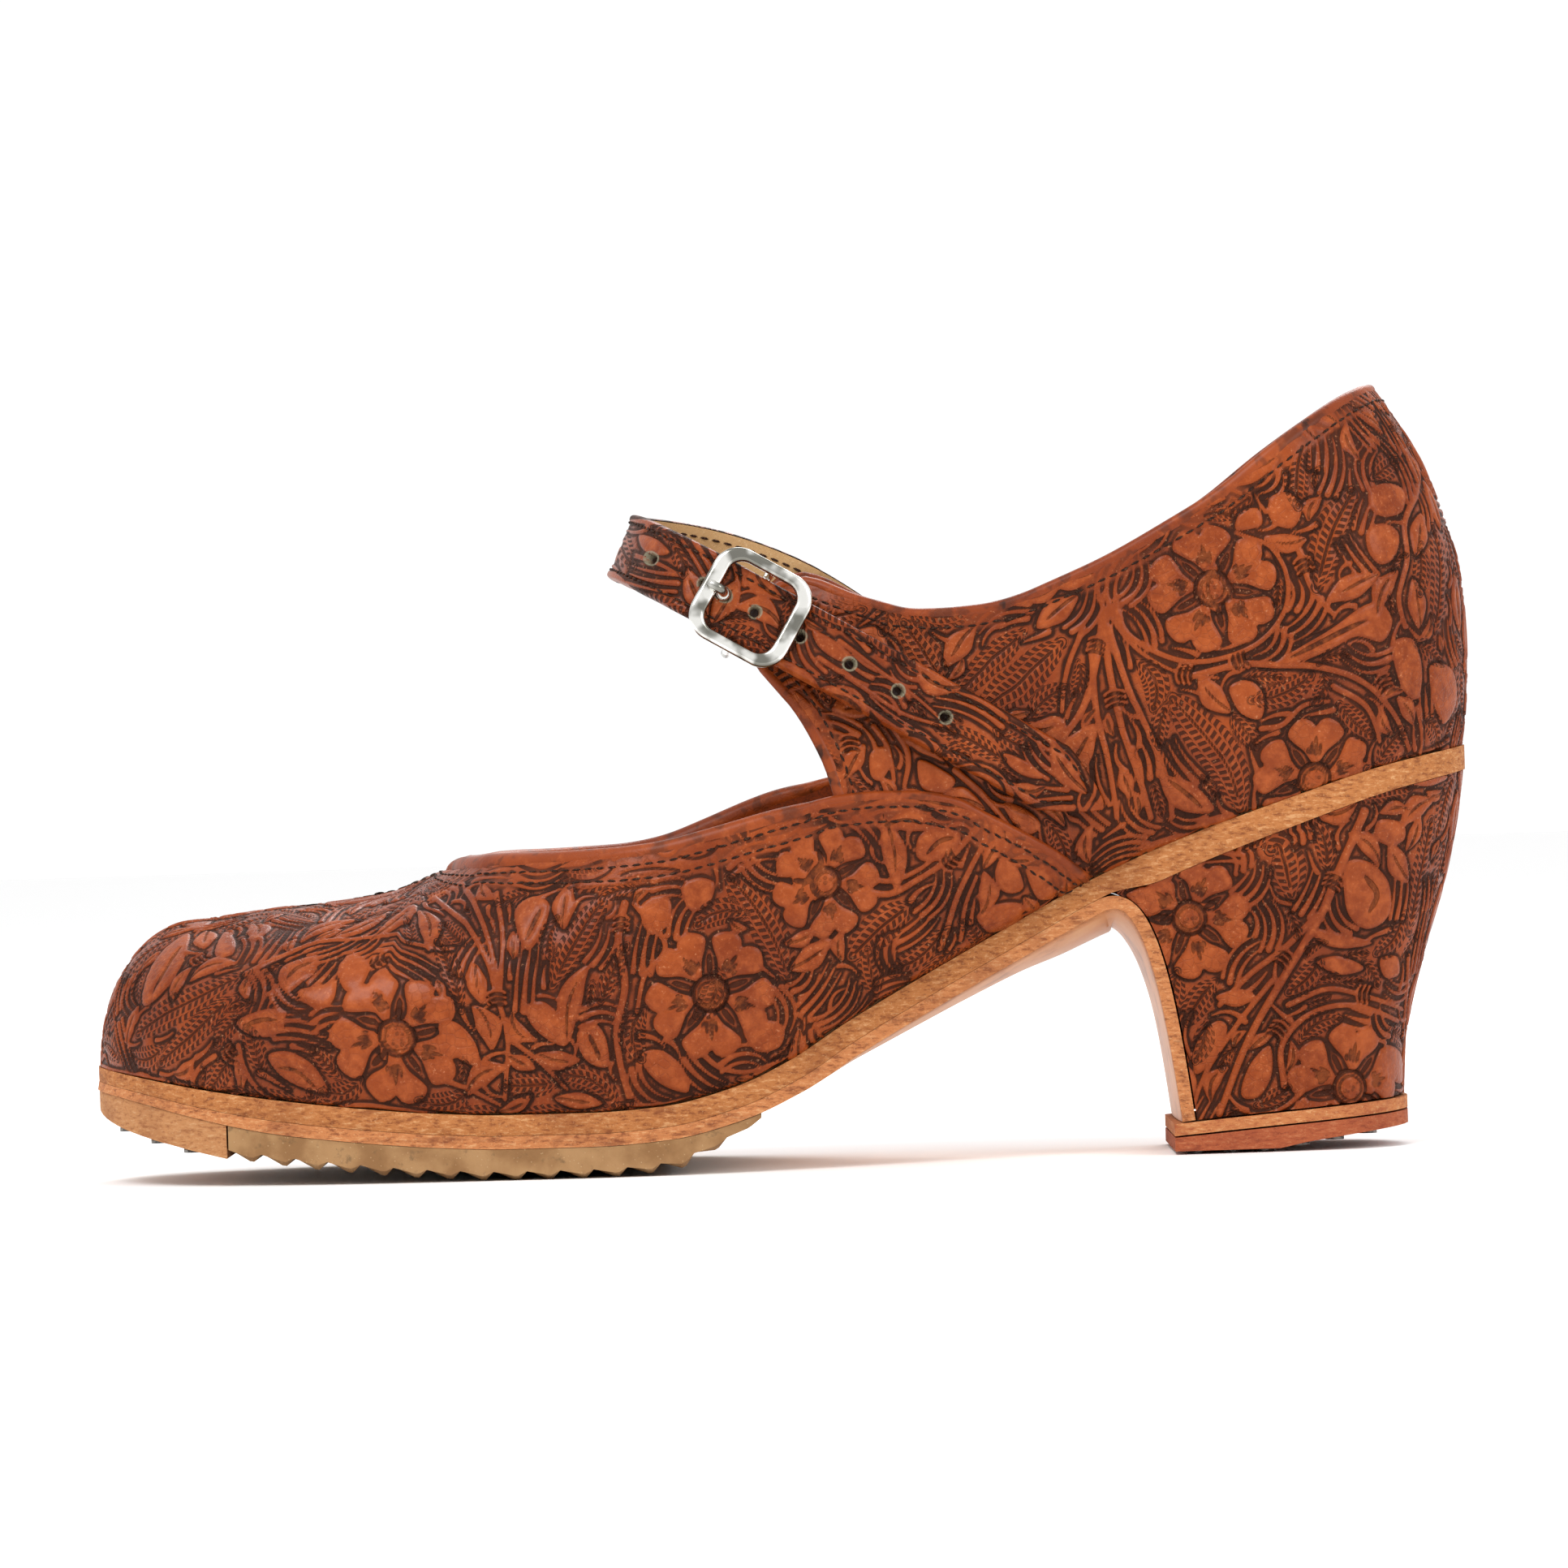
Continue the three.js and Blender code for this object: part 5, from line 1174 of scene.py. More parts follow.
QUARTER_MOTIFS = read_on(QUARTER_VIEW, [
    ("flower", 10.6, [(945, 240), (915, 120)]),
    ("flower", 10.4, [(1185, 690), (1190, 540)]),
    ("stem", 1.0, 0.7, [(712, 280), (745, 345), (810, 388), (890, 412), (980, 400), (1060, 362), (1115, 290),
                          (1120, 210), (1080, 140), (1000, 108)]),
    ("stem", 0.8, 0.5, [(700, 300), (770, 385), (870, 440), (960, 450)]),
    ("fern", 6.2, [(395, 530), (480, 470), (590, 365)]),
    ("fern", 4.4, [(345, 490), (420, 410), (505, 335)]),
    ("fern", 5.0, [(215, 320), (265, 390), (320, 480)]),
    ("fern", 7.0, [(850, 500), (930, 590), (985, 670), (1010, 760)]),
    ("fern", 6.0, [(1275, 10), (1225, 110), (1190, 240)]),
    ("fern", 5.4, [(1465, 95), (1482, 210), (1470, 350)]),
    ("stem", 1.5, 1.0, [(690, 290), (672, 400), (640, 520), (560, 640)]),
    ("stem", 1.3, 1.0, [(690, 300), (700, 420), (730, 560), (770, 680), (800, 780)]),
    ("stem", 1.2, 0.9, [(700, 330), (745, 470), (800, 590), (840, 700), (850, 780)]),
    ("stem", 1.2, 0.9, [(660, 380), (670, 520), (700, 650), (720, 780)]),
    ("stem", 1.0, 0.7, [(640, 330), (600, 440), (590, 530)]),
    ("rings", 3.4, [(716, 500), (722, 530)]),
    ("rings", 3.0, [(672, 375), (668, 400)]),
    ("rings", 3.0, [(880, 442), (910, 444)]),
    ("rings", 3.0, [(1008, 412), (1035, 400)]),
    ("rings", 2.8, [(1160, 185), (1172, 215)]),
    ("rings", 2.8, [(1350, 462), (1362, 490)]),
    ("leaf", [(1085, 420), (1150, 378), (1230, 330), (1300, 280), (1345, 275), (1370, 318), (1345, 365),
                  (1285, 352), (1220, 385), (1150, 412)]),
    ("cut", 0.7, [(1130, 402), (1220, 355), (1310, 312)]),
    ("leaf", [(425, 560), (500, 552), (575, 540), (600, 562), (578, 604), (520, 602), (455, 590)]),
    ("cut", 0.7, [(460, 572), (520, 575), (570, 566)]),
    ("leaf", [(1075, 60), (1085, 20), (1130, 15), (1155, 55), (1135, 95), (1095, 90)]),
    ("leaf", [(1310, 100), (1350, 85), (1385, 110), (1375, 165), (1340, 182), (1312, 150)]),
    ("leaf", [(1315, 10), (1350, -10), (1395, 5), (1395, 55), (1350, 70), (1318, 50)]),
    ("stem", 1.3, 0.9, [(1430, 0), (1400, 80), (1405, 170), (1385, 260), (1400, 330)]),
    ("stem", 1.2, 0.8, [(1150, 150), (1180, 240), (1230, 300)]),
    ("stem", 1.2, 0.9, [(900, 445), (1010, 418), (1100, 420), (1200, 425), (1300, 460), (1370, 530),
                       (1410, 620)]),
    ("stem", 1.1, 0.8, [(1230, 470), (1310, 520), (1340, 600)]),
    ("leaf", [(985, 470), (1030, 455), (1065, 490), (1060, 545), (1020, 540), (995, 510)]),
    ("stem", 1.0, 0.7, [(1060, 570), (1110, 560), (1160, 515), (1220, 505)]),
    ("leaf", [(810, 650), (840, 680), (900, 700), (950, 760), (900, 770), (840, 740)]),
    ("cut", 0.6, [(840, 690), (880, 720), (920, 755)]),
    ("leaf", [(560, 640), (620, 580), (670, 560), (660, 640), (610, 700), (560, 720)]),
    ("cut", 0.6, [(580, 690), (620, 640), (650, 590)]),
    ("leaf", [(1370, 370), (1420, 360), (1440, 430), (1430, 500), (1390, 470)]),
    ("leaf", [(1460, 420), (1510, 430), (1520, 500), (1490, 560), (1465, 500)]),
    ("stem", 1.0, 0.7, [(1430, 520), (1440, 600), (1420, 660)]),
    ("leaf", [(1000, 100), (1010, 60), (1050, 50), (1060, 90)]),
    ("fern", 3.2, [(985, 60), (1010, 40), (1040, 20)]),
    ("leaf", [(95, 350), (150, 330), (180, 380), (130, 400)]),
]) + read_on(STRAP_VIEW, [
    ("stem", 1.0, 0.7, [(800, 700), (840, 760), (860, 860)]),
    ("stem", 1.2, 0.8, [(850, 690), (900, 780), (890, 880)]),
    ("leaf", [(790, 780), (830, 760), (850, 810), (820, 860), (790, 840)]),
    ("rings", 3.0, [(730, 750), (735, 780)]),
    ("leaf", [(560, 600), (600, 620), (640, 690), (620, 740), (580, 680)]),
    ("leaf", [(930, 800), (990, 820), (1040, 860), (1000, 900), (940, 880)]),
    ("stem", 1.3, 0.9, [(1040, 830), (1120, 900), (1200, 1000)]),
    ("leaf", [(1180, 930), (1240, 940), (1290, 990), (1240, 1020)]),
])
HEEL_MOTIFS = read_on(HEEL_VIEW, [
    ("flower", 10.0, [(855, 305), (990, 310)]),
    ("flower", 10.6, [(1255, 725), (1270, 590)]),
    ("stem", 1.6, 1.1, [(1290, 40), (1230, 180), (1180, 300), (1090, 450), (1000, 610), (930, 790)]),
    ("stem", 1.2, 0.9, [(1170, 300), (1090, 380), (1010, 440), (930, 520)]),
    ("stem", 1.0, 0.7, [(1060, 460), (980, 560), (900, 680), (865, 770)]),
    ("rings", 3.2, [(1213, 215), (1200, 245)]),
    ("rings", 2.8, [(1290, 492), (1320, 496)]),
    ("rings", 2.8, [(1075, 582), (1060, 605)]),
    ("rings", 2.8, [(1088, 405), (1070, 430)]),
    ("leaf", [(1248, 165), (1300, 165), (1350, 215), (1352, 295), (1300, 332), (1252, 300), (1238, 225)]),
    ("cut", 0.9, [(1290, 200), (1320, 245), (1300, 290)]),
    ("leaf", [(1330, 60), (1385, 70), (1390, 110), (1350, 125), (1315, 100)]),
    ("fern", 7.0, [(1010, 60), (1080, 130), (1110, 250)]),
    ("fern", 4.6, [(1455, 60), (1430, 190), (1400, 340)]),
    ("stem", 1.1, 0.8, [(1090, 720), (1085, 620), (1150, 545), (1260, 520), (1375, 560)]),
    ("stem", 1.0, 0.7, [(1100, 520), (1200, 480), (1300, 500), (1385, 530)]),
    ("leaf", [(1170, 415), (1225, 398), (1290, 428), (1230, 445)]),
    ("leaf", [(1330, 405), (1372, 400), (1375, 445), (1340, 450)]),
    ("leaf", [(920, 500), (980, 480), (1020, 500), (970, 525)]),
    ("leaf", [(985, 720), (1010, 660), (1055, 620), (1060, 690), (1030, 745), (990, 750)]),
    ("leaf", [(870, 620), (920, 560), (950, 580), (910, 660), (870, 690)]),
    ("fern", 3.6, [(870, 660), (890, 610), (900, 560)]),
    ("leaf", [(1160, 330), (1240, 345), (1310, 365), (1240, 380), (1180, 365)]),
    ("stem", 1.1, 0.8, [(1400, 400), (1395, 480), (1385, 600)]),
    ("leaf", [(1340, 620), (1380, 640), (1375, 700), (1345, 690)]),
    ("leaf", [(700, 250), (760, 230), (790, 280), (740, 300)]),
    ("fern", 3.6, [(1150, 60), (1190, 110), (1200, 190)]),
])
print(len(TOE_MOTIFS + VAMP_MOTIFS + QUARTER_MOTIFS + HEEL_MOTIFS), "motifs read from the photograph")

# %% seams on the chart
LINING_ROWS = 26
VAMP_SEAMS = (1.9, 4.3)  # distances of the seams from the topline
QUARTER_SEAMS = (2.5,)
vamp_edge = vamp_grid[:, -1]
behind = vamp_edge[:, 0] > THROAT
vamp_edge_chart = vamp_chart[:, -1][behind]


def round_edge(grid):
    """The front and top edges of the quarters as one line, from lateral to medial."""
    rows = np.linspace(0, grid.shape[1] - 1, LINING_ROWS).round().astype(int)
    return np.concatenate([grid[0, rows[:-1]], grid[:, -1], grid[-1, rows[:-1][::-1]]])


def beside(line, away):
    """A line `away` from another on its right, without the loops that tight bends make."""
    line = even_line(line, 700)
    step = unit(np.gradient(line, axis=0))
    moved = line + away * np.stack([step[:, 1], -step[:, 0]], 1)
    gap = np.sqrt(((moved[:, None] - line[None]) ** 2).sum(-1)).min(1)
    return moved[gap > 0.97 * abs(away)]


def seam_line(sheet, edge, away):
    """The line on the side of an edge on which the leather lies."""
    leather = sheet.chart[::3, ::3].reshape(-1, 2)

    def off_leather(line):
        return np.sqrt(((line[::12, None] - leather[None]) ** 2).sum(-1)).min(1).mean()

    return even_line(min(beside(edge, away), beside(edge, -away), key=off_leather), 900)


def parts_of(line, steps):
    """A long line in parts that share their ends, so that each is drawn in a small window."""
    for start in range(0, len(line) - 1, steps):
        yield line[start : start + steps + 1]


def draw_seams(sheet, edge, seams):
    """The thread pulls a shallow groove, and the pattern stops at the last seam."""
    last = max(seams)
    for away in seams:
        for part in parts_of(seam_line(sheet, edge, away), 60):
            area, where = sheet.window(part, 1.0)
            lower(sheet.cut, area, to_line(where, part[::4])[0] + 0.02)
    for part in parts_of(even_line(edge, 400), 20):
        area, where = sheet.window(part, last + 1.5)
        gap = to_line(where, part)[0]
        sheet.calm[area] = np.maximum(sheet.calm[area], smooth((last + 1.2 - gap) / 0.7))


# %% draw vamp and quarters
vamp_sheet = Sheet(vamp_grid, vamp_chart)
draw_all(vamp_sheet, TOE_MOTIFS + VAMP_MOTIFS)
fill_in(vamp_sheet, seed=4, smallest=0.95)
draw_seams(vamp_sheet, vamp_edge_chart, VAMP_SEAMS)
quarter_sheet = Sheet(quarter_grid, quarter_chart)
draw_all(quarter_sheet, QUARTER_MOTIFS)
fill_in(quarter_sheet, seed=7, smallest=0.95)
draw_seams(quarter_sheet, round_edge(quarter_chart), QUARTER_SEAMS)


# %% [markdown]
# ### From drawing to leather
# Outside a raised shape the leather is beaten down and slopes back up again, as a bevelling tool leaves
# it. Inside, the shape is slightly crowned. Creases are soft troughs that cross the pattern.

# %% relief
BEVEL_DEPTH = 0.42
BEVEL_REACH = 1.3
CROWN_HEIGHT = 0.14
CUT_DEPTH = 0.26


def sampled(sheet, field, chart):
    """Values of a drawing at places of the chart."""
    at = (chart - sheet.low) / PIXEL
    i = np.clip(np.floor(at).astype(int), 0, np.array(field.shape) - 2)
    t = np.clip(at - i, 0, 1)
    x, y = i[..., 0], i[..., 1]
    a, b = t[..., 0], t[..., 1]
    low = field[x, y] * (1 - a) + field[x + 1, y] * a
    high = field[x, y + 1] * (1 - a) + field[x + 1, y + 1] * a
    return low * (1 - b) + high * b


def relief(shape, cut):
    """Height of the leather, in millimetres, from the distances to shapes and cut lines."""
    outside = np.maximum(shape, 0)
    bevel = -BEVEL_DEPTH * smooth((shape + 0.3) / 0.5) * np.exp(-outside / BEVEL_REACH)
    crown = CROWN_HEIGHT * (1 - np.exp(-np.maximum(-shape, 0) / 0.8))
    return bevel + crown - CUT_DEPTH * smooth((0.3 - cut) / 0.4)


def wavering(place, size, seed=0):
    """A slow wave over places, between -1 and 1, from a few sines."""
    random = np.random.default_rng(seed)
    total = np.zeros(place.shape[:-1])
    for _ in range(6):
        way = random.normal(size=place.shape[-1])
        way *= 2 * math.pi / size / np.linalg.norm(way) * random.uniform(0.6, 1.6)
        total += np.sin(place @ way + random.uniform(0, 2 * math.pi))
    return total / 6


def creased(grid, outward, creases):
    """How far creases press the leather in. A crease is (points of the photograph, width, depth)."""
    seen = to_photo(grid + SHIFT)
    pressed = np.zeros(grid.shape[:2])
    facing = np.clip(-outward[..., 1] * 3, 0, 1)
    for points, width, depth in creases:
        line = bent(points)
        low, high = line.min(0) - 8 * width * FOCAL, line.max(0) + 8 * width * FOCAL
        near = ((seen > low) & (seen < high)).all(-1)
        rows = np.nonzero(near)
        if not len(rows[0]):
            continue
        away, along, length = to_line(seen[rows][:, None], line)
        share = along[:, 0] / length
        fade = np.minimum(1, 4 * np.minimum(share, 1 - share) + 0.1)
        pressed[rows] -= depth * fade * np.exp(-((away[:, 0] / (width * FOCAL)) ** 2))
    return pressed * facing


def dress(name, grid, sheet, material, replaces=(), creases=(), fade=1.0, extra=0.0, more=None):
    """The pressed leather piece. `fade` weakens the pattern, `extra` is added height in millimetres."""
    keys = ("shape", "cut", "fern", "matted", "tick", "calm")
    fields = {key: sampled(sheet, getattr(sheet, key), sheet.chart) for key in keys}
    height = relief(fields["shape"], fields["cut"]) * fade * (1 - 0.7 * fields["calm"]) + extra
    height = height + 0.05 * wavering(grid, 9.0, 3) + creased(grid, sheet.outward, creases)
    pressed = grid + sheet.outward * height[..., None]
    first, number = welded(grid)
    faces = faced(grid.reshape(-1, 3)[first], quads_of(number), sheet.outward.reshape(-1, 3)[first])
    fields.update(more or {})
    values = {key: np.broadcast_to(field, grid.shape[:2]).ravel()[first] for key, field in fields.items()}
    piece_of(name, pressed.reshape(-1, 3)[first], faces, material, replaces, values)
    return pressed


# %% [markdown]
# ## Leather
# The dye is a saddle brown, rubbed darker into every line and recess, with painted shade along the outlines
# and in the bevels, and lighter on the raised shapes, where it is worn. Fine bright flecks are painted
# highlights.
# Under it is the grain: fine pebbles, a few wrinkles, and stippled ground in the flowers' buttons.

# %% tooled leather
SADDLE = (0.25, 0.045, 0.006)
SADDLE_LIGHT = (0.37, 0.083, 0.018)
SADDLE_DEEP = (0.165, 0.026, 0.0035)
# antique dye, also the colour of painted shade at the outlines and in the punched holes
ANTIQUE_AND_SHADE = (0.017, 0.0055, 0.0025)
# a burnt brown for smudges, also used as painted shade in the bevels and inside the vamp
BURNT_AND_SHADE = (0.085, 0.017, 0.0045)
PUNCHED = (0.2, 0.18, 0.12)
# the colour of the painted highlights, fine bright flecks
PAINTED_GLINT = (0.56, 0.24, 0.115)


def leather_ground(tree, place):
    """The colour of plain leather, and its grain as a height."""
    cloud = tree.noise(place, 16, 3.0)
    fleck = tree.noise(place, 2.2, 4.0, 0.65)
    colour = tree.mix(cloud.between(0.35, 0.7), SADDLE_DEEP, SADDLE)
    colour = tree.mix(fleck.between(0.5, 0.78) * 0.55, colour, SADDLE_LIGHT)
    pebble = tree.cells(place, 0.62, "SMOOTH_F1")
    wrinkle = tree.noise(place, 1.1, 3.0, 0.6)
    crackle = tree.cells(place, 1.5, "DISTANCE_TO_EDGE").between(0.0, 0.09)
    worn_here = tree.noise(place, 18.0, 2.0).between(0.42, 0.6)
    grain = pebble * 0.6 + wrinkle * 0.9 + crackle * worn_here * 0.7
    return colour, grain, fleck


def painted_glint_patches(tree, place):
    """Patches where fine bright flecks are painted on as highlights."""
    return tree.noise(place, 12.0, 2.0).between(0.38, 0.62)


def tooled(tree, punched=False):
    place = tree.place()
    colour, grain, fleck = leather_ground(tree, place)
    shape, cut, fern, tick, matted = map(tree.attribute, ("shape", "cut", "fern", "tick", "matted"))
    waver = tree.noise(place, 2.6, 2.0) - 0.5
    patch = tree.noise(place, 9.0, 2.0)
    # A dark line where a shape's edge drops, partly antique dye and partly painted shade, thicker in some
    # places than in others
    width = 0.4 + waver * 0.9
    line = shape.between(-0.1, 0.08) * (shape - width).between(0.35, -0.1)
    # Darker in the bevel round each shape, partly antique dye and partly painted shade
    bevel_dye_and_shade = shape.between(-0.05, 0.25) * shape.between(1.5, 0.1)
    knife = (cut + waver * 0.2).between(0.14, -0.06)
    # Two rows of ticks on each side of a fern's rib
    inner = fern.between(0.1, 0.2) * fern.between(0.56, 0.48)
    outer = fern.between(0.6, 0.68) * fern.between(1.06, 0.96)
    step = (tick + outer * 0.5 + waver * 0.25).math("FRACT", 0.0)
    tooth = abs(step - 0.5).between(0.32, 0.17)
    ticks = (inner + outer).clamp() * tooth
    dots = matted * tree.cells(place, 0.85).between(0.5, 0.25)
    smudge = patch.between(0.56, 0.74) * fleck.between(0.4, 0.65)
    calm = tree.attribute("calm")
    quiet = 1.0 - calm * patch.between(0.62, 0.42)
    drawn = (line * (0.62 + patch * 0.7)).most(ticks * 0.9).most(dots * 0.55)
    dark = (drawn * quiet).most(knife * 0.9).clamp()
    # The bevels darken with dye and painted shade, the smudges with dye alone
    colour = tree.mix((bevel_dye_and_shade * 0.5 + smudge * 0.22).clamp(), colour, BURNT_AND_SHADE)
    # Cuts, ticks and stipple hold antique dye; along the outlines the dark is antique dye and painted shade
    colour = tree.mix(dark * 0.92, colour, ANTIQUE_AND_SHADE)
    raised = shape.between(-0.15, -0.6) * fleck.between(0.35, 0.6)
    colour = tree.mix(raised * 0.35, colour, SADDLE_LIGHT)
    # Fine bright flecks painted into the colour as highlights, in patches
    painted_glints = tree.noise(place, 0.55, 3.0, 0.6).between(0.6, 0.76) * painted_glint_patches(tree, place)
    colour = tree.mix(painted_glints * 0.5, colour, PAINTED_GLINT)
    height = grain * 0.11 - (line * 0.16 + ticks * 0.24) * quiet - knife * 0.2 + dots * 0.12
    rough = 0.28 + fleck * 0.26 + dark * 0.2
    if punched:
        hole = tree.attribute("hole")
        rim = (hole + waver * 0.3).between(0.46, 0.2) * tree.noise(place, 0.7, 2.0).between(0.3, 0.45)
        colour = tree.mix(rim * 0.8, colour, PUNCHED)
        # The centre of each hole is painted nearly black as the shade inside it
        colour = tree.mix(hole.between(-0.05, -0.3), colour, ANTIQUE_AND_SHADE)
    coat = {"Coat Weight": (0.14 - dark * 0.13).clamp(), "Coat Roughness": 0.2}
    return tree.surface(colour, rough, 0.1, height, coat)


def plain(tree):
    """The same leather without a pattern, for the rolled edges and the buckle's tab."""
    place = tree.place()
    colour, grain, fleck = leather_ground(tree, place)
    smudge = tree.noise(place, 5.0, 3.0).between(0.52, 0.66)
    line = tree.noise(place, 3.0, 2.0).between(0.58, 0.66)
    colour = tree.mix((smudge * 0.5 + line * 0.4).clamp(), colour, ANTIQUE_AND_SHADE)
    coat = {"Coat Weight": 0.12, "Coat Roughness": 0.25}
    return tree.surface(colour, 0.38 + fleck * 0.2, 0.14, grain * 0.05, coat)


tooled_leather = finish_of("tooled_leather", tooled)
punched_leather = finish_of("punched_leather", lambda tree: tooled(tree, True))
plain_leather = finish_of("plain_leather", plain)

VAMP_CREASES = [
    ([(600, 1195), (640, 1240), (660, 1290)], 1.6, 0.5),
    ([(640, 1170), (690, 1225), (720, 1285)], 1.5, 0.45),
    ([(560, 1230), (600, 1285), (610, 1330)], 1.5, 0.35),
    ([(1290, 955), (1330, 985), (1350, 1010)], 1.2, 0.4),
]
QUARTER_CREASES = [
    ([(1180, 960), (1230, 985), (1290, 1000)], 1.3, 0.6),
    ([(1215, 945), (1270, 965), (1330, 985)], 1.2, 0.5),
    ([(1330, 920), (1370, 900), (1400, 905)], 1.4, 0.4),
    ([(1600, 790), (1650, 800), (1680, 830)], 2.0, -0.5),
]
vamp_pressed = dress(
    "vamp", vamp_grid, vamp_sheet, tooled_leather, ("upper",), VAMP_CREASES
)
quarter_pressed = dress(
    "quarter", quarter_grid, quarter_sheet, tooled_leather, (), QUARTER_CREASES
)

# %% [markdown]
# ## Covered heel
# The heel block is wrapped in the same tooled leather, from one edge of the breast round the back to
# the other. Its sides flare from the small foot up to the seat of the shoe.

# %% sole lines
BREAST = LENGTH - HEEL_SEAT
SHANK = BREAST - SHANK_REACH
RAND_START = SHANK + 1
HEEL_BACK_FOOT = BREAST + HEEL_FOOT
HEEL_TOP_FRONT = BREAST - 12
LIFT_SLOPE = math.tan(math.radians(HEEL_PITCH))
LIFTS_TOP = NAIL_HEAD + TOP_PIECE + LIFT + 2 * CLEARANCE
HEEL_SHAPE = [  # at, back, side
    (0.0, 0.0, 0.0), (0.15, 0.045, 0.03), (0.3, 0.19, 0.12), (0.5, 0.46, 0.34), (0.7, 0.74, 0.62),
    (0.85, 0.9, 0.84), (1.0, 1.0, 1.0),
]
heel_back_at = smooth_curve(HEEL_SHAPE, 1)
heel_side_at = smooth_curve(HEEL_SHAPE, 2)


def upper_grow(x):
    return WALL + LAP * (1 - smooth((x / LENGTH - 0.62) / 0.12))


def sole_edge(side, x, extra):
    grow = upper_grow(x) + extra
    return at_height(side, x, 0 * x, grow, front_of(0.0, grow))[..., 1]


def skive(x):
    return 1 - TOE_SKIVE * (1 - smooth(x / (0.15 * LENGTH)))


def slope_of(line, x):
    return (line(x + 1) - line(x - 1)) / 2


def midsole_under(x):
    behind_shank = np.clip((x - SHANK) / (LENGTH - SHANK), 0, 1)
    rand = SEAT_RAND * smooth((x - RAND_START) / 10) * mix(1, 0.3, behind_shank)
    return feather(x) - (MIDSOLE * skive(x) + rand) * np.hypot(1, slope_of(feather, x))


def outsole_top(x):
    return midsole_under(x) - CLEARANCE


def lifts_top(x):
    return LIFTS_TOP + (x - BREAST) * LIFT_SLOPE


BREAST_HEIGHT = float(outsole_top(SHANK) - lifts_top(BREAST) - CLEARANCE)
breast_foot = np.array([BREAST, float(lifts_top(BREAST)) + CLEARANCE])
breast_head = np.array([SHANK, float(outsole_top(SHANK))])
BREAST_LINE = [
    breast_head,
    breast_head + np.array([0.55, 0.21]) * SHANK_REACH,
    breast_foot + np.array([-0.23 * SHANK_REACH, 0.76 * BREAST_HEIGHT]),
    breast_foot,
]


def breast_point(t):
    a, b, c, d = BREAST_LINE
    t = np.asarray(t)[..., None]
    return a * (1 - t) ** 3 + 3 * b * t * (1 - t) ** 2 + 3 * c * t**2 * (1 - t) + d * t**3


HEEL_FOOT_POWER = 2.4


def heel_foot(x, inset=0.0):
    """Share of the heel's foot width at length x, `inset` inside its outline."""
    return closing((x - HEEL_BACK_FOOT + HEEL_FOOT_ROUND + inset) / HEEL_FOOT_ROUND, HEEL_FOOT_POWER)


def heel_half(side, columns, rows):
    """One side of the heel's cover as columns of points, from the back to the breast."""
    a = np.linspace(0, 1, 500)[:, None]
    v = np.linspace(0, 1, rows)[None, :]
    back = rear_of(WALL)
    top_x = mix(HEEL_TOP_FRONT, back - 0.02, a)
    foot_x = mix(BREAST - 1, HEEL_BACK_FOOT, a)
    top_y = np.abs(sole_edge(side, mix(HEEL_TOP_FRONT, back, a), 0.0) - centre(top_x))
    foot_y = HEEL_FOOT_WIDTH / 2 * heel_foot(foot_x)
    x = mix(foot_x, top_x, mix(heel_back_at(v), v, 1 - a))
    z = mix(lifts_top(foot_x) + CLEARANCE, midsole_under(top_x) - CLEARANCE, v)
    y = centre(top_x) + side * mix(foot_y, top_y, heel_side_at(v))
    points = np.stack([x, y, z + 0 * x], axis=-1)
    line = breast_point(np.linspace(0, 1, 200))
    line = line[np.argmax(line[:, 1]) :]
    edge = np.interp(z, line[::-1, 1], line[::-1, 0]) + CLEARANCE
    from_back = points[::-1].transpose(1, 0, 2)
    over = (edge - x)[::-1].T
    kept = cut_above(from_back, over)
    return spaced(kept, columns).transpose(1, 0, 2)


HEEL_COLUMNS, HEEL_ROWS = ((200, 128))
heel_grid = whole(heel_half, HEEL_COLUMNS, HEEL_ROWS)
heel_chart = flattened(heel_grid, 37, 13)
heel_sheet = Sheet(heel_grid, heel_chart)
draw_all(heel_sheet, HEEL_MOTIFS)
fill_in(heel_sheet, seed=11, smallest=1.0)
dress("heel_cover", heel_grid, heel_sheet, tooled_leather, ("heel",))

# %% [markdown]
# ## Strap
# The strap leaves the medial quarter, arches over the instep and runs down the lateral side to its
# pointed tip. Its columns follow it from the tip to the sewn end, and its rows go round its section.

# %% strap lines
STRAP_WIDTH = 11.5
STRAP = 2.0
STRAP_FREE = 89.0
STRAP_FAR = 40.0
STRAP_POINT = 9.0
STRAP_CROWN = 0.3965 * LENGTH
STRAP_CROWN_UP = 0.8005
STRAP_SLOPE = 30.5
STRAP_FAR_SLOPE = 30.0
STRAP_FAR_CHORD = 0.7
STRAP_LEAN = 23.8
STRAP_ARCH = 17.0
STRAP_LIFT = 4.9
STRAP_SETTLES = 45.0
CROWN_SLOPE = 6
ARCH_POWER = 2.1
EAR = 31.0
HOLE_RADIUS = 0.9
HOLE_SPACING = 8.86
HOLE_COUNT = 9
HOLE_FIRST = 29.7
BUCKLE_AT = 22.9
BUCKLE_LENGTH = 17.8
BUCKLE_WIDTH = 16.8
BUCKLE_BAR = 2.7
BUCKLE_RAIL = 2.0
BUCKLE_THICK = 1.8
BUCKLE_RISE = 0.6
BUCKLE_CORNER = 4.6
PIN_RADIUS = 0.7
TAB_THICK = 0.9
PIN_DEPTH = STRAP + CLEARANCE + PIN_RADIUS + CLEARANCE + TAB_THICK
PRONG_HOLE = BUCKLE_LENGTH / 2 - BUCKLE_BAR - 1.2


def strap_slope(p):
    return np.where(p > 0, STRAP_SLOPE, mix(CROWN_SLOPE, STRAP_FAR_SLOPE, np.clip(-p / STRAP_FAR, 0, 1)))


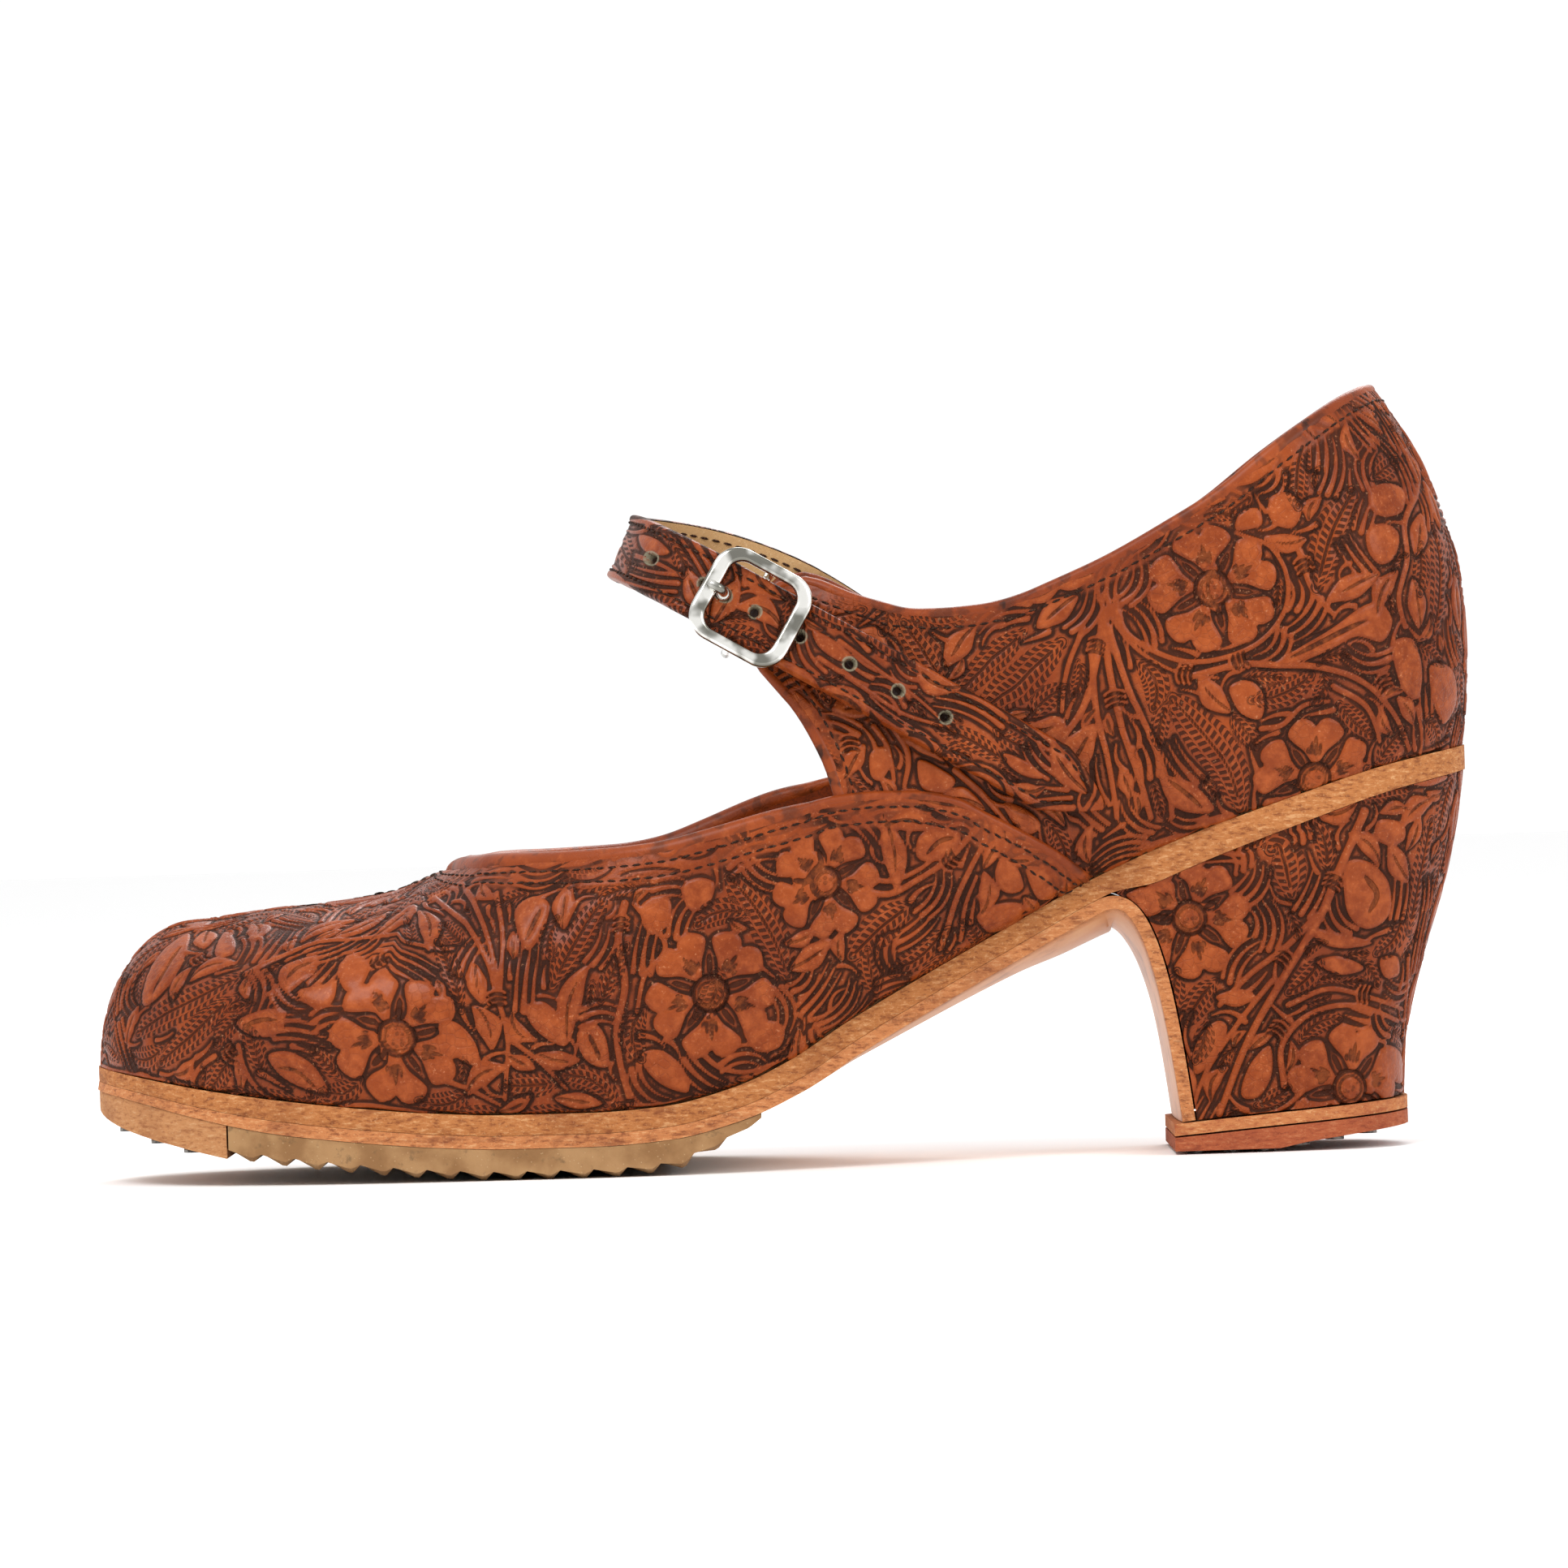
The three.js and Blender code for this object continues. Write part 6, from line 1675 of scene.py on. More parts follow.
def strap_side(p):
    """Length and height of the strap's middle line, p millimetres along it from its crown."""
    chord = np.radians(strap_slope(p)) * np.where(p > 0, 1, STRAP_FAR_CHORD)
    crown = STACK + STRAP_CROWN_UP * TOPLINE_HEIGHT
    return STRAP_CROWN + np.abs(p) * np.cos(chord), crown - np.abs(p) * np.sin(chord)


def strap_point(p, q):
    """A point of the strap's inner face, q above its middle line."""
    side = np.where(p > 0, LATERAL, MEDIAL)
    run = np.abs(p)
    slope = strap_slope(p)
    lean = np.radians(mix(STRAP_LEAN, slope, smooth(run / STRAP_ARCH)))
    x, z = strap_side(p)
    x, z = x + q * np.sin(lean), z + q * np.cos(lean)
    near = run < EAR
    beside_x, beside_z = strap_side(-side * np.maximum(run, EAR))
    ear = np.radians(slope)
    wall_x = np.where(near, beside_x + q * np.sin(ear), x)
    wall_z = np.where(near, beside_z + q * np.cos(ear), z)
    wall = wall_width(side, wall_x, wall_z - feather(wall_x), ridge_height(wall_x) + WALL, WALL)
    off = np.where(p > 0, mix(STRAP_LIFT, CLEARANCE, smooth((p - EAR) / STRAP_SETTLES)), CLEARANCE)
    arch = np.where(run < STRAP_ARCH, closing(1 - run / STRAP_ARCH, ARCH_POWER), 1)
    return np.stack([x, centre(wall_x) * arch + side * (wall + off) * arch, z], axis=-1)


def strap_normal(p, q):
    d = 0.2
    along = strap_point(p + d, q) - strap_point(p - d, q)
    up = strap_point(p, q + d) - strap_point(p, q - d)
    return unit(np.cross(along, up))


def strap_half_width(p):
    left = (STRAP_FREE - p) / STRAP_POINT
    narrow = mix(0.06, 1, np.clip(left, 0, 1) ** 0.75)
    return STRAP_WIDTH / 2 * np.where(left < 1, narrow, 1)


# %% strap
STRAP_STITCH = 1.5  # stitches lie this far in from the edge
strap_across = 88
strap_along = 760
p = np.linspace(STRAP_FREE, -STRAP_FAR, strap_along)
p = np.where(np.abs(p) < 1e-6, 1e-6, p)[:, None]
half = strap_half_width(p)
edge_turn = np.linspace(0, math.pi / 2, 8)
flat_share = np.linspace(-1, 1, strap_across - 16)
round_off = 0.6 * (1 - np.cos(edge_turn)) * half / half.max()
flat_part = flat_share * (half - 0.64 * half / half.max())
q = np.concatenate([round_off - half, flat_part, half - round_off[:, ::-1]], 1)
turned_up = 0.35 + 1.65 * np.sin(edge_turn)
thick = np.concatenate([turned_up, np.full(len(flat_share), STRAP), turned_up[::-1]])
p = p + 0 * q
strap_grid = strap_point(p, q) + strap_normal(p, q) * thick[None, :, None]
strap_chart = np.stack([p, q], axis=-1)
strap_sheet = Sheet(strap_grid, strap_chart, 0.72)
STRAP_MOTIFS = read_on(STRAP_VIEW, [
    ("leaf", [(620, 420), (680, 445), (740, 500), (700, 510), (640, 470)]),
    ("stem", 1.0, 0.6, [(640, 500), (760, 580), (880, 660), (1000, 700)]),
    ("stem", 0.9, 0.5, [(700, 450), (820, 540), (930, 620), (1040, 720)]),
    ("fern", 3.4, [(980, 700), (1080, 740), (1180, 800)]),
    ("leaf", [(1180, 780), (1240, 800), (1300, 850), (1250, 850), (1200, 820)]),
    ("leaf", [(110, 140), (160, 150), (200, 190), (160, 200), (120, 180)]),
    ("stem", 0.9, 0.5, [(100, 200), (180, 230), (250, 270)]),
])
draw_all(strap_sheet, STRAP_MOTIFS, twice=False)
fill_in(strap_sheet, seed=23, smallest=0.8)


def pit(p, q, at, along=HOLE_RADIUS, across=HOLE_RADIUS):
    """Distance outside an oval hole of the strap."""
    return (np.hypot((p - at) / along, q / across) - 1) * min(along, across)


holes = [pit(p, q, STRAP_FREE - HOLE_FIRST - i * HOLE_SPACING) for i in range(HOLE_COUNT)]
holes.append(pit(p, q, BUCKLE_AT - PRONG_HOLE, 1.3, 1.0))
hole = np.min(holes, axis=0)
from_edge = half - np.abs(q)
rolled = 0.16 * smooth((1.9 - from_edge) / 0.9) - 0.2 * np.exp(-(((from_edge - STRAP_STITCH) / 0.35) ** 2))
fade = smooth((from_edge - 1.2) / 0.9) * smooth((hole - 0.5) / 0.8)
dress(
    "strap_face", strap_grid, strap_sheet, punched_leather, ("strap",),
    fade=0.75 * fade, extra=rolled - 1.3 * smooth((0.1 - hole) / 0.35), more={"hole": hole},
)

# %% [markdown]
# ## Linings
# The inside is unglazed tan leather: the lining of vamp and quarters, and the back of the strap. It
# has a soft nap, a few hair-cell pits and darker clouds. A darker brown band below the vamp's topline is
# painted shade.

# %% linings
TAN = (0.52, 0.33, 0.155)
TAN_DEEP = (0.44, 0.265, 0.12)
TAN_PALE = (0.62, 0.44, 0.25)


def lined(tree, faced=False):
    place = tree.place()
    cloud = tree.noise(place, 14, 3.0)
    nap = tree.noise(place, 0.5, 4.0, 0.65)
    colour = tree.mix(cloud.between(0.35, 0.68), TAN_DEEP, TAN)
    colour = tree.mix(nap.between(0.5, 0.75) * 0.5, colour, TAN_PALE)
    pits = tree.cells(place, 0.9).between(0.12, 0.0)
    colour = tree.mix(pits * 0.3, colour, TAN_DEEP)
    # With faced, a darker brown band is painted on the lining as the shade inside the shoe
    if faced:
        brown = tree.mix(nap.between(0.4, 0.7), SADDLE_DEEP, BURNT_AND_SHADE)
        colour = tree.mix(tree.attribute("facing").between(0.45, 0.55), colour, brown)
    return tree.surface(colour, 0.72 + nap * 0.2, 0.2, nap * 0.06 - pits * 0.05)


lining_leather = finish_of("lining_leather", lined)
shaded_lining_leather = finish_of("shaded_lining_leather", lambda tree: lined(tree, True))


def inner_face(name, grid, outward_grid, material, values=None):
    """A grid whose faces look away from the leather outside it."""
    first, number = welded(grid)
    faces = quads_of(number)
    points = grid.reshape(-1, 3)[first]
    out = (outward_grid - grid).reshape(-1, 3)[first]
    values = {key: value.ravel()[first] for key, value in (values or {}).items()}
    piece_of(name, points, faced(points, faces, -out), material, values=values)


VAMP_SHADE_DEPTH = 15.0  # painted shade reaches this far below the vamp's topline on its lining
vamp_outer = whole(vamp_half, WALL, VAMP_COLUMNS, LINING_ROWS)
# Behind the quarters' front edge the vamp lies outside them, so its inner face moves out too
vamp_inner = whole(vamp_half, 0.0, VAMP_COLUMNS, LINING_ROWS)
under_vamp = smooth((vamp_inner[..., :1] / LENGTH - 0.5) / 0.04)
vamp_inner = mix(vamp_inner, vamp_outer, 0.6 * under_vamp)
quarter_inner = whole(quarter_half, 0.0, QUARTER_COLUMNS, LINING_ROWS)
quarter_outer = whole(quarter_half, WALL, QUARTER_COLUMNS, LINING_ROWS)
# A band of the lining below the vamp's topline is painted darker as shade
vamp_down = np.linalg.norm(vamp_inner - vamp_inner[:, -1:], axis=2)
vamp_painted_shade = smooth((VAMP_SHADE_DEPTH - vamp_down) / 2) * (vamp_inner[:, -1:, 0] > THROAT)
inner_face("vamp_lining", vamp_inner, vamp_outer, shaded_lining_leather, {"facing": vamp_painted_shade})
inner_face("quarter_lining", quarter_inner, quarter_outer, lining_leather)
inner_p, inner_share = np.meshgrid(p[:, 0], np.linspace(-1, 1, 12), indexing="ij")
inner_q = inner_share * strap_half_width(inner_p)
inner_out = strap_normal(inner_p, inner_q)
strap_inner = strap_point(inner_p, inner_q) + inner_out * (0.35 * np.abs(inner_share) ** 6)[..., None]
inner_face("strap_lining", strap_inner, strap_inner + inner_out, lining_leather)

# %% [markdown]
# ### Rolled edges
# Where outside and lining meet they are turned over into a round bead, which takes the dye unevenly.


# %% rims
RIM_EVENING = 9  # rows averaged on each side
RIM_TURN = 0.75  # how far the bead turns in under each edge, in radians
THROAT_SWELL = 0.72
THROAT_REACH = 26  # rows from the throat to where the bead has its full swell


def evened(rows, reach):
    """Rows averaged with their neighbours."""
    padded = np.concatenate([np.repeat(rows[:1], reach, 0), rows, np.repeat(rows[-1:], reach, 0)])
    total = np.cumsum(np.concatenate([np.zeros((1, rows.shape[1])), padded]), axis=0)
    window = 2 * reach + 1
    return (total[window:] - total[:-window]) / window


def rim(name, outer, inner, swell):
    """A half-round bead from the outer edge over to the inner edge."""
    across = outer - inner
    wide = np.linalg.norm(across, axis=1, keepdims=True)
    n = across / wide
    u = np.cross(n, unit(np.gradient(outer, axis=0)))
    if u[:, 2].sum() < 0:
        u = -u
    n, u, radius_of = (evened(rows, RIM_EVENING) for rows in (n, u, wide))
    n = unit(n)
    u = unit(u - n * (u * n).sum(1, keepdims=True))
    turn = np.linspace(-RIM_TURN, math.pi + RIM_TURN, 15)
    level = np.abs(np.arange(len(outer)) - np.argmin(outer[:, 0]))[:, None]
    if outer[:, 0].min() < 1.02 * THROAT:
        swell = mix(THROAT_SWELL, swell, smooth(level / THROAT_REACH))
    middle = (outer + inner) / 2 - 0.25 * u
    radius = np.minimum(wide, radius_of) / 2 * swell
    grid = middle[:, None] + radius[:, None] * (
        n[:, None] * np.cos(turn)[None, :, None] + u[:, None] * np.sin(turn)[None, :, None]
    )
    faces = quads_of(np.arange(grid.shape[0] * grid.shape[1]).reshape(grid.shape[:2]))
    points = grid.reshape(-1, 3)
    faces = faced(points, faces, (grid - middle[:, None]).reshape(-1, 3))
    piece_of(name, points, faces, plain_leather)


rim("vamp_rim", vamp_edge[behind], vamp_inner[:, -1][behind], 1.06)
rim("quarter_rim", round_edge(quarter_grid), round_edge(quarter_inner), 1.1)

# %% [markdown]
# ## Stitches
# Dark waxed thread in short, slightly sunken stitches. A seam is a line on the flat chart, a fixed
# distance inside the leather's edge, that is laid back on the leather.

# %% stitches
THREAD = (0.02, 0.008, 0.005)


def threaded(tree):
    place = tree.place()
    twist = tree.noise(place, 0.35, 2.0)
    colour = tree.mix(twist.between(0.45, 0.7) * 0.6, THREAD, (0.1, 0.05, 0.03))
    return tree.surface(colour, 0.6, 0.08, twist * 0.06)


thread = finish_of("thread", threaded)


def laid(sheet, surface, at):
    """Places and outward directions on the leather of points of its flat chart."""
    chart = sheet.chart.reshape(-1, 2)
    points, out = surface.reshape(-1, 3), sheet.outward.reshape(-1, 3)
    tree = KDTree(len(chart))
    for i, (x, y) in enumerate(chart):
        tree.insert((x, y, 0.0), i)
    tree.balance()
    made, ways = [], []
    for x, y in at:
        found = tree.find_n((x, y, 0.0), 3)
        near = np.array([f[1] for f in found])
        weight = 1 / (np.array([f[2] for f in found]) + 1e-4)
        weight /= weight.sum()
        made.append(weight @ points[near])
        ways.append(weight @ out[near])
    return np.array(made), np.array(ways)


# %% [markdown]
# Every seam is a line that carries the leather's outward direction. A node tree sets an equal stitch
# at each step along it, turns it along the line and makes them one mesh.

# %% stitch tree
STITCH_PITCH = 2.1
STITCH_LENGTH = 1.6
THREAD_THICKNESS = 0.46


def new_tree(name, made, sizes):
    """A node tree with one geometry coming in, named sizes in millimetres, and what it makes."""
    tree = bpy.data.node_groups.new(name, "GeometryNodeTree")
    tree.interface.new_socket("Line", in_out="INPUT", socket_type="NodeSocketGeometry")
    keys = {}
    for size in sizes:
        socket = tree.interface.new_socket(size, in_out="INPUT", socket_type="NodeSocketFloat")
        keys[size] = socket.identifier
    tree.interface.new_socket(made, in_out="OUTPUT", socket_type="NodeSocketGeometry")
    return tree, Tree(tree), tree.nodes.new("NodeGroupInput"), keys


def set_along(tree, points, body, material):
    """Puts a copy of a body at each point, turned along the line and outward, and finishes the tree."""
    named, vector = "GeometryNodeInputNamedAttribute", {"data_type": "FLOAT_VECTOR"}
    outward, way = (tree.add(named, vector, {"Name": name}, "Attribute") for name in ("out", "way"))
    align = "FunctionNodeAlignRotationToVector"
    first = tree.add(align, {"axis": "X"}, {"Vector": way})
    turned = tree.add(align, {"axis": "Z", "pivot_axis": "X"}, {"Rotation": first, "Vector": outward})
    set_there = {"Points": points, "Instance": body, "Rotation": turned}
    many = tree.add("GeometryNodeInstanceOnPoints", None, set_there)
    real = tree.add("GeometryNodeRealizeInstances", None, {"Geometry": many})
    smooth_faces = tree.add("GeometryNodeSetShadeSmooth", None, {"Geometry": real})
    made = tree.add("GeometryNodeSetMaterial", None, {"Geometry": smooth_faces, "Material": material})
    tree.put(made, tree.tree.nodes.new("NodeGroupOutput").inputs[0])


def stitch_tree():
    group, tree, given, keys = new_tree("stitch row", "Stitches", ("Pitch", "Length", "Thickness"))
    line, pitch, length, thickness = given.outputs[:4]
    curve = tree.add("GeometryNodeMeshToCurve", None, {"Mesh": line})
    points = tree.add("GeometryNodeResampleCurve", {"mode": "LENGTH"}, {"Curve": curve, "Length": pitch})
    ball = tree.add("GeometryNodeMeshUVSphere", None, {"Segments": 6, "Rings": 5, "Radius": 0.5})
    size = tree.add("ShaderNodeCombineXYZ", None, {"X": length, "Y": thickness, "Z": thickness})
    body = tree.add("GeometryNodeTransform", None, {"Geometry": ball, "Scale": size})
    set_along(tree, points, body, thread)
    return group, keys


STITCH_TREE, STITCH_KEYS = stitch_tree()


def grown(name, line, out, group, keys, sizes, slot, edges=True):
    """What a node tree makes along a line (in millimetres from the toe), as one plain mesh."""
    mesh = bpy.data.meshes.new(name)
    pairs = [(i, i + 1) for i in range(len(line) - 1)] if edges else []
    mesh.from_pydata(((line + SHIFT) * MM).tolist(), pairs, [])
    way = np.gradient(line, axis=0) if edges else np.tile((1.0, 0.0, 0.0), (len(line), 1))
    for key, value in (("out", out), ("way", way)):
        field = mesh.attributes.new(key, "FLOAT_VECTOR", "POINT").data
        field.foreach_set("vector", np.ascontiguousarray(value, np.float32).ravel())
    made = placed(name, mesh)
    modifier = made.modifiers.new("rows", "NODES")
    modifier.node_group = group
    for size, value in sizes.items():
        modifier[keys[size]] = value * MM
    evaluated = made.evaluated_get(bpy.context.evaluated_depsgraph_get())
    result = bpy.data.meshes.new_from_object(evaluated)
    made.modifiers.remove(modifier)
    made.data = result
    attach(made, "root")
    print(name, sum(len(p.vertices) - 2 for p in result.polygons), "triangles")


def stitched(name, line, out, slot):
    """A row of stitches, a little sunk into the leather."""
    sizes = {"Pitch": STITCH_PITCH, "Length": STITCH_LENGTH, "Thickness": THREAD_THICKNESS}
    grown(name, line + 0.02 * out, out, STITCH_TREE, STITCH_KEYS, sizes, slot)


def seam(name, sheet, surface, edge, away):
    stitched(name, *laid(sheet, surface, seam_line(sheet, edge, away)), "tooled_leather")


for away in VAMP_SEAMS:
    seam(f"vamp_seam_{away:.0f}", vamp_sheet, vamp_pressed, vamp_edge_chart, away)
for away in QUARTER_SEAMS:
    seam(f"quarter_seam_{away:.0f}", quarter_sheet, quarter_pressed, round_edge(quarter_chart), away)
seam_p = np.linspace(STRAP_FREE - 5, -STRAP_FAR + 1, 700)
for face, slot, depth, out in (
    ("strap_inner_seam", "lining_leather", 0.0, -1),
    ("strap_seam", "tooled_leather", STRAP - 0.1, 1),
):
    for end, share in (("upper", 1), ("lower", -1)):
        seam_q = share * (strap_half_width(seam_p) - STRAP_STITCH)
        seam_out = strap_normal(seam_p, seam_q)
        line = strap_point(seam_p, seam_q) + seam_out * depth
        stitched(f"{face}_{end}", line, out * seam_out, slot)

# %% [markdown]
# ## Buckle
# A bright nickel frame with rounded corners. Its centre bar, under the strap, carries the prong, which
# comes up through a hole and rests on the bar nearest the toe.


# %% nickel
METAL_SHINE = 0.5


def nickel(tree):
    place = tree.place()
    haze = tree.noise(place, 3.0, 3.0)
    scratch = tree.noise(tree.place((1, 1, 9)), 0.6, 2.0)
    # Dark and bright patches are painted into the metal's colour to stand for reflections
    painted_reflection = tree.noise(place, 4.0, 2.0, 0.4).between(0.42, 0.6)
    colour = tree.mix(painted_reflection, (0.19, 0.185, 0.16), (0.8, 0.79, 0.75))
    rough = 0.1 + haze * 0.12 + scratch.between(0.6, 0.8) * 0.1
    return tree.surface(colour, rough, METAL_SHINE, haze * 0.02, {"Metallic": 1.0})


bright_nickel = finish_of("bright_nickel", nickel)


def on_strap(p):
    """A point of the middle line of the strap's inner face."""
    return strap_point(np.array(p), np.array(0.0))


buckle_out = strap_normal(np.array(BUCKLE_AT), np.array(0.0))
buckle_along = unit(on_strap(BUCKLE_AT + 0.5) - on_strap(BUCKLE_AT - 0.5))
buckle_up = unit(np.cross(buckle_out, buckle_along))
buckle_place = on_strap(BUCKLE_AT) + buckle_out * STRAP


def on_buckle(points):
    """Points of the buckle's own frame (along the strap, up across it, out of it), on the shoe."""
    points = np.asarray(points, float)
    return buckle_place + points @ np.stack([buckle_along, buckle_up, buckle_out])


def swept(rings, closed=False):
    """Points and faces of a surface through rings of points, closed round each ring."""
    rings = np.asarray(rings)
    count, around = rings.shape[:2]
    number = np.arange(count * around).reshape(count, around)
    number = np.concatenate([number, number[:, :1]], axis=1)
    if closed:
        number = np.concatenate([number, number[:1]])
    quads = quads_of(number)
    faces = quads.tolist()
    if not closed:
        faces += [number[0, :-1][::-1].tolist(), number[-1, :-1].tolist()]
    points = rings.reshape(-1, 3)
    solid = np.concatenate([quads[:, :3], quads[:, [0, 2, 3]]])
    a, b, c = (points[solid[:, k]] - points.mean(0) for k in range(3))
    if np.einsum("ij,ij->i", a, np.cross(b, c)).sum() < 0:
        faces = [face[::-1] for face in faces]
    return points, faces


def joined(parts):
    """Several (points, faces) as one."""
    points, faces, base = [], [], 0
    for some, those in parts:
        points.append(some)
        faces += [[base + i for i in face] for face in those]
        base += len(some)
    return np.concatenate(points), faces


def tube(line, radius, sides=14):
    """A tube along a line, with a radius for each point."""
    line = np.asarray(line, float)
    radius = np.broadcast_to(radius, len(line))
    way = unit(np.gradient(line, axis=0))
    side = unit(np.cross(way, np.eye(3)[np.argmin(np.abs(way).sum(0))]))
    up = np.cross(side, way)
    turn = np.linspace(0, 2 * math.pi, sides, endpoint=False)
    return swept([
        c + r * (np.outer(np.cos(turn), s) + np.outer(np.sin(turn), u))
        for c, r, s, u in zip(line, radius, side, up)
    ])


def round_corner(width, height, radius, count):
    """Points of a rounded rectangle, the same share of each corner and side at the same number."""
    corners = np.array([(1, 1), (-1, 1), (-1, -1), (1, -1)]) * (width / 2 - radius, height / 2 - radius)
    made = []
    for k, (middle, ahead) in enumerate(zip(corners, np.roll(corners, -1, axis=0))):
        turn = np.linspace(k * math.pi / 2, (k + 1) * math.pi / 2, count)
        arc = middle + radius * np.stack([np.cos(turn), np.sin(turn)], 1)
        made += [arc, arc[-1] + (ahead - middle) * np.linspace(0, 1, count)[1:-1, None]]
    return np.concatenate(made)


outer_line = round_corner(BUCKLE_LENGTH, BUCKLE_WIDTH, BUCKLE_CORNER, 18)
inner_line = round_corner(
    BUCKLE_LENGTH - 2 * BUCKLE_BAR, BUCKLE_WIDTH - 2 * BUCKLE_RAIL, BUCKLE_CORNER - BUCKLE_RAIL, 18
)
section_turn = np.linspace(0, 2 * math.pi, 24, endpoint=False)
section_wide = np.sign(np.cos(section_turn)) * np.abs(np.cos(section_turn)) ** 0.55
section_high = np.sign(np.sin(section_turn)) * np.abs(np.sin(section_turn)) ** 0.75
frame_rings = []
for outer, inner in zip(outer_line, inner_line):
    middle, reach = (outer + inner) / 2, (outer - inner) / 2
    flat = middle + np.outer(section_wide, reach)
    height = BUCKLE_RISE + BUCKLE_THICK / 2 * (1 + section_high)
    frame_rings.append(np.column_stack([flat, height]))
rail = BUCKLE_WIDTH / 2 - BUCKLE_RAIL / 2
parts = [swept(frame_rings, closed=True)]
parts.append(tube([(0, y, -PIN_DEPTH) for y in np.linspace(-rail, rail, 12)], PIN_RADIUS))
for side in (-1, 1):
    heights = np.linspace(-PIN_DEPTH - PIN_RADIUS, BUCKLE_RISE + BUCKLE_THICK / 2, 8)
    parts.append(tube([(0, side * rail, z) for z in heights], 0.85))
points, faces = joined(parts)
piece_of("buckle", on_buckle(points), faces, bright_nickel, ("buckle_frame",), sharp=60)

bar_top = BUCKLE_RISE + BUCKLE_THICK
prong_line = bent([
    (0, -PIN_DEPTH + 1.3),
    (-PRONG_HOLE + 1.0, -STRAP - 0.7),
    (-PRONG_HOLE, -1.0),
    (-PRONG_HOLE - 0.1, bar_top - 0.8),
    (-PRONG_HOLE - 0.9, bar_top + 0.55),
    (-PRONG_HOLE - 2.2, bar_top + 0.5),
    (-BUCKLE_LENGTH / 2 + 0.9, bar_top + 0.15),
])
prong_line = np.stack([prong_line[:, 0], 0 * prong_line[:, 0], prong_line[:, 1]], 1)
taper = 0.78 - 0.3 * smooth((np.arange(len(prong_line)) / len(prong_line) - 0.8) / 0.2)
eye_turn = np.linspace(0, 2 * math.pi, 20)
eye_radius = PIN_RADIUS + 0.75
eye = [(eye_radius * math.cos(a), 0, eye_radius * math.sin(a) - PIN_DEPTH) for a in eye_turn]
collar = [(-PRONG_HOLE - 0.05, 0, z) for z in np.linspace(0.0, 1.1, 6)]
collar_radius = [1.0, 1.15, 1.2, 1.2, 1.15, 0.9]
points, faces = joined([tube(prong_line, taper, 16), tube(eye, 0.45), tube(collar, collar_radius, 18)])
piece_of("prong", on_buckle(points), faces, bright_nickel, ("buckle_prong",), sharp=60)

# %% [markdown]
# ## Sole leather
# The edges of midsole and outsole are raw cut leather: fibres run along them in lighter and darker
# streaks, with darker stains. The underside is smooth and pale.

# %% sole leather
EDGE = (0.39, 0.145, 0.045)
EDGE_DARK = (0.17, 0.046, 0.016)
EDGE_PALE = (0.66, 0.38, 0.18)
UNDER = (0.57, 0.26, 0.105)


def raw_edge(tree, base, dark, pale):
    along = tree.place((0.42, 0.42, 1.4))
    place = tree.place()
    streak = tree.noise(along, 0.8, 4.0, 0.7)
    fuzz = tree.noise(place, 0.45, 4.0, 0.7)
    cloud = tree.noise(place, 11.0, 3.0)
    stain = tree.noise(along, 3.5, 5.0, 0.75)
    colour = tree.mix(streak.between(0.5, 0.34) * 0.8, base, dark)
    colour = tree.mix(streak.between(0.53, 0.68) * 0.5, colour, pale)
    colour = tree.mix(stain.between(0.52, 0.68) * 0.7, colour, dark)
    colour = tree.mix(cloud.between(0.5, 0.7) * 0.35, colour, dark)
    colour = tree.mix(fuzz.between(0.55, 0.72) * 0.45, colour, pale)
    return colour, streak * 0.9 + fuzz * 0.55, fuzz


def sole_finish(base, dark, pale, under=None):
    def make(tree):
        colour, height, fuzz = raw_edge(tree, base, dark, pale)
        rough = 0.68 + fuzz * 0.2
        if under is None:
            return tree.surface(colour, rough, 0.15, height * 0.22)
        edge = tree.attribute("edge")
        scuff = tree.noise(tree.place(), 7.0, 4.0, 0.6)
        smooth_side = tree.mix(scuff.between(0.5, 0.72) * 0.5, under, dark)
        smooth_side = tree.mix(scuff.between(0.5, 0.3) * 0.35, smooth_side, pale)
        colour = tree.mix(edge, smooth_side, colour)
        rough = 0.34 + edge * 0.36 + fuzz * 0.12
        return tree.surface(colour, rough, 0.25, height * (edge * 0.2 + 0.02))

    return make


SOLE_TONES = {  # plain, dark, pale, underside
    "midsole": (EDGE, EDGE_DARK, EDGE_PALE),
    "outsole": ((0.45, 0.165, 0.055), EDGE_DARK, EDGE_PALE, UNDER),
    "toe": ((0.42, 0.19, 0.075), (0.24, 0.085, 0.033), (0.55, 0.33, 0.17)),
    "lift": ((0.45, 0.165, 0.058), (0.28, 0.07, 0.028), EDGE_PALE),
    "top": ((0.33, 0.082, 0.032), (0.2, 0.042, 0.02), (0.5, 0.2, 0.09)),
}
sole_leather = {name: finish_of(f"{name}_leather", sole_finish(*tones)) for name, tones in SOLE_TONES.items()}


def slope_direction(line, x):
    slope = slope_of(line, x)
    return 1 / np.hypot(1, slope), slope / np.hypot(1, slope)


def stations(extra, end, count):
    """Lengths along the sole, evenly spaced along its outline."""
    start = front_of(0.0, WALL + LAP + extra) + 0.02
    share = (1 - np.cos(np.linspace(0, math.pi, 3000))) / 2
    x = start + (end - start) * share
    y = sole_edge(LATERAL, x, extra)
    run = np.concatenate([[0], np.cumsum(np.hypot(np.diff(x), np.diff(y)))])
    return np.interp(np.linspace(0, run[-1], count), run, x)


EDGE_ROWS = 9


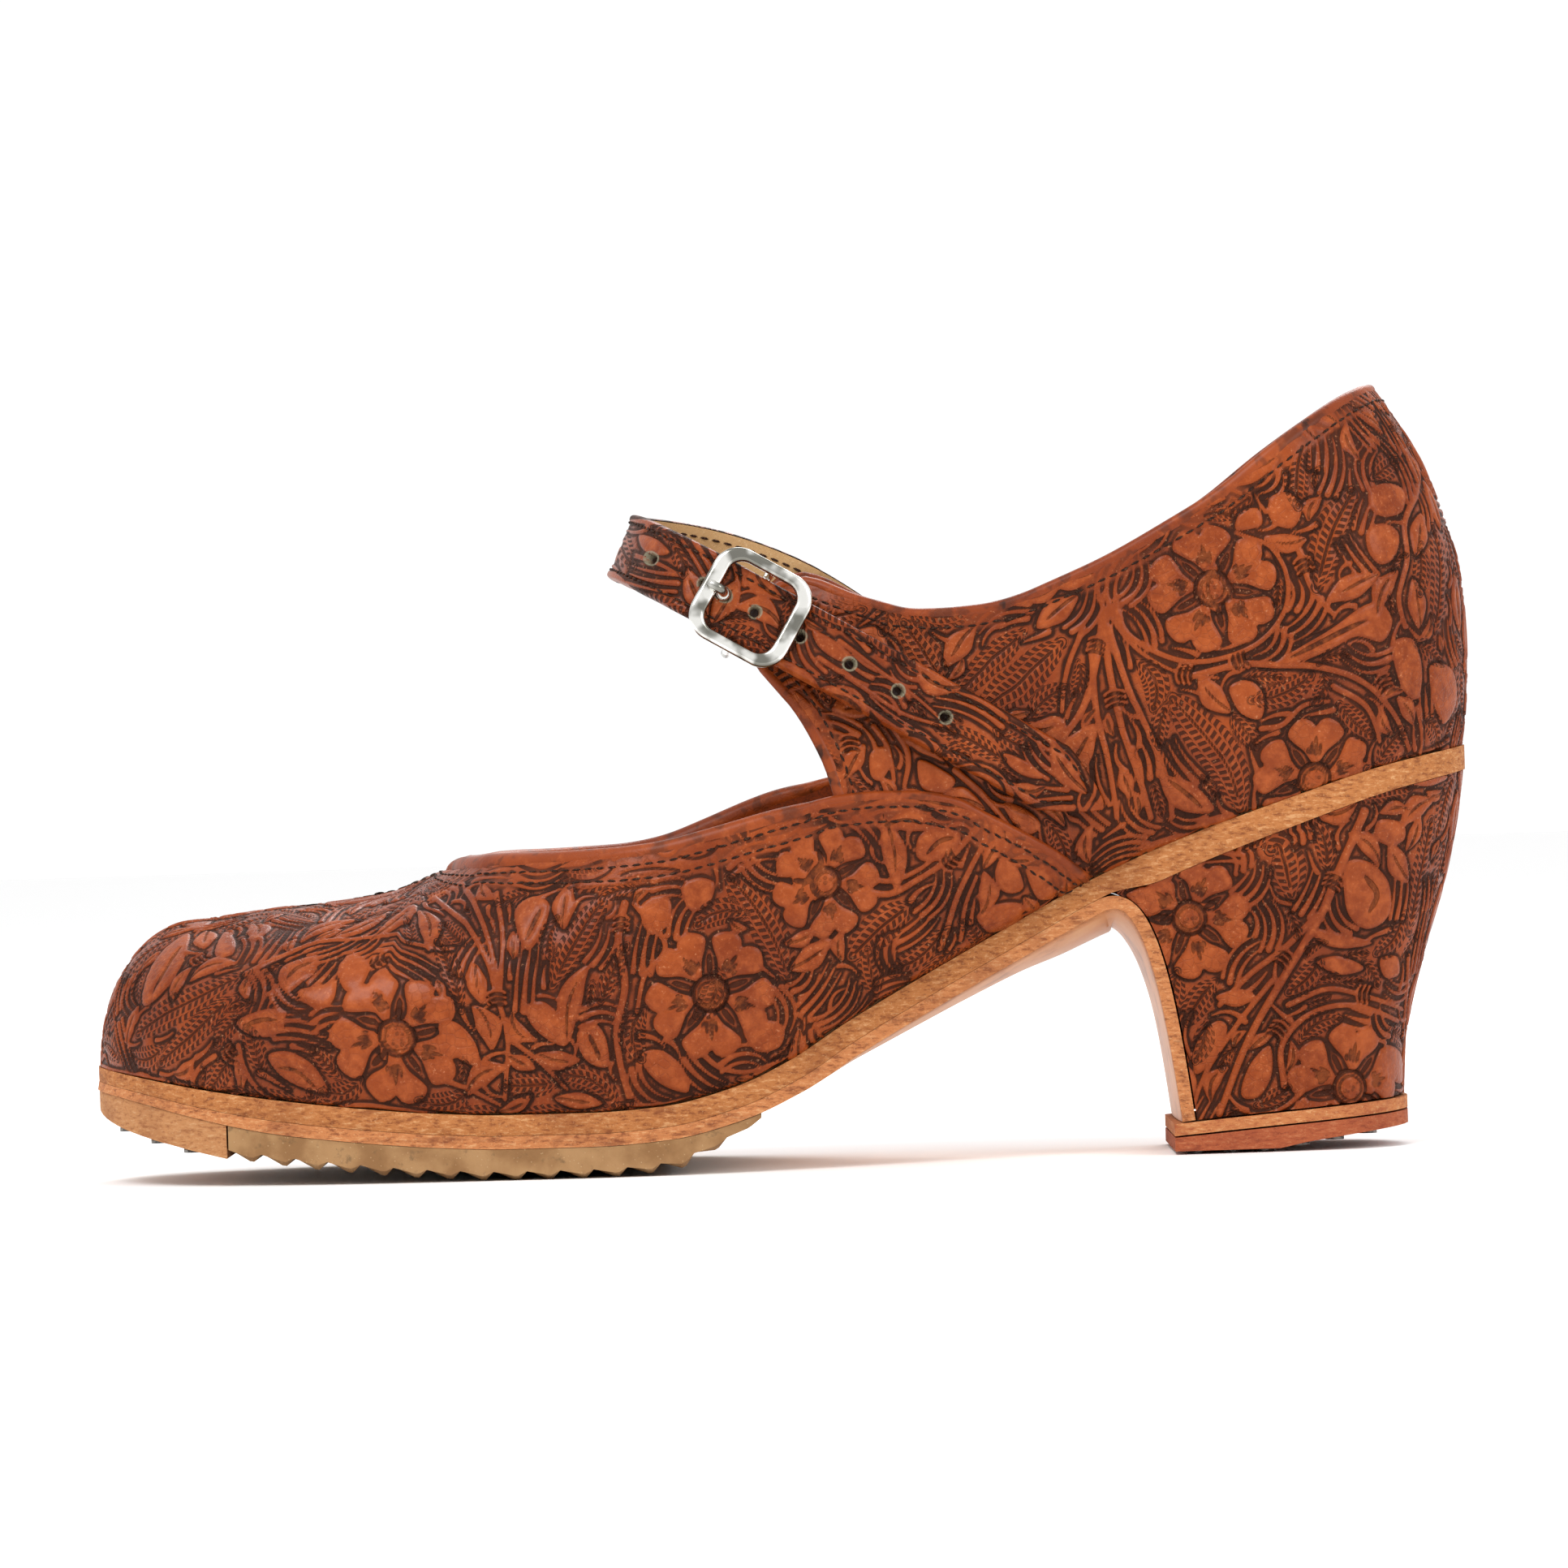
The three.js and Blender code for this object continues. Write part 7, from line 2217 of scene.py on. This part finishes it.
def edged_rings(x, top, under_of, rough):
    """Rings of a flat sole piece: its top, one rough edge, its underside and the other edge."""
    v = np.linspace(0, 1, EDGE_ROWS)
    rings = []
    left, right = (sole_edge(side, x, SOLE_MARGIN) for side in (LATERAL, MEDIAL))
    high, low = top(x), under_of(x)
    for k in range(len(x)):
        swell = 0.22 * np.sin(v * math.pi) ** 0.7
        z = mix(high[k], low[k], v)
        right_side = [(x[k], right[k] + s, h) for s, h in zip(swell, z)]
        left_side = [(x[k], left[k] - s, h) for s, h in zip(swell[::-1], z[::-1])]
        rings.append(right_side + left_side)
    rings = np.array(rings)
    out = np.sign(rings[..., 1] - centre(rings[..., 0]))
    rings[..., 1] += rough * wavering(rings * (0.25, 1, 1), 1.1, 5) * out
    return rings


sole_count = 620
midsole_x = stations(SOLE_MARGIN, rear_of(WALL + SOLE_MARGIN) - 0.02, sole_count)
midsole_rings = edged_rings(midsole_x, lambda x: feather(x) - 0.02, lambda x: midsole_under(x) - 0.24, 0.2)
points, faces = swept(midsole_rings)
piece_of("midsole_edge", points, faces, sole_leather["midsole"], ("midsole",), sharp=45)

# %% outsole
BREAST_CROWN = [(0.0, 1.15), (0.14, 1.1), (0.3, 0.9), (0.45, 0.6), (0.6, 0.35), (0.8, 0.15), (1.0, 0.1)]
CROWN_LINE = [(0.475, 0.0), (0.5, 0.08), (0.56, 0.4), (0.62, 0.57), (0.66, 0.72), (0.69, 1.0), (0.72, 1.15)]
crown_down = smooth_curve(BREAST_CROWN, 1)
crown_along = smooth_curve(CROWN_LINE, 1)
UNDER_POINTS = 30


def outsole_ring(x, z, way, edges, crown):
    """A section of the outsole: its inner face's corners, then its crowned outer face."""
    down = np.array([way[1], -way[0]])
    left, right = edges
    y = np.linspace(right, left, UNDER_POINTS)
    share = (y - (left + right) / 2) / ((right - left) / 2)
    bulge = OUTSOLE * skive(x) + 0.22 + crown * CROWN * (1 - share**2)
    rows = np.linspace(0, 1, 5)[:, None]
    first = np.array([x, left, z])
    second = np.array([x, right, z])
    under = np.column_stack([x + down[0] * bulge, y, z + down[1] * bulge])
    right_side = mix(second, under[0], rows[1:-1])
    left_side = mix(under[-1], first, rows[1:-1])
    return np.concatenate([[first, second], right_side, under, left_side])


rings = []
ring_edge = np.concatenate([np.ones(5), [0.9, 0.35], np.zeros(UNDER_POINTS - 4), [0.35, 0.9], np.ones(3)])
front_x = stations(SOLE_MARGIN, SHANK, 460)[:-1]
for x in front_x:
    edges = [float(sole_edge(side, x, SOLE_MARGIN)) for side in (LATERAL, MEDIAL)]
    crown = float(crown_along(x / LENGTH)) if x / LENGTH > CROWN_LINE[0][0] else 0.0
    rings.append(outsole_ring(x, float(outsole_top(x)), slope_direction(outsole_top, x), edges, crown))
for t in np.linspace(0, 1, 90):
    at = breast_point(t)
    way = unit(breast_point(min(t + 1e-3, 1)) - breast_point(max(t - 1e-3, 0)))
    v = np.clip((at[1] - lifts_top(BREAST)) / BREAST_HEIGHT, 0, 1)
    edges = []
    for side in (LATERAL, MEDIAL):
        waist = abs(float(sole_edge(side, at[0], SOLE_MARGIN)) - float(centre(at[0])))
        top_y = abs(float(sole_edge(side, HEEL_TOP_FRONT, 0.0)) - float(centre(HEEL_TOP_FRONT)))
        flap = mix(HEEL_FOOT_WIDTH / 2, top_y, float(heel_side_at(v))) + SOLE_MARGIN
        edges.append(float(centre(at[0])) + side * mix(flap, waist, smooth((v - 0.86) / 0.14)))
    rings.append(outsole_ring(at[0], at[1], way, edges, float(crown_down(t))))
rings = np.array(rings)
points, faces = swept(rings)
values = {"edge": np.tile(ring_edge, len(rings))}
piece_of("outsole_leather", points, faces, sole_leather["outsole"], ("outsole",), values, 45)


# %% [markdown]
# ## Rubber and small leather parts
# These keep the solid model's own meshes and get their finishes here.


# %% finishes of kept solids
def rubber(tree):
    place = tree.place()
    speck = tree.cells(place, 0.8).between(0.2, 0.08)
    cloud = tree.noise(place, 6.0, 4.0)
    grime = tree.noise(place, 2.0, 4.0, 0.7)
    colour = tree.mix(cloud.between(0.35, 0.65), (0.22, 0.11, 0.042), (0.33, 0.185, 0.08))
    colour = tree.mix(speck * 0.45, colour, (0.5, 0.34, 0.18))
    colour = tree.mix(grime.between(0.56, 0.72) * 0.55, colour, (0.1, 0.06, 0.03))
    return tree.surface(colour, 0.55 + grime * 0.25, 0.2, grime * 0.12 + speck * 0.03)


ripple_rubber = finish_of("ripple_rubber", rubber)
KEPT = {
    "insole": lining_leather,
    "half_sole": ripple_rubber,
    "toe_piece": sole_leather["toe"],
    "heel_lift": sole_leather["lift"],
    "top_piece": sole_leather["top"],
    "buckle_tab": plain_leather,
}
for node, material in KEPT.items():
    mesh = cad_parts[node].data
    mesh.materials.clear()
    mesh.materials.append(material)

# %% [markdown]
# ## Nails
# Round steel heads hold the toe piece and the top piece. One node tree sets them all: a short
# cylinder at each place, facing down.

# %% nails
NAIL_RADIUS = 1.5
NAIL_SPREAD = 0.07  # the head shown is this much wider than the solid one
NAIL_DEPTH = 0.66
NAIL_SPACING = 5.8
TOE_PIECE_LENGTH = 23.0
TOE_PIECE = 5.5
HEEL_FLAT = 14.0
HEEL_WORN = 3.0


def steel_finish(tree):
    place = tree.place()
    rust = tree.noise(place, 1.2, 3.0)
    colour = tree.mix(rust.between(0.4, 0.62), (0.06, 0.055, 0.05), (0.3, 0.29, 0.27))
    return tree.surface(colour, 0.4 + rust * 0.3, METAL_SHINE, rust * 0.1, {"Metallic": 0.85})


steel = finish_of("worn_steel", steel_finish)


def nail_tree():
    group, tree, given, keys = new_tree("nail heads", "Nails", ("Radius", "Depth"))
    sizes = {"Vertices": 18, "Radius": given.outputs["Radius"], "Depth": given.outputs["Depth"]}
    body = tree.add("GeometryNodeMeshCylinder", None, sizes, "Mesh")
    set_along(tree, given.outputs["Line"], body, steel)
    return group, keys


NAIL_TREE, NAIL_KEYS = nail_tree()


def worn(x):
    """How far the back of the top piece has worn up off the floor."""
    return HEEL_WORN * max(0, (x - BREAST - HEEL_FLAT) / (HEEL_FOOT - HEEL_FLAT)) ** 0.75


def heel_nails():
    inset = NAIL_RADIUS + 2.2
    x = BREAST - OUTSOLE - 1.6 + inset
    while x < HEEL_BACK_FOOT - inset:
        half = (HEEL_FOOT_WIDTH / 2 - inset) * float(heel_foot(x, inset))
        count = max(1, round(2 * half / NAIL_SPACING))
        for i in range(count + 1):
            yield x, float(centre(x)) + mix(-half, half, i / count), worn(x)
        x += NAIL_SPACING


def under_toe_piece(x):
    slope = slope_of(outsole_top, x)
    leather = outsole_top(x) - (OUTSOLE * skive(x) + CLEARANCE) * np.hypot(1, slope)
    nose = closing(1 - (x - front_of(0.0, WALL + LAP + SOLE_MARGIN)) / 12, 2.2)
    return float(leather - TOE_PIECE * mix(0.45, 1, nose))


def toe_nails():
    """Two arcs of nails that follow the toe."""
    for inset in (5, 11):
        x = front_of(0.0, WALL + LAP + SOLE_MARGIN) + inset + 0.5
        while x < TOE_PIECE_LENGTH - 3:
            for side in (LATERAL, MEDIAL):
                edge = float(sole_edge(side, x, SOLE_MARGIN - inset + 2))
                yield x, edge - side * 2, under_toe_piece(x) - NAIL_HEAD
            x += NAIL_SPACING


def set_nails(name, places, slot):
    line = np.array([(x, y, low + NAIL_DEPTH / 2) for x, y, low in places])
    out = np.tile((0.0, 0.0, -1.0), (len(line), 1))
    sizes = {"Radius": NAIL_RADIUS + NAIL_SPREAD, "Depth": NAIL_DEPTH}
    grown(name, line, out, NAIL_TREE, NAIL_KEYS, sizes, slot, edges=False)


set_nails("top_piece_nails", list(heel_nails()), "stacked_leather")
set_nails("toe_piece_nails", list(toe_nails()), "sole_leather")
